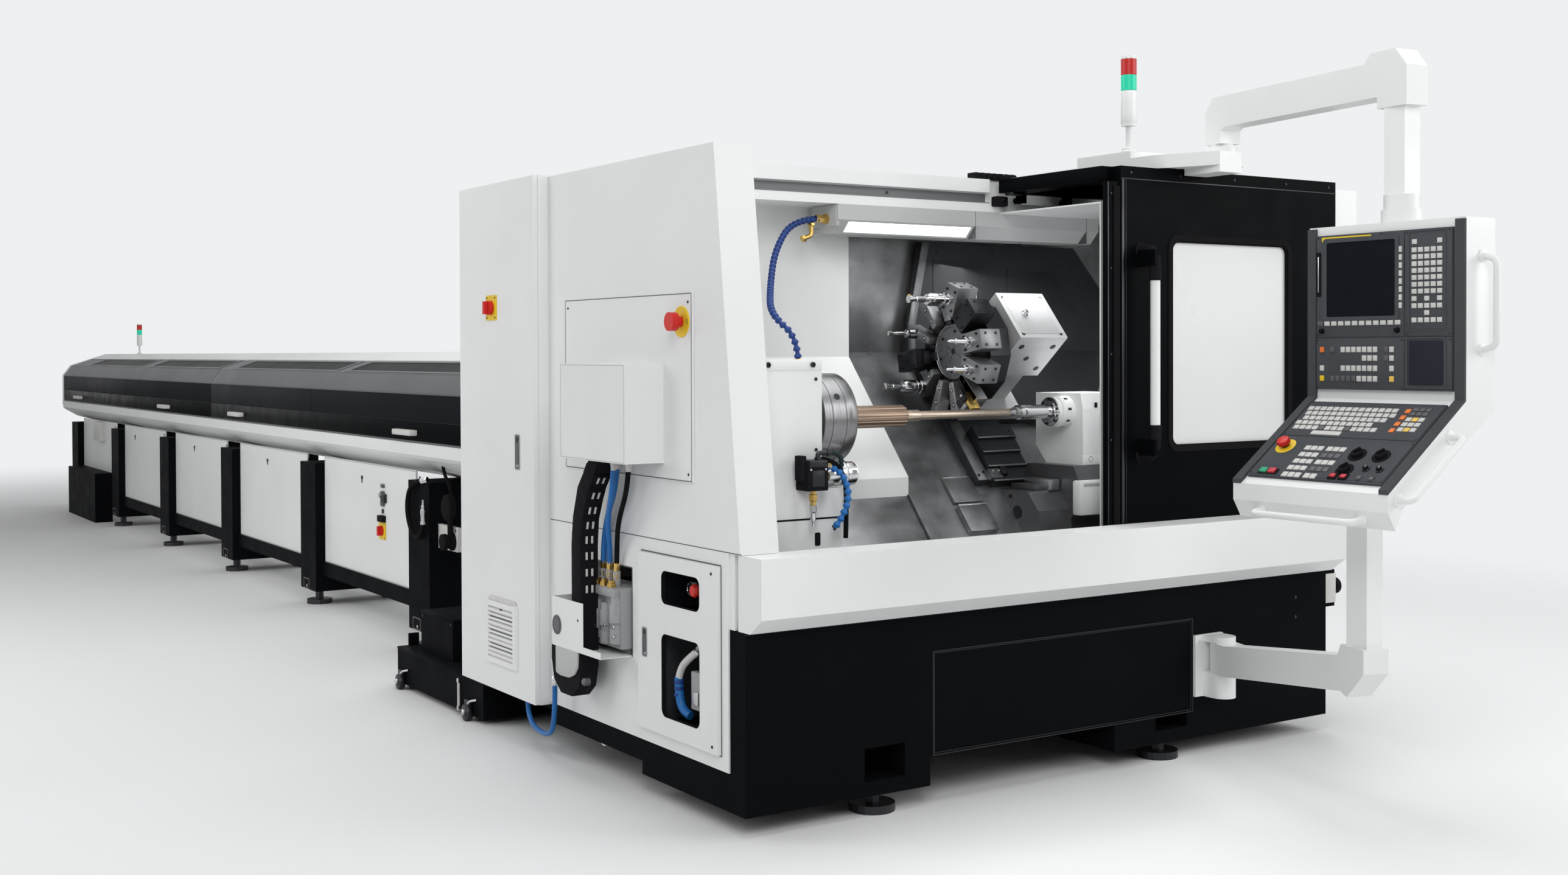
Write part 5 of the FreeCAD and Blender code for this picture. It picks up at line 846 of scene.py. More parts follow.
def turret_cap():
    """The cap on the turret's face with its screws, rim and centre mark."""
    kit = Kit("turret_cap_detail", "turret")
    face = station(0, 0.0, 1.3238)
    kit.turned(face, [(0.1072, -0.004), (0.1072, 0.0004), (0.105, 0.0024), (0.099, 0.0024),
                      (0.098, 0.0006), (0.0955, 0.0006), (0.0945, 0.0018), (0, 0.0018)],
               "cap_steel", 64)
    kit.ring(face @ shift(0, 0, -0.003), 0.109, 0.1068, 0.0062, "bright", 64)
    for k in range(6):
        kit.bolt(face @ turn(60 * k + 12) @ shift(0.079, 0, 0.0016), 0.0062, "gunmetal", 0.004)
    for k in range(2):
        kit.block((0, 0, 0.0019), (0.104, 0.0022, 0.0006), "gunmetal", 0, face @ turn(90 * k + 25))
    kit.turned(face, [(0.012, 0.0016), (0.011, 0.0034), (0.004, 0.0034), (0.003, 0.002), (0, 0.002)],
               "gunmetal", 24)
    for i in range(12):
        kit.bolt(station(i + 0.5, 0.185, 1.3415), 0.0062, "gunmetal", 0.005)
    kit.done()


def housing_detail():
    """Screws, plugs, a fitting and a cover plate on the turret's housing."""
    kit = Kit("housing_detail", "cross_slide")
    for x, u in ((1.485, 0.40), (1.485, 0.215), (1.675, 0.40), (1.675, 0.215), (1.60, 0.235)):
        kit.turned(on_bed(x, u, 0.2148), [(0.0085, 0), (0.0085, 0.0009), (0, 0.0009)], "gunmetal", 20)
    fitting = on_bed(1.545, 0.315, 0.215)
    kit.turned(fitting, [(0.014, 0), (0.014, 0.006), (0.009, 0.008), (0.009, 0.018), (0.006, 0.02),
                         (0, 0.02)], "chrome", 24)
    kit.plate(on_bed(1.58, 0.31, 0.2149), rounded(0.20, 0.19, 0.008), 0.0012, "housing_steel", 0.0004)
    for x, n in ((1.50, 0.16), (1.57, 0.09), (1.66, 0.16), (1.66, 0.03), (1.50, 0.03)):
        under = on_bed(x, 0.195, n) @ turn(90, "X")
        kit.turned(under, [(0.0125, -0.0004), (0.0125, 0.0008), (0.009, 0.0012), (0.008, 0.0004),
                           (0, 0.0004)], "gunmetal", 24)
    for x, u in ((1.455, 0.175), (1.70, 0.175)):
        kit.bolt(on_bed(x, u + 0.004, -0.2005), 0.009, "gunmetal")
    kit.done()


def saddle_detail():
    """Steel edge of the shield, its raised panels, guide strip, bracket and stepped cover edges, whose light
    steel strips are painted highlight.
    """
    kit = Kit("saddle_detail", "carriage")
    edge = [(1.3565, 1.542), (1.3935, 1.542), (1.3935, 1.66), (1.4665, 2.0), (1.4305, 2.0),
            (1.3745, 1.745), (1.3565, 1.66)]
    kit.plate(front_plane(0, SHIELD_FRONT_Y, 0), edge, 0.0026, "way", 0.0006)
    panels = ([(1.50, 1.60), (1.86, 1.60), (1.86, 1.78), (1.76, 1.93), (1.50, 1.93)],
              [(1.90, 1.56), (2.30, 1.56), (2.30, 1.70), (2.16, 1.90), (1.90, 1.90)])
    for outline in panels:
        kit.plate(front_plane(0, SHIELD_BACK_Y, 0), outline, 0.0022, "dark_sheet", 0.0008)
    for x, z in ((1.52, 1.965), (1.66, 1.965), (1.82, 1.965), (2.0, 1.965), (2.2, 1.965),
                 (2.36, 1.86), (2.46, 1.74), (2.46, 1.60), (1.41, 1.58)):
        kit.bolt(seat(x, SHIELD_BACK_Y, z, FRONT), 0.006, "gunmetal", 0.003)
    kit.plate(on_bed(0, 0, COVER_OFF_BED), [(1.384, -0.122), (1.442, -0.122), (1.442, 0.165),
                                            (1.384, 0.165)], 0.0045, "way", 0.0008)
    for u in (-0.10, -0.085):
        kit.bolt(on_bed(1.395 + (u + 0.1) * 2, u, -0.2632), 0.006, "gunmetal", 0.004)
    bracket = on_bed(1.455, -0.105, COVER_OFF_BED)
    kit.block((0.012, 0, 0.012), (0.06, 0.045, 0.024), "casting", 0.003, bracket)
    kit.block((0.05, 0.004, 0.02), (0.03, 0.035, 0.03), "gunmetal", 0.003, bracket)
    for along in (0.0, 0.028):
        kit.bolt(bracket @ shift(along, 0.008, 0.024), 0.006, "bright")
    for i in range(4):
        u = 0.112 - 0.062 * (i + 1)
        top = -0.2677 + 0.011 * (4 - i)
        lip = on_bed(1.5475, u, top)
        # a light way-steel strip on each step's edge of the dark cover: painted highlight along the edge
        kit.block((0, 0.004, 0.0012), (0.193, 0.0075, 0.0026), "way", 0.001, lip)
        for x in (-0.075, 0.075):
            kit.bolt(lip @ shift(x, 0.03, 0.0), 0.004, "gunmetal", 0.0022)
    kit.done()


def chute_sheets():
    """The bright sheet in front of the way cover, with a raised bright strip across it as painted highlight,
    and its seam.
    """
    kit = Kit("chute_sheets", "machine")
    for centre, size, look in (((0.79, -0.335, -0.303), (0.52, 0.55, 0.004), "way"),
                               # a raised bright steel strip across the sheet: painted highlight of its
                               # bright top
                               ((0.725, -0.415, -0.296), (0.39, 0.008, 0.010), "bright"),
                               ((1.046, -0.335, -0.2993), (0.006, 0.55, 0.003), "gunmetal")):
        kit.block(centre, size, look, 0.001, on_bed(0, 0, 0))
    kit.done()


def way_steps():
    """Two stepped sheets between the chuck and the carriage, each with a bright upper edge strip as painted
    highlight.
    """
    kit = Kit("way_steps", "carriage")
    x, wide = 1.3045, 0.137
    for low, high, rise in ((-0.205, -0.085, 0.012), (-0.345, -0.222, 0.022)):
        kit.block((x, (low + high) / 2, -0.297 + rise / 2), (wide, high - low, rise), "way", 0.002,
                  on_bed(0, 0, 0))
        # bright steel strip on the step's upper edge: painted highlight
        kit.block((x, high - 0.003, -0.296 + rise), (wide, 0.008, 0.006), "bright", 0.001,
                  on_bed(0, 0, 0))
    kit.done()


# ---------------------------------------------------------------- tailstock, chuck and work
# distance of the jaws from the axis; the bar's radius, the number and depth of its flutes
JAW_R = 0.0408
BAR_R, BAR_SIDES, FLUTES, FLUTE_DEEP = 0.0404, 128, 16, 0.0022


def tailstock_detail():
    """Flange, ring, recess with a plate of painted shade, knob and plugs of the tailstock and its casting.
    """
    kit = Kit("tailstock_detail", "tailstock")
    nose = on_axis(1.639, LEFT)
    kit.turned(nose, [(0.057, -0.0015), (0.057, 0.0008), (0.055, 0.0026), (0.041, 0.0026),
                      (0.0395, 0.006), (0.0325, 0.006), (0.0315, 0.0026), (0.0288, 0.0026)],
               "chrome", 48)
    for k in range(6):
        kit.bolt(nose @ turn(60 * k + 15) @ shift(0.048, 0, 0.0024), 0.0055, "gunmetal", 0.005)
    ring = on_axis(1.662, LEFT)
    for k in range(8):
        kit.block((0.0608, 0, -0.028), (0.0016, 0.010, 0.018), "gunmetal", 0.0004,
                  ring @ turn(45 * k + 10))
    kit.turned(ring, [(0.0609, -0.001), (0.0609, -0.006), (0.0625, -0.007), (0.0625, -0.013),
                      (0.0609, -0.014)], "white", 48)
    front = front_plane(1.85, 0.29, 1.25)
    kit.frame_ring(front @ shift(0.03, -0.012, 0), (0.150, 0.150, 0.016),
                   (0.132, 0.132, 0.010), 0.003, "white")
    # a light grey plate in the recess inside the white ring: painted shade in the recess
    kit.plate(front @ shift(0.03, -0.012, 0), rounded(0.132, 0.132, 0.01), 0.0008, "grey_light", 0)
    kit.turned(front @ shift(0.0, -0.062, 0), [(0.015, 0), (0.015, 0.004), (0.008, 0.006),
                                               (0.008, 0.02), (0.013, 0.023), (0.011, 0.034),
                                               (0, 0.036)], "black_plastic", 24)
    kit.block((-0.062, 0.092, 0.001), (0.014, 0.02, 0.0025), "black_plastic", 0.0008, front)
    for x in (-0.09, 0.08):
        kit.turned(front @ shift(x, -0.118, 0), [(0.013, 0), (0.013, 0.0012), (0.010, 0.0018),
                                                 (0.009, 0.0008), (0, 0.0008)], "gunmetal", 24)
    kit.span((1.7195, 0.2885, 1.1095), (1.9805, 0.30, 1.148), "white", 0.003)
    for x, z in ((1.735, 1.36), (1.965, 1.36), (1.735, 1.165), (1.965, 1.165)):
        kit.bolt(seat(x, 0.304, z, FRONT), 0.006, "gunmetal", 0.004)
    step = seat(1.4996, 0.42, 0.93, LEFT)
    kit.turned(step, [(0.026, -0.001), (0.026, 0.0008), (0.023, 0.0014), (0.022, 0.0004),
                      (0.0, 0.0004)], "gunmetal", 32)
    for y, z in ((0.46, 0.99), (0.37, 0.83), (0.44, 0.83)):
        kit.bolt(seat(1.4998, y, z, LEFT), 0.007, "gunmetal", 0.004)
    kit.span((1.545, 0.365, 1.0125), (1.60, 0.51, 1.036), "casting", 0.003)
    kit.span((1.60, 0.350, 1.0125), (1.655, 0.50, 1.055), "aluminium", 0.003)
    kit.span((1.645, 0.222, 0.922), (1.81, 0.27, 1.056), "white", 0.008)
    kit.span((1.66, 0.2195, 1.035), (1.80, 0.224, 1.046), "grey_light", 0.001)
    kit.done()


def quill_detail():
    """The collar on the quill and the body and tip of the live centre."""
    kit = Kit("quill_rings", "quill")
    collar = on_axis(1.50, LEFT)
    kit.turned(collar, [(0.0279, -0.012), (0.0288, -0.011), (0.0288, 0.004), (0.026, 0.012),
                        (0.026, 0.021), (0.0235, 0.0226), (0.0135, 0.0226)], "chrome", 40)
    kit.done()
    kit = Kit("centre_detail", "live_centre")
    tip = on_axis(1.4777, LEFT)
    kit.turned(tip, [(0.0135, -0.012), (0.0205, -0.01), (0.0222, 0.002), (0.0222, 0.016),
                     (0.0195, 0.0202), (0.0142, 0.0202), (0.0018, 0.0348), (0.0, 0.0355)], "steel", 40)
    kit.done()


def chuck_detail():
    """Rims, slots, screws and plugs of the chuck."""
    kit = Kit("chuck_detail", "spindle")
    back = on_axis(0.47, RIGHT)
    kit.turned(back, [(0.10, -0.022), (0.118, -0.020), (0.118, -0.0005), (0.158, 0.0),
                      (0.160, 0.002), (0.160, 0.030), (0.158, 0.031), (0.158, 0.035),
                      (0.160, 0.036), (0.160, 0.088), (0.158, 0.089), (0.158, 0.093),
                      (0.160, 0.094), (0.160, 0.136), (0.157, 0.1402), (0.046, 0.1402),
                      (0.045, 0.1385)], "chuck_steel", 96)
    for k in range(3):
        third = back @ turn(120 * k)
        kit.block((0, 0.098, 0.1407), (0.044, 0.082, 0.0012), "gunmetal", 0, third)
        for side in (-0.036, 0.036):
            kit.bolt(third @ shift(side, 0.075, 0.140), 0.0075, "gunmetal", 0.004)
            kit.bolt(third @ shift(side, -0.11, 0.140), 0.0065, "gunmetal", 0.004)
        kit.turned(back @ turn(120 * k + 60) @ shift(0, 0.160, 0.063) @ turn(-90, "X"),
                   [(0.012, -0.001), (0.012, 0.0008), (0.009, 0.001), (0.008, 0), (0, 0)],
                   "gunmetal", 24)
    kit.done()


def jaw_details():
    """Steps, edges and screws of the three jaws."""
    for k in range(3):
        kit = Kit("jaw_detail_%d" % (k + 1), "jaw_%d" % (k + 1))
        angle = math.radians(90 + 120 * k)
        c, s = math.cos(angle), math.sin(angle)
        jaw = axes(spot(0.6103, CENTRE_Y + JAW_R * c, CENTRE_Z + JAW_R * s), (0, c, s), (0, -s, c))
        kit.block((0.04, 0, 0.0125), (0.0795, 0.0425, 0.0232), "steel", 0.002, jaw)
        kit.block((0.022, 0, 0.0185), (0.0445, 0.0305, 0.0395), "gunmetal", 0.002, jaw)
        for step in range(3):
            kit.block((0.0008, 0, 0.009 + step * 0.011), (0.0016, 0.0302, 0.005), "steel", 0.0004, jaw)
        for r in (0.052, 0.068):
            kit.bolt(jaw @ shift(r, 0, 0.024), 0.0055, "gunmetal", 0.004)
        kit.done()


def work_detail():
    """The bronze bar: a fluted thick end and two turned steps."""
    kit = Kit("bronze_bar", "spindle")
    part = bmesh.new()
    rings = []
    for x, scale in ((0.552, 0.05), (0.552, 1.0), (0.916, 1.0), (0.922, 0.94)):
        ring = []
        for i in range(BAR_SIDES):
            angle = 2 * math.pi * i / BAR_SIDES
            flute = FLUTE_DEEP * max(0.0, math.cos(FLUTES * angle)) ** 0.6
            radius = (BAR_R - flute) * scale
            ring.append(part.verts.new((x, radius * math.cos(angle), radius * math.sin(angle))))
        rings.append(ring)
    for one, two in zip(rings, rings[1:]):
        for i in range(BAR_SIDES):
            j = (i + 1) % BAR_SIDES
            part.faces.new((one[i], one[j], two[j], two[i]))
    part.faces.new(rings[-1])
    bmesh.ops.recalc_face_normals(part, faces=part.faces[:])
    kit.take(part, Matrix.Translation(spot(0, CENTRE_Y, CENTRE_Z)), "bronze")
    line = on_axis(0.92, RIGHT)
    kit.turned(line, [(0.0212, 0.0), (0.0212, 0.072), (0.0205, 0.074), (0.0185, 0.0745),
                      (0.0185, 0.0765), (0.0162, 0.0772), (0.0162, 0.5065), (0.0150, 0.509),
                      (0.0040, 0.509)], "bronze_pale", 48)
    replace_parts(kit.done(), "work_bar")


turret_tools()
parting_tool()
turret_cap()
housing_detail()
saddle_detail()
chute_sheets()
way_steps()
tailstock_detail()
quill_detail()
chuck_detail()
jaw_details()
work_detail()

# ---------------------------------------------------------------- hoses
# routes and radii are in millimetres; an upper hose is its place on the wall, the Y of its nipple,
# its radius and its look
MM = 1000
UPPER_HOSES = ((-62, 752, 935, 10, "blue"), (-100, 705, 885, 10, "blue"), (-90, 612, 830, 9, "rubber"))
DRAIN_ROUTE = ((-70, 1255, 295), (-70, 1255, 145), (-62, 1335, 83), (-32, 1585, 90), (-32, 1585, 186))
LAMP_ROUTE = ((850, 765, 2060), (700, 765, 2060), (545, 665, 1930), (430, 520, 1770), (300, 310, 1680),
              (373, 250, 1600), (373, 250, 1500))
CABLE_ROUTE = ((405, 165, 1190), (455, 155, 1185), (505, 160, 1120), (515, 170, 1020), (515, 175, 915))
LOOP_ROUTE = ((400, 3800, 895), (380, 3960, 880), (380, 4040, 740), (380, 3960, 600), (380, 3830, 580),
              (380, 3790, 665))
WHITE_ROUTE = ((20, 335, 550), (20, 375, 530), (20, 455, 475), (20, 462, 430))
WINDOW_ROUTE = ((20, 462, 445), (20, 460, 375), (22, 430, 330), (30, 400, 322))
COUPLING_ROUTE = ((460, 3590, 800), (450, 3600, 880), (450, 3680, 930), (450, 3700, 1000))
SHORT_ROUTE = ((425, 140, 1212), (455, 138, 1212), (485, 150, 1185), (492, 170, 1150))
HEAD_ROUTE = ((410, 162, 1164), (485, 162, 1164), (500, 112, 1038), (440, 130, 960))
# fineness of the lines and their sections, and a link's length in radii of its hose
CURVE_STEPS, CURVE_ORDER, ROUND_STEPS, LINK_PITCH = 12, 3, 5, 1.9


def upper_route(x, y, end):
    """The route of a hose from the end wall down to its nipple, in millimetres."""
    return ((x, y, 1175), (x, y + 6, 1085), (0.6 * x - 10, 0.4 * y + 0.6 * end, 960), (-25, end, 850),
            (-25, end, 771))


def smooth_line(name, route):
    """A NURBS curve through the frame with a route's points as its control points."""
    curve = bpy.data.curves.new(name, "CURVE")
    curve.dimensions = "3D"
    curve.resolution_u = CURVE_STEPS
    line = curve.splines.new("NURBS")
    line.points.add(len(route) - 1)
    for point, (x, y, z) in zip(line.points, route):
        point.co = (*spot(x / MM, y / MM, z / MM), 1)
    line.order_u = CURVE_ORDER
    line.use_endpoint_u = True
    return curve


def hose(name, route, radius, look):
    """A smooth round hose along a route."""
    curve = smooth_line(name, route)
    curve.bevel_depth = radius / MM
    curve.bevel_resolution = ROUND_STEPS
    curve.use_fill_caps = True
    curve.materials.append(M[look])
    thing = bpy.data.objects.new(name, curve)
    bpy.context.scene.collection.objects.link(thing)
    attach(thing, "machine")


def walk(route, pitch):
    """Points at equal steps along the smooth line of a route, with the direction at each."""
    curve = smooth_line("walk", route)
    thing = bpy.data.objects.new("walk", curve)
    mesh = bpy.data.meshes.new_from_object(thing)
    line = [vert.co.copy() for vert in mesh.vertices]
    bpy.data.objects.remove(thing)
    bpy.data.meshes.remove(mesh)
    bpy.data.curves.remove(curve)
    steps, left = [], 0.0
    for one, two in zip(line, line[1:]):
        run = two - one
        while left < run.length:
            steps.append((one + run.normalized() * left, run.normalized()))
            left += pitch
        left -= run.length
    return steps


def linked_hose(name, route, radius, look):
    """A coolant hose of ball and socket links along a route."""
    kit = Kit(name, "machine")
    r = radius / MM
    pitch = r * LINK_PITCH
    for point, way in walk(route, pitch):
        frame = facing(point, way)
        kit.turned(frame, [(r * 0.52, -pitch * 0.62), (r * 0.60, -pitch * 0.46), (r * 0.98, -pitch * 0.2),
                           (r, 0.0), (r * 0.96, pitch * 0.12), (r * 0.60, pitch * 0.2),
                           (r * 0.54, pitch * 0.46)], look, 14)
    return kit.done(60)


def elbow_fitting(kit, points, r, look):
    """A bent metal fitting with hexagons at its two ends."""
    kit.pipe(points, r, look, 0.012)
    for here, there in ((points[0], points[1]), (points[-1], points[-2])):
        frame = facing(here, Vector(there) - Vector(here))
        kit.turned(frame, [(0, -0.002), (r * 1.5, -0.002), (r * 1.6, 0), (r * 1.6, 0.009),
                           (r * 1.5, 0.011), (r, 0.011)], look, 6)


def service_run():
    """The three service hoses, their glands, and the drain loop with its coupling."""
    for i, (x, y, end, r, look) in enumerate(UPPER_HOSES):
        hose("service_hose_%d" % (i + 1), upper_route(x, y, end), r, look)
    hose("drain_hose", DRAIN_ROUTE, 9.8, "blue")
    kit = Kit("hose_fittings", "machine")
    for x, y, end, _, _ in UPPER_HOSES:
        top = seat(x / MM, y / MM, 1.1755, DOWN)
        kit.turned(top, [(0.0135, 0), (0.0135, 0.016), (0.0115, 0.02), (0.0104, 0.034)], "key", 6)
        kit.turned(top, [(0.0165, -0.0002), (0.0165, 0.007), (0.015, 0.008)], "key", 24)
        foot = seat(-0.025, end / MM, 0.7705, UP)
        kit.turned(foot, [(0.0136, -0.028), (0.0148, -0.026), (0.0148, -0.008), (0.0136, -0.006),
                          (0.0125, 0.0), (0.0118, 0.026), (0.0105, 0.03)], "brass", 6)
    coupling = seat(-0.07, 1.255, 0.4551, DOWN)
    kit.turned(coupling, [(0.0105, 0), (0.0129, 0.002), (0.0129, 0.034), (0.0112, 0.037),
                          (0.0112, 0.046), (0.0129, 0.05), (0.0129, 0.098), (0.0109, 0.101),
                          (0.0109, 0.126), (0.0129, 0.129), (0.0129, 0.156), (0.0105, 0.16)],
               "chrome", 28)
    kit.turned(coupling, [(0.0131, 0.006), (0.0131, 0.03)], "bright", 6)
    kit.span((-0.0835, 1.2395, 0.4555), (-0.0065, 1.2705, 0.4625), "key", 0.003)
    kit.span((-0.0838, 1.2392, 0.4315), (-0.0062, 1.2708, 0.4628), "key", 0.007, steps=3)
    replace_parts(kit.done(), "service_hoses")


def coolant_run():
    """Blue linked hoses to the lamp and the chuck, with the fittings of the valve block."""
    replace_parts(linked_hose("lamp_coolant_hose", LAMP_ROUTE, 12.8, "dark_blue"), "coolant_hoses")
    linked_hose("head_coolant_hose", HEAD_ROUTE, 12.8, "blue")
    kit = Kit("coolant_fittings", "machine")
    gland = seat(0.373, 0.25, 1.4915, UP)
    kit.turned(gland, [(0.018, 0), (0.018, 0.012), (0.014, 0.013), (0.014, 0.036), (0.0125, 0.038)],
               "brass", 6)
    kit.turned(gland, [(0.0205, 0), (0.0205, 0.006), (0.018, 0.007)], "brass", 24)
    lamp = seat(0.848, 0.765, 2.06, LEFT)
    kit.turned(lamp, [(0.021, 0), (0.021, 0.014), (0.016, 0.016), (0.016, 0.05), (0.0135, 0.053)],
               "brass", 6)
    elbow_fitting(kit, [spot(0.775, 0.765, 2.04), spot(0.775, 0.765, 1.995), spot(0.735, 0.765, 1.98)],
                  0.009, "brass")
    block = seat(0.41, 0.162, 1.164, RIGHT)
    kit.turned(block, [(0.0165, 0.0), (0.0165, 0.012), (0.0138, 0.014), (0.0138, 0.03)], "brass", 6)
    kit.done()


service_run()
coolant_run()

# ---------------------------------------------------------------- headstock side
def headstock_detail():
    """Cover block, screws, black valve block, brass parts and the probe."""
    kit = Kit("headstock_detail", "machine")
    kit.span((0.165, 0.1965, 1.4885), (0.4355, 0.26, 1.527), "white", 0.005)
    for x in (0.215, 0.395):
        kit.bolt(seat(x, 0.1968, 1.509, FRONT), 0.0095, "gunmetal", 0.007)
    for x, z in ((0.17, 1.46), (0.41, 1.46), (0.17, 1.22), (0.41, 1.22)):
        kit.bolt(seat(x, 0.1998, z, FRONT), 0.006, "gunmetal", 0.003)
    kit.span((0.3275, 0.1275, 1.0855), (0.4125, 0.2025, 1.1865), "black_plastic", 0.004)
    kit.span((0.333, 0.124, 1.165), (0.407, 0.19, 1.1895), "gunmetal", 0.004)
    kit.span((0.345, 0.1245, 1.10), (0.395, 0.128, 1.155), "gunmetal", 0.002)
    for x in (0.34, 0.40):
        kit.bolt(seat(x, 0.1272, 1.158, FRONT), 0.004, "bright", 0.003)
    kit.span((0.305, 0.135, 1.12), (0.329, 0.175, 1.205), "black_plastic", 0.004)
    elbow_fitting(kit, [spot(0.38, 0.145, 1.187), spot(0.38, 0.145, 1.212), spot(0.425, 0.14, 1.212)],
                  0.0085, "gunmetal")
    elbow_fitting(kit, [spot(0.412, 0.185, 1.128), spot(0.448, 0.185, 1.128)], 0.0085, "brass")
    drop = seat(0.365, 0.152, 1.086, DOWN)
    kit.turned(drop, [(0.011, 0), (0.011, 0.012), (0.0155, 0.014), (0.0155, 0.034), (0.011, 0.037),
                      (0.011, 0.05)], "brass", 6)
    kit.turned(drop, [(0.0125, 0.05), (0.0125, 0.072), (0.0095, 0.075), (0.0095, 0.098),
                      (0.006, 0.106), (0.0045, 0.122), (0, 0.122)], "chrome", 20)
    probe = seat(0.43, 0.246, 1.13, RIGHT)
    kit.turned(probe, [(0.0415, 0.02), (0.0415, 0.085), (0.040, 0.087), (0.040, 0.093),
                       (0.0425, 0.095), (0.0425, 0.112), (0.040, 0.114), (0.040, 0.12),
                       (0.0425, 0.122), (0.0425, 0.155), (0.0395, 0.1645), (0.030, 0.1655),
                       (0.029, 0.163), (0.016, 0.163), (0.015, 0.1655), (0, 0.1655)], "chrome", 48)
    for k in range(4):
        kit.bolt(probe @ turn(90 * k + 20) @ shift(0.0225, 0, 0.163), 0.0042, "gunmetal", 0.003)
    column = front_plane(0.36, 0.1995, 0.985)
    kit.plate(column, rounded(0.30, 0.006, 0.002), 0.001, "black_plastic", 0)
    kit.plate(column @ shift(0.055, -0.07, 0), rounded(0.022, 0.045, 0.005), 0.0022, "black_plastic", 0.0006)
    for x, z in ((-0.12, -0.03), (0.12, -0.03), (0.125, -0.04)):
        kit.bolt(column @ shift(x, z, 0), 0.005, "gunmetal", 0.0025)
    kit.done()
    hose("black_cable", CABLE_ROUTE, 8.5, "rubber")
    linked_hose("short_link_hose", SHORT_ROUTE, 9.5, "link_grey")


def lamp_detail():
    """End box and seams of the work-light housing."""
    kit = Kit("lamp_detail", "machine")
    kit.span((0.845, 0.70, 2.03), (0.862, 0.872, 2.113), "grey_light", 0.004)
    for x in (1.52, 2.12):
        kit.span((x, 0.6945, 2.004), (x + 0.002, 0.8755, 2.113), "key_dark", 0)
    kit.done()


def header_detail():
    """The header's groove with a grey strip and a dark line above and below it, painted shade of the groove,
    its screws, and the chain on the roof.
    """
    kit = Kit("header_detail", "machine")
    low_x, high_x = 0.102, 1.594
    # a grey strip at the bottom of the groove: painted shade in the groove
    kit.span((low_x, 0.7225, 2.1535), (high_x, 0.7252, 2.1875), "groove_shade_grey", 0.0005)
    # dark lines on the header's face along the groove's upper and lower edges: painted shade at its edges
    for low, high in ((2.149, 2.1515), (2.1892, 2.191)):
        kit.span((low_x, 0.6940, low), (high_x, 0.6951, high), "key_dark", 0)
    for x in (0.135, 1.10):
        kit.bolt(seat(x, 0.7224, 2.17, FRONT), 0.006, "gunmetal", 0.003)
    for k in range(7):
        kit.block(spot(1.545 + 0.031 * k, 0.735, 2.259), (0.026, 0.052, 0.028), "black_plastic", 0.004)
    kit.done()


headstock_detail()
lamp_detail()
header_detail()


# ---------------------------------------------------------------- door
# the grip's axis and the heights of its two brackets
GRIP_X, GRIP_Y, GRIP_LOW, GRIP_HIGH = 1.79, -0.0255, 1.245, 1.845


def door_detail():
    """Window rim, seal strips, screws, and the bracket and rollers on top of the door."""
    kit = Kit("door_detail", "door")
    face = front_plane(2.285, 0.0495, 1.58)
    kit.frame_ring(face, (0.70, 0.83, 0.05, 8), (0.655, 0.785, 0.032, 8), 0.003, "rubber")
    kit.frame_ring(face @ shift(0, 0, -0.014), (0.672, 0.802, 0.002, 8),
                   (0.645, 0.775, 0.03, 8), 0.013, "rubber")
    for low, high, look, edge in (((1.692, 0.0485, 0.823), (1.704, 0.0505, 2.20), "gunmetal", 0.0006),
                                  ((1.7125, 0.0488, 0.823), (1.7145, 0.0503, 2.20), "gunmetal", 0.0002),
                                  ((1.6275, 0.0555, 0.816), (1.632, 0.0585, 2.183), "gunmetal", 0.0008),
                                  ((1.655, 0.052, 0.83), (1.687, 0.0585, 2.17), "rubber", 0.003),
                                  ((1.688, 0.0478, 2.196), (2.905, 0.0505, 2.2), "gunmetal", 0.0005)):
        kit.span(low, high, look, edge)
    for z in (0.90, 1.22, 1.54, 1.86, 2.14):
        kit.bolt(seat(1.645, 0.0578, z, FRONT), 0.0045, "gunmetal", 0.002)
    for x in (1.74, 2.0, 2.3, 2.6, 2.86):
        kit.bolt(seat(x, 0.0502, 2.222, FRONT), 0.005, "gunmetal", 0.003)
    kit.span((1.632, 0.095, 2.1895), (1.690, 0.684, 2.2455), "black_door", 0.003)
    kit.span((1.60, 0.655, 2.135), (1.66, 0.694, 2.176), "black_plastic", 0.006)
    kit.bolt(seat(1.63, 0.6552, 2.156, FRONT), 0.008, "gunmetal")
    for x in (1.652, 1.68):
        kit.button(seat(x, 0.655, 2.2455, UP), 0.017, 0.016, "black_plastic", 0.003)
    kit.span((1.635, 0.60, 2.178), (1.69, 0.65, 2.19), "gunmetal", 0.004)
    kit.done()


def grip_detail():
    """The door's grip: a white tube between two black brackets."""
    kit = Kit("grip_brackets", "door")
    for end, way in ((GRIP_HIGH, 1), (GRIP_LOW, -1)):
        z, inner = end + way * 0.012, end + way * 0.012 - way * 0.03
        kit.pipe([spot(GRIP_X, 0.052, z + way * 0.075), spot(GRIP_X, GRIP_Y, z + way * 0.07),
                  spot(GRIP_X, GRIP_Y, inner)], 0.0215, "black_plastic", 0.065, 24)
        kit.button(seat(GRIP_X, GRIP_Y, inner, (0, 0, -way)), 0.0225, 0.012, "black_plastic", 0.003, 24)
        kit.turned(seat(GRIP_X, 0.051, z + way * 0.075, FRONT),
                   [(0.027, 0), (0.027, 0.004), (0.022, 0.009)], "black_plastic", 26)
    kit.done()
    kit = Kit("grip_tube", "door")
    half = 0.285
    kit.turned(seat(GRIP_X, -0.025, (GRIP_LOW + GRIP_HIGH) / 2, UP), [(0.0185, -half), (0.0185, half)],
               "white", 30)
    kit.done()


door_detail()
grip_detail()

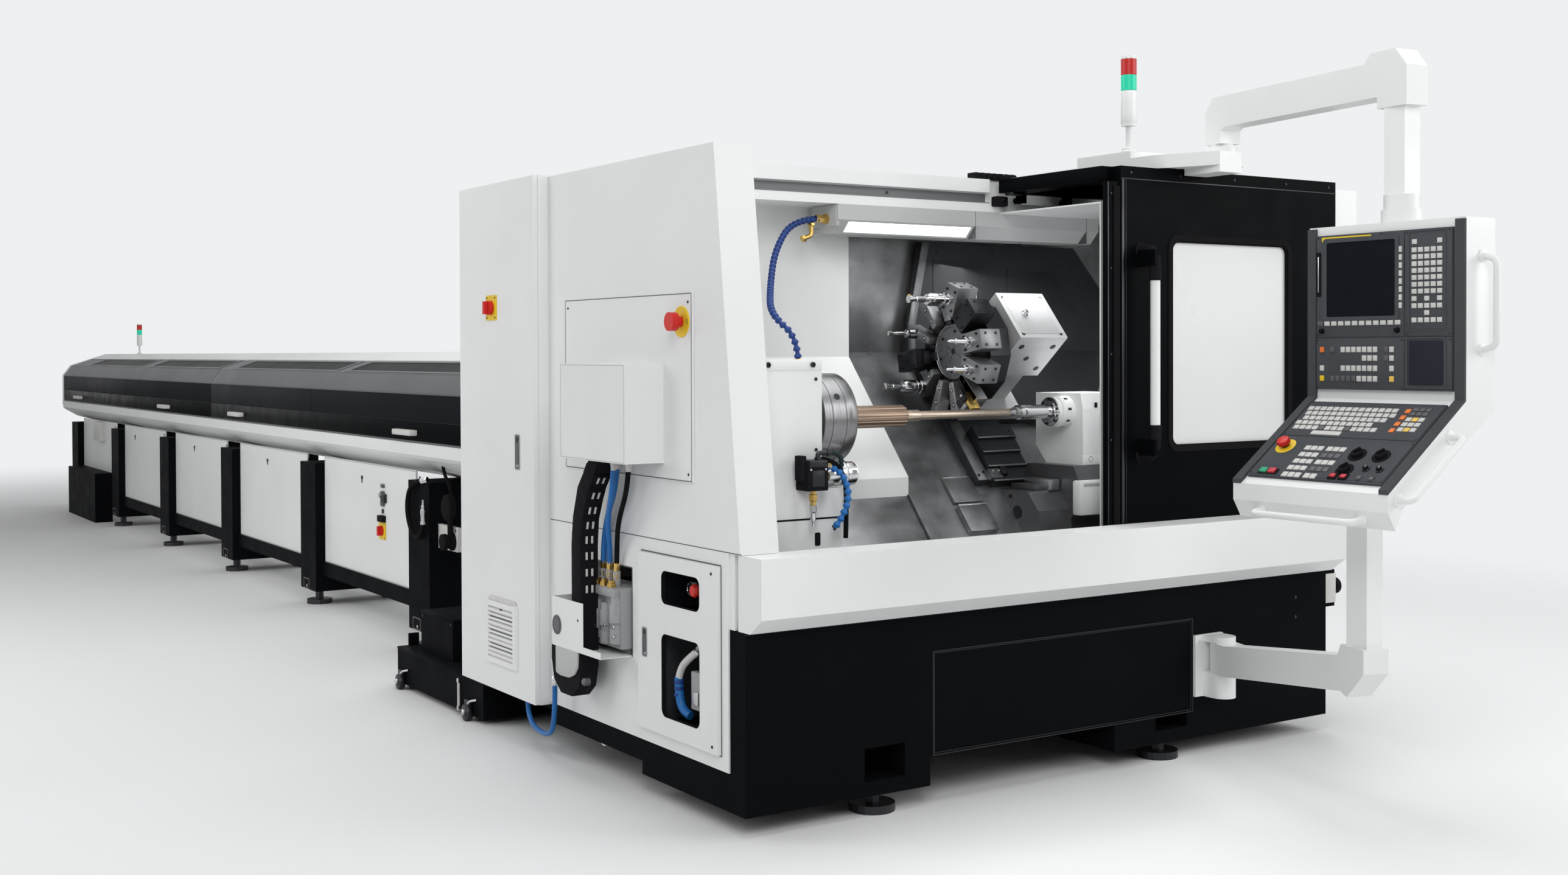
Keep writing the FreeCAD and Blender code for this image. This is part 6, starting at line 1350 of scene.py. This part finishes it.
# ---------------------------------------------------------------- end wall and cabinet
# the faces that look along -X: end wall, access panel, service door, cabinet door and service tray
WALL_X, PANEL_X, SERVICE_X, CABINET_X, TRAY_X = -0.0066, -0.0141, -0.0226, -0.0703, -0.1341


def on_wall(y, z, x):
    """A frame on a face that looks along -X: X towards the front, Y up, Z out of the wall."""
    return axes(spot(x, y, z), FRONT, UP)


def screw(kit, frame, radius):
    """A small domed screw with a dark recess."""
    kit.turned(frame, [(radius, 0), (radius, radius * 0.2), (radius * 0.7, radius * 0.45),
                       (radius * 0.42, radius * 0.5), (radius * 0.35, radius * 0.2), (0, radius * 0.2)],
               "gunmetal", 16)


def recess_lock(kit, frame, wide, high):
    """A flush latch: a dark shaped recess with a grey tongue and a keyhole."""
    kit.frame_ring(frame, (wide + 0.008, high + 0.008, 0.008), (wide, high, 0.005),
                   0.0018, "valve_grey")
    kit.plate(frame, rounded(wide, high, 0.005), 0.0007, "key_dark", 0)
    kit.plate(frame @ shift(0, -high * 0.06, 0.0004), rounded(wide * 0.52, high * 0.66, 0.003), 0.0016,
              "casting", 0.0006)
    kit.turned(frame @ shift(0, high * 0.37, 0), [(wide * 0.3, 0), (wide * 0.3, 0.0018), (0, 0.0022)],
               "gunmetal", 18)
    kit.block((0, -high * 0.4, 0.001), (wide * 0.6, high * 0.08, 0.0018), "sheet", 0.0004, frame)


def end_wall_detail():
    """Seams of the end wall, its panel and its box, screws, and the disc under the stop button."""
    kit = Kit("end_wall_detail", "machine")
    kit.span((WALL_X, 0.012, 0.9065), (-0.005, 1.424, 0.9095), "key_dark", 0)
    panel = on_wall(0.7855, 1.4355, PANEL_X)
    kit.frame_ring(panel, (0.957, 0.629, 0.004), (0.951, 0.623, 0.003), 0.0007, "key_dark")
    for y, z in ((0.33, 1.72), (0.33, 1.145), (1.24, 1.72)):
        screw(kit, on_wall(y, z, PANEL_X), 0.005)
    disc = on_wall(0.372, 1.655, PANEL_X)
    kit.turned(disc, [(0.0525, 0), (0.0525, 0.003), (0.0515, 0.0041), (0.036, 0.0041)], "yellow", 40)
    for x in (-0.034, 0.034):
        kit.plate(disc @ shift(x * 1.25, 0, 0.004), rounded(0.004, 0.018, 0.0015, 2), 0.0004, "key_dark", 0)
    kit.frame_ring(on_wall(0.75, 1.344, -0.1641), (0.492, 0.332, 0.006),
                   (0.488, 0.328, 0.004), 0.0005, "grey_light")
    kit.done()


def service_door_detail():
    """Rounded window corners, seam, screws and latch of the service door."""
    kit = Kit("service_door_detail", "service_door")
    for y0, y1, z0, z1 in ((0.246, 0.508, 0.308, 0.594), (0.246, 0.508, 0.694, 0.810)):
        window = on_wall((y0 + y1) / 2, (z0 + z1) / 2, SERVICE_X)
        wide, high = y1 - y0, z1 - z0
        kit.frame_ring(window, (wide + 0.008, high + 0.008, 0.004, 6),
                       (wide - 0.002, high - 0.002, 0.028, 6), 0.0009, "white")
        kit.frame_ring(window @ shift(0, 0, -0.0155), (wide - 0.0006, high - 0.0006, 0.001, 6),
                       (wide - 0.006, high - 0.006, 0.027, 6), 0.0155, "rubber")
    recess_lock(kit, on_wall(0.627, 0.546, SERVICE_X), 0.028, 0.096)
    seam = on_wall(0.4075, 0.5515, WALL_X)
    kit.frame_ring(seam, (0.549, 0.623, 0.004), (0.541, 0.615, 0.003), 0.0004, "key_dark")
    for y, z in ((0.172, 0.832), (0.169, 0.268)):
        screw(kit, on_wall(y, z, SERVICE_X), 0.0055)
    kit.done()


def inside_service():
    """Regulator, hoses and device that show through the service windows, with dark sheets behind them as
    painted shade inside the box.
    """
    kit = Kit("service_inside", "machine")
    kit.turned(on_wall(0.40, 0.752, 0.045), [(0.026, 0), (0.026, 0.012), (0.023, 0.014), (0.022, 0.012),
                                             (0, 0.012)], "chrome", 32)
    kit.turned(on_wall(0.40, 0.752, 0.0325), [(0.022, 0), (0, 0.0004)], "screen", 32)
    kit.turned(on_wall(0.354, 0.752, 0.045), [(0.012, 0), (0.012, 0.012), (0.0215, 0.016),
                                              (0.0235, 0.026), (0.018, 0.034), (0, 0.036)], "red", 28)
    kit.turned(on_wall(0.42, 0.75, 0.05), [(0.006, 0), (0.006, 0.012), (0.0, 0.012)], "chrome", 16)
    kit.span((0.025, 0.326, 0.348), (0.05, 0.389, 0.477), "valve_grey", 0.004)
    kit.span((0.020, 0.334, 0.366), (0.026, 0.378, 0.41), "sheet", 0.002)
    # dark sheets on the box's inner walls behind the two windows: painted shade inside the box
    for low, high, look in ((0.29, 0.612, "base_edge"), (0.676, 0.828, "screen")):
        kit.span((0.002, 0.520, low), (0.148, 0.5255, high), look, 0)
        kit.span((0.144, 0.230, low), (0.148, 0.521, high), look, 0)
    hose("window_white_hose", WHITE_ROUTE, 13, "key")
    hose("window_blue_hose", WINDOW_ROUTE, 15.5, "blue")
    for z in (0.436, 0.414, 0.392):
        kit.turned(seat(0.02, 0.4605, z, DOWN), [(0.017, 0), (0.0178, 0.003),
                                                              (0.0178, 0.009), (0.017, 0.012)],
                   "dark_blue", 24)
    kit.turned(facing(spot(0.02, 0.33, 0.553), (0, 0.8, -0.45)), [(0.0, -0.01), (0.016, -0.01),
                                                                 (0.016, 0.004), (0.014, 0.006)],
               "chrome", 6)
    kit.done()


def valve_detail():
    """Cylinders, blocks and brass of the grey valve unit, and the dark rim of its recess."""
    kit = Kit("valve_detail", "machine")
    for y, z, high, r in ((0.955, 0.52, 0.17, 0.030), (0.885, 0.505, 0.15, 0.024),
                          (0.80, 0.515, 0.17, 0.027)):
        kit.turned(seat(-0.040, y, z, UP),
                   [(0, 0), (r * 0.86, 0), (r, 0.004), (r, high * 0.3), (r * 0.8, high * 0.34),
                    (r * 0.8, high * 0.42), (r * 1.08, high * 0.46), (r * 1.08, high * 0.8),
                    (r * 0.82, high * 0.86), (r * 0.82, high), (0, high)], "valve_grey", 24)
    for x, y, z, size in ((-0.048, 0.955, 0.592, (0.028, 0.062, 0.078)),
                          (-0.048, 0.80, 0.640, (0.026, 0.050, 0.040)),
                          (-0.046, 0.865, 0.698, (0.034, 0.17, 0.034))):
        kit.block(spot(x, y, z), size, "valve_grey", 0.006)
    for y in (0.83, 0.885, 0.935):
        kit.turned(seat(-0.046, y, 0.703, UP),
                   [(0.018, 0.012), (0.018, 0.026), (0.013, 0.028), (0.013, 0.036), (0, 0.036)],
                   "brass", 6)
    kit.turned(on_wall(0.972, 0.615, -0.062), [(0.018, 0), (0.018, 0.012), (0.012, 0.016), (0, 0.016)],
               "valve_grey", 24)
    kit.pipe([spot(-0.058, 0.985, 0.56), spot(-0.066, 0.955, 0.545), spot(-0.066, 0.925, 0.57)], 0.0045,
             "chrome", 0.02, 12)
    for y, z in ((0.78, 0.58), (0.78, 0.545), (0.85, 0.58)):
        kit.bolt(on_wall(y, z, -0.064), 0.006, "bright")
    kit.frame_ring(on_wall(0.9045, 0.632, -0.0062), (0.317, 0.320, 0.006),
                   (0.308, 0.311, 0.003), 0.0006, "key_dark")
    kit.block(spot(-0.062, 0.985, 0.672), (0.05, 0.10, 0.018), "valve_grey", 0.004)
    kit.done()


def tray_detail():
    """Round gauge, hole, screws and shell at the service tray, and the links of the drag chain."""
    kit = Kit("tray_detail", "machine")
    gauge = on_wall(1.097, 0.553, TRAY_X)
    kit.turned(gauge, [(0.036, 0), (0.036, 0.002), (0.034, 0.003), (0.032, 0.001), (0, 0.001)],
               "key_dark", 32)
    kit.turned(gauge, [(0.024, 0.001), (0.024, 0.0022), (0.0, 0.0022)], "casting", 24)
    kit.turned(on_wall(0.925, 0.59, TRAY_X), [(0.0055, 0), (0.0055, 0.0008), (0, 0.0008)], "key_dark", 14)
    for y in (0.80, 0.90):
        kit.turned(seat(-0.10, y, 0.4745, DOWN), [(0.007, 0), (0.007, 0.006), (0, 0.008)],
                   "gunmetal", 12)
    for k in range(8):
        z = 0.70 + 0.06 * k
        bend = max(0.0, z - 0.86) / 0.315
        link = axes(spot(-0.087, 0.9615 - 0.15 * bend ** 2, z), (1, 0, 0), (0, -0.95 * bend, 1))
        kit.block((0, 0, 0), (0.0728, 0.053, 0.0755), "black_plastic", 0.007, link)
        for x in (-0.011, 0.011):
            kit.block((x, 0, 0.0382), (0.0085, 0.027, 0.0012), "key", 0.0004, link)
    shell = [(0.068, 0.07), (-0.075, 0.07), (-0.075, -0.065), (-0.045, -0.075), (0.01, -0.072),
             (0.045, -0.05), (0.064, -0.012)]
    kit.plate(on_wall(1.02, 0.425, -0.1222), [(x * 1.28, y * 0.76) for x, y in shell], 0.012, "grey_light",
              0.006)
    kit.turned(on_wall(0.885, 0.375, -0.110), [(0.014, 0), (0.014, 0.02), (0.009, 0.026), (0, 0.026)],
               "casting", 20)
    kit.done()


def cabinet_detail():
    """Latch and louvre of the cabinet door, and the rim and screws of its switch plate."""
    kit = Kit("cabinet_door_detail", "cabinet_door")
    recess_lock(kit, on_wall(1.585, 1.162, -0.0706), 0.038, 0.132)
    vent = on_wall(1.733, 0.432, -0.0704)
    kit.plate(vent, rounded(0.268, 0.268, 0.02), 0.010, "key", 0.0045)
    kit.frame_ring(vent @ shift(0, 0, 0.010), (0.236, 0.236, 0.008), (0.222, 0.222, 0.006),
                   0.0015, "key")
    for k in range(15):
        z = -0.098 + 0.0138 * k
        wide = 0.214 if k < 14 else 0.08
        for side in (0,) if k < 14 else (-1, 1):
            kit.block((side * 0.068, z, 0.0104), (wide, 0.0052, 0.0014), "key_dark", 0, vent)
    kit.block((0, 0.0955, 0.0106), (0.03, 0.02, 0.0016), "key_dark", 0.0005, vent)
    kit.done()
    kit = Kit("switch_plate", "cabinet_door")
    plate = on_wall(1.831, 1.736, CABINET_X)
    kit.frame_ring(plate, (0.101, 0.101, 0.008), (0.094, 0.094, 0.006), 0.0044, "yellow")
    for x in (-0.040, 0.040):
        for z in (-0.040, 0.040):
            screw(kit, plate @ shift(x, z, 0.0036), 0.0042)
    kit.done()


def base_detail():
    """Oval plug in the side pocket, sill joint, cover rims, screws and round plug of the base."""
    kit = Kit("base_detail", "machine")
    kit.plate(on_wall(0.997, 0.140, 0.022), rounded(0.052, 0.066, 0.024, 6), 0.02, "key", 0.005)
    front = front_plane(0, -0.0006, 0)
    cover = front @ shift(1.384, 0.3485, 0)
    # the rims round the front cover are real lips; their grey, lighter than the black base, is a painted
    # highlight along the cover's edges
    kit.frame_ring(cover, (1.262, 0.359, 0.004), (1.254, 0.351, 0.003), 0.0016, "base_edge")
    kit.frame_ring(cover @ shift(0, 0, -0.003), (1.248, 0.345, 0.004),
                   (1.242, 0.339, 0.003), 0.0012, "base_edge")
    kit.span((0.0, -0.0012, 0.652), (2.784, 0.0004, 0.6555), "base_edge", 0)
    for x, y in ((2.60, 0.56), (2.60, 0.48)):
        screw(kit, front @ shift(x, y, 0), 0.0065)
    plug = seat(2.871, 0.07, 0.575, RIGHT)
    kit.turned(plug, [(0.033, 0), (0.033, 0.006), (0.028, 0.008), (0.028, 0.03), (0.034, 0.034),
                      (0.034, 0.058), (0.024, 0.066), (0, 0.066)], "black_plastic", 28)
    kit.span((2.784, 0.02, 0.515), (2.873, 0.0245, 0.635), "key", 0.002)
    kit.done()


end_wall_detail()
service_door_detail()
inside_service()
valve_detail()
tray_detail()
cabinet_detail()
base_detail()

# ---------------------------------------------------------------- magazine
# the two lids along Y; their panes and their handles, each with the number of its lid
LIDS = ((3.005, 8.025), (8.031, 13.837))
LID_PANES = ((1, 3.20, 5.235), (1, 5.48, 7.70), (2, 8.17, 10.35), (2, 10.76, 13.0))
LID_HANDLES = ((1, 4.0), (1, 7.30), (2, 9.43), (2, 13.0))
# gap between a lid's pieces and its end
GAP = 0.002
# the slope of the lids' tops, the steeper way up below it, and X and Z of the bend between them
SLOPE = math.atan2(0.112, 0.335)
CHAMFER_UP = (0.068, 0, 0.096)
BEND = (0.447, 1.440)
# faces that look along -X: lid front, posts, skirts and connection box; the skirts' bays along Y
LID_X, POST_X, SKIRT_X, BOX_X = 0.3795, 0.3998, 0.4538, 0.45
BAYS_FROM_Y, BAY = 3.76, 1.9


def on_slope_of_lid(y, run, rise=0.0):
    """A frame on the sloping top of the lids: X towards the lathe, Y up the slope."""
    x = BEND[0] + run * math.cos(SLOPE) - rise * math.sin(SLOPE)
    z = BEND[1] + run * math.sin(SLOPE) + rise * math.cos(SLOPE)
    return axes(spot(x, y, z), FRONT, (math.cos(SLOPE), 0, math.sin(SLOPE)))


def lid_detail(number):
    """Window frames and panes, seams, the lower band and the white handles of one lid."""
    low, high = LIDS[number - 1]
    kit = Kit("lid_detail_%d" % number, "lid_%d" % number)
    middle, length = (low + high) / 2, high - low
    kit.span((0.3778, low + GAP, 1.1985), (LID_X, high - GAP, 1.2035), "rubber", 0)
    kit.span((0.3772, low + GAP, 1.094), (LID_X, high - GAP, 1.1975), "black_door", 0.0008)
    kit.span((0.3765, low + GAP, 1.204), (LID_X, high - GAP, 1.338), "lid_black", 0.0008)
    kit.plate(axes(spot(0.4129, middle, 1.392), FRONT, CHAMFER_UP) @ shift(0, 0, -0.0006),
              rounded(length - 0.004, 0.112, 0.002), 0.0016, "lid_grey", 0.0005)
    kit.block((0, 0.011, 0.0), (length - 0.004, 0.020, 0.0034), "lid_grey", 0.0008,
              on_slope_of_lid(middle, 0))
    kit.block((0, 0.279, 0.003), (length - 0.004, 0.146, 0.012), "white", 0.004,
              on_slope_of_lid(middle, 0))
    for start, end in (pane[1:] for pane in LID_PANES if pane[0] == number):
        frame = on_slope_of_lid((start + end) / 2, 0.108, 0.0)
        kit.frame_ring(frame, (end - start + 0.10, 0.186, 0.012), (end - start, 0.142, 0.02),
                       0.0042, "lid_grey")
        kit.plate(frame, rounded(end - start, 0.142, 0.02), 0.0012, "lid_pane", 0)
    for y in (handle[1] for handle in LID_HANDLES if handle[0] == number):
        bar = on_wall(y, 1.142, 0.3775)
        kit.plate(bar @ shift(0, 0.010, 0) @ turn(90, "X"),
                  [(-0.14, 0), (-0.128, 0.044), (0.128, 0.044), (0.14, 0)], 0.030, "key", 0.006)
        kit.block((0, -0.018, 0.004), (0.24, 0.006, 0.01), "grey_light", 0.002, bar)
    if number == 1:
        kit.span((0.3760, 5.655, 1.2045), (0.3772, 5.659, 1.3385), "rubber", 0)
    kit.done()


def magazine_detail():
    """White cap edge, skirt marks, post holes, switch plate and lock of the magazine."""
    kit = Kit("magazine_detail", "machine")
    cap = on_wall(13.868, 1.20, 0.3752)
    kit.block((0, 0.0, 0.001), (0.062, 0.30, 0.006), "white", 0.003, cap)
    for y in (4.952, 6.862, 8.834, 10.92):
        kit.turned(on_wall(y, 0.835, SKIRT_X), [(0.012, 0), (0.012, 0.004), (0.009, 0.006), (0, 0.006)],
                   "gunmetal", 18)
        kit.block((0, -0.019, 0.002), (0.008, 0.022, 0.004), "gunmetal", 0.001, on_wall(y, 0.835, SKIRT_X))
    for i in range(4):
        start = BAYS_FROM_Y + BAY * i
        low, high = start + 0.32, start + 1.88
        kit.frame_ring(on_wall((low + high) / 2, 0.60, SKIRT_X), (high - low - 0.004, 0.646, 0.004),
                       (high - low - 0.016, 0.634, 0.003), 0.0014, "grey_light")
    for i in range(5):
        y = BAYS_FROM_Y + BAY * i + 0.185
        kit.frame_ring(on_wall(y, 0.125, POST_X), (0.112, 0.066, 0.006), (0.10, 0.054, 0.004),
                       0.002, "key_dark")
        kit.plate(on_wall(y, 0.125, POST_X), rounded(0.10, 0.054, 0.004), 0.0006, "rubber", 0)
        kit.turned(on_wall(y - 0.018, 0.112, POST_X), [(0.009, 0), (0.009, 0.005), (0, 0.006)], "chrome", 16)
        screw(kit, on_wall(y - 0.06, 0.90, POST_X), 0.009)
    lock = on_wall(4.60, 0.737, SKIRT_X)
    kit.plate(lock, rounded(0.05, 0.086, 0.006), 0.010, "casting", 0.002)
    kit.block((0.03, 0.004, 0.008), (0.055, 0.05, 0.016), "gunmetal", 0.003, lock)
    kit.turned(lock @ shift(-0.004, 0.02, 0.01), [(0.014, 0), (0.014, 0.012), (0, 0.013)], "bright", 20)
    kit.block((0, -0.070, 0.004), (0.018, 0.024, 0.008), "gunmetal", 0.002, lock)
    kit.block((0, 0.072, 0.004), (0.05, 0.022, 0.008), "casting", 0.002, lock)
    kit.plate(on_wall(4.60, 0.625, SKIRT_X), rounded(0.08, 0.036, 0.004), 0.024, "black_plastic", 0.002)
    kit.plate(on_wall(4.610, 0.556, SKIRT_X), rounded(0.105, 0.098, 0.006), 0.006, "yellow", 0.001)
    for z in (0.516, 0.596):
        screw(kit, on_wall(4.57, z, SKIRT_X - 0.006), 0.004)
    kit.plate(on_wall(3.655, 0.604, 0.47), rounded(0.315, 0.125, 0.006), 0.02, "key", 0.002)
    for y, z in ((3.79, 0.65), (3.52, 0.65), (3.79, 0.56)):
        screw(kit, on_wall(y, z, BOX_X), 0.006)
    socket = on_wall(3.56, 0.592, BOX_X)
    kit.turned(socket, [(0.046, 0), (0.046, 0.012), (0.036, 0.016), (0.036, 0.035), (0.042, 0.038),
                        (0.042, 0.06), (0, 0.064)], "rubber", 28)
    kit.turned(on_wall(3.575, 0.765, BOX_X), [(0.062, 0), (0.068, 0.006), (0.068, 0.03), (0.056, 0.036),
                                             (0.036, 0.038), (0, 0.038)], "rubber", 32)
    kit.block((0, -0.005, 0.02), (0.034, 0.17, 0.026), "rubber", 0.01, on_wall(3.545, 0.68, BOX_X))
    kit.block((0, 0, 0), (0.066, 0.116, 0.008), "white", 0.003,
              axes(spot(0.412, 13.866, 1.391), (0, 1, 0), CHAMFER_UP))
    kit.span((0.400, 12.20, 0.735), (0.47, 12.47, 0.919), "key", 0.006)
    kit.done()


def connection_hoses():
    """Two hoses at the magazine's near end with their couplings."""
    kit = Kit("hose_couplings", "machine")
    hose("loop_hose", LOOP_ROUTE, 13, "rubber")
    hose("coupling_hose", COUPLING_ROUTE, 9, "rubber")
    end = seat(0.38, 3.79, 0.662, UP)
    kit.turned(end, [(0.0125, 0), (0.0165, 0.003), (0.0165, 0.016), (0.014, 0.018), (0.014, 0.05),
                     (0.0165, 0.053), (0.0165, 0.078), (0.012, 0.082), (0.012, 0.10), (0.008, 0.104),
                     (0.008, 0.13), (0, 0.13)], "chrome", 20)
    top = facing(spot(0.40, 3.80, 0.895), (-0.5, 0.8, -0.2))
    kit.turned(top, [(0.014, -0.01), (0.0165, -0.008), (0.0165, 0.03), (0.014, 0.034)], "chrome", 6)
    kit.done()


def tank_detail():
    """Lid seams, wheels with brake levers and a level gauge on the coolant tank."""
    kit = Kit("tank_detail", "machine")
    kit.span((-0.052, 1.988, 0.176), (0.552, 3.002, 0.1885), "black", 0.003)
    kit.span((0.003, 2.458, 0.362), (0.337, 2.842, 0.3745), "black", 0.004)
    for y in (2.48, 2.82):
        screw(kit, on_wall(y, 0.35, 0.005), 0.006)
    for y in (2.13, 2.93):
        wheel = on_wall(y, 0.036, -0.051)
        kit.turned(wheel, [(0.034, 0), (0.036, 0.004), (0.036, 0.022), (0.034, 0.026), (0.02, 0.028),
                           (0.012, 0.032), (0, 0.032)], "gunmetal", 28)
        kit.turned(wheel @ shift(0.004, 0.004, 0.028), [(0.013, 0), (0.013, 0.008), (0.009, 0.011),
                                                        (0, 0.011)], "chrome", 20)
        kit.pipe([spot(-0.066, y, 0.06), spot(-0.068, y - 0.03, 0.088), spot(-0.052, y - 0.075, 0.098)],
                 0.0055, "chrome", 0.02, 12)
        kit.block(spot(-0.058, y, 0.075), (0.02, 0.05, 0.03), "gunmetal", 0.004)
    kit.pipe([spot(-0.0575, 2.24, 0.035), spot(-0.0575, 2.24, 0.15)], 0.006, "key", 0.01, 12)
    for z in (0.034, 0.152):
        kit.turned(on_wall(2.24, z, -0.051), [(0.011, 0), (0.011, 0.012), (0, 0.014)], "chrome", 18)
    kit.span((0.0, 2.985, 0.18), (0.05, 2.999, 0.245), "black", 0.003)
    kit.done()


# ---------------------------------------------------------------- signal lamps
def tower_detail(name, x, y, base, scale):
    """Base foot, case rings, clear cap and lens ribs of a signal lamp."""
    kit = Kit(name, "machine")
    at = seat(x, y, base, UP) @ Matrix.Scale(scale, 4)
    kit.turned(at, [(0.032, 0), (0.032, 0.004), (0.026, 0.008), (0.014, 0.012), (0.012, 0.02)], "white", 28)
    kit.turned(at @ shift(0, 0, 0.1), [(0.012, 0), (0.022, 0.004), (0.0305, 0.012), (0.0305, 0.016)],
               "white", 32)
    for look, low, high in (("white", 0.112, 0.240), ("lamp_green", 0.240, 0.302),
                            ("lamp_red", 0.302, 0.364)):
        profile = [(0.0302, low + 0.0004), (0.0312, low + 0.003)]
        ribs = 1 if look == "white" else 9
        step = (high - low - 0.006) / ribs
        for k in range(ribs):
            z = low + 0.003 + step * k
            profile += [(0.0312, z + step * 0.3), (0.0307, z + step * 0.7), (0.0312, z + step)]
        profile += [(0.0302, high - 0.0004)]
        kit.turned(at, profile, look, 32)
    kit.turned(at, [(0.0312, 0.3645), (0.0305, 0.372), (0.026, 0.3752), (0, 0.3758)], "lamp_clear", 32)
    kit.done()


for lid in (1, 2):
    lid_detail(lid)
magazine_detail()
connection_hoses()
tank_detail()
tower_detail("tower_detail", 1.938, 0.262, 2.33, 1.0)
tower_detail("magazine_tower_detail", 0.876, 12.71, 1.56, 0.78)

# ---------------------------------------------------------------- floor and light
FLOOR_HALF = 60
floor_mesh = bpy.data.meshes.new("floor")
floor_mesh.from_pydata([(-FLOOR_HALF, -FLOOR_HALF, 0), (FLOOR_HALF, -FLOOR_HALF, 0),
                        (FLOOR_HALF, FLOOR_HALF, 0), (-FLOOR_HALF, FLOOR_HALF, 0)], [], [(0, 1, 2, 3)])
floor = bpy.data.objects.new("floor", floor_mesh)
bpy.context.scene.collection.objects.link(floor)
BACKDROP = (0.86, 0.87, 0.88, 1)
# the floor turns into the backdrop between two distances from the middle of the row, whose length
# along Y counts half; it fades for the camera only and stays a floor for every other ray
FADE_MIDDLE, FADE_SQUASH, FADE_FROM, FADE_TO = (0.5, 2.75, 0), (1, 0.5, 1), 3.2, 8.0
AMBIENT, FLOOR_GLOSS = 0.22, 0.1
floor_look, tree, floor_main = shader("floor_look", (0.86, 0.865, 0.87), 0.6)
vary_rough(tree, floor_main, noise(tree, 0.8), 0.55, 0.66)
floor_main.inputs["Specular IOR Level"].default_value = FLOOR_GLOSS
far = node(tree, "ShaderNodeMapRange", {"From Min": FADE_FROM, "From Max": FADE_TO})
far.interpolation_type = "SMOOTHSTEP"
place = node(tree, "ShaderNodeNewGeometry")
squash = node(tree, "ShaderNodeVectorMath", {1: FADE_SQUASH})
squash.operation = "MULTIPLY"
reach = node(tree, "ShaderNodeVectorMath", {1: FADE_MIDDLE})
reach.operation = "DISTANCE"
pale = node(tree, "ShaderNodeEmission", {"Color": BACKDROP})
rays = node(tree, "ShaderNodeLightPath")
share = node(tree, "ShaderNodeMath")
share.operation = "MULTIPLY"
blend = node(tree, "ShaderNodeMixShader")
wire(tree,
     (place, "Position", squash, 0), (squash, "Vector", reach, 0), (reach, "Value", far, "Value"),
     (far, "Result", share, 0), (rays, "Is Camera Ray", share, 1), (share, "Value", blend, "Fac"),
     (floor_main, "BSDF", blend, 1), (pale, "Emission", blend, 2),
     (blend, "Shader", tree.nodes["Material Output"], "Surface"))
floor_mesh.materials.append(floor_look)

# the backdrop for the camera, for clear things and for reflections; an even soft light for the rest
world = bpy.data.worlds.new("studio")
bpy.context.scene.world = world
world.use_nodes = True
tree = world.node_tree
even = tree.nodes["Background"]
even.inputs["Color"].default_value = (1, 1, 1, 1)
even.inputs["Strength"].default_value = AMBIENT
seen = node(tree, "ShaderNodeBackground", {"Color": BACKDROP, "Strength": 1.0})
rays = node(tree, "ShaderNodeLightPath")
either, shiny = node(tree, "ShaderNodeMath"), node(tree, "ShaderNodeMath")
either.operation = shiny.operation = "MAXIMUM"
mix = node(tree, "ShaderNodeMixShader")
wire(tree,
     (rays, "Is Camera Ray", either, 0), (rays, "Is Transmission Ray", either, 1),
     (either, "Value", shiny, 0), (rays, "Is Glossy Ray", shiny, 1), (shiny, "Value", mix, "Fac"),
     (even, "Background", mix, 1), (seen, "Background", mix, 2),
     (mix, "Shader", tree.nodes["World Output"], "Surface"))


def area_light(name, at, towards, size, power):
    """A soft square lamp at a point, aimed at another."""
    lamp = bpy.data.objects.new(name, bpy.data.lights.new(name, "AREA"))
    lamp.data.size = size
    lamp.data.energy = power
    lamp.location = at
    lamp.rotation_euler = (Vector(towards) - Vector(at)).to_track_quat("-Z", "Y").to_euler()
    bpy.context.scene.collection.objects.link(lamp)


# name, place, point it is aimed at, size and power
LAMPS = (
    ("key_light", (-3.5, -5.5, 5.5), (0.8, 0.5, 1.0), 4.0, 245),
    ("fill_light", (5.5, -4.5, 3.5), (1.2, 0.0, 1.2), 4.0, 190),
    ("top_light", (1.0, 0.5, 6.0), (1.0, 0.8, 1.0), 5.0, 190),
    ("side_light", (-6.0, 5.0, 4.0), (0.0, 6.0, 1.0), 5.0, 200),
    ("back_light", (7.0, 8.0, 5.0), (0.8, 5.0, 1.0), 6.0, 260),
    ("inside_light", (1.1, 0.58, 1.95), (1.0, 0.42, 1.0), 0.5, 11))
for row in LAMPS:
    area_light(*row)
bpy.data.objects["inside_light"].visible_glossy = False
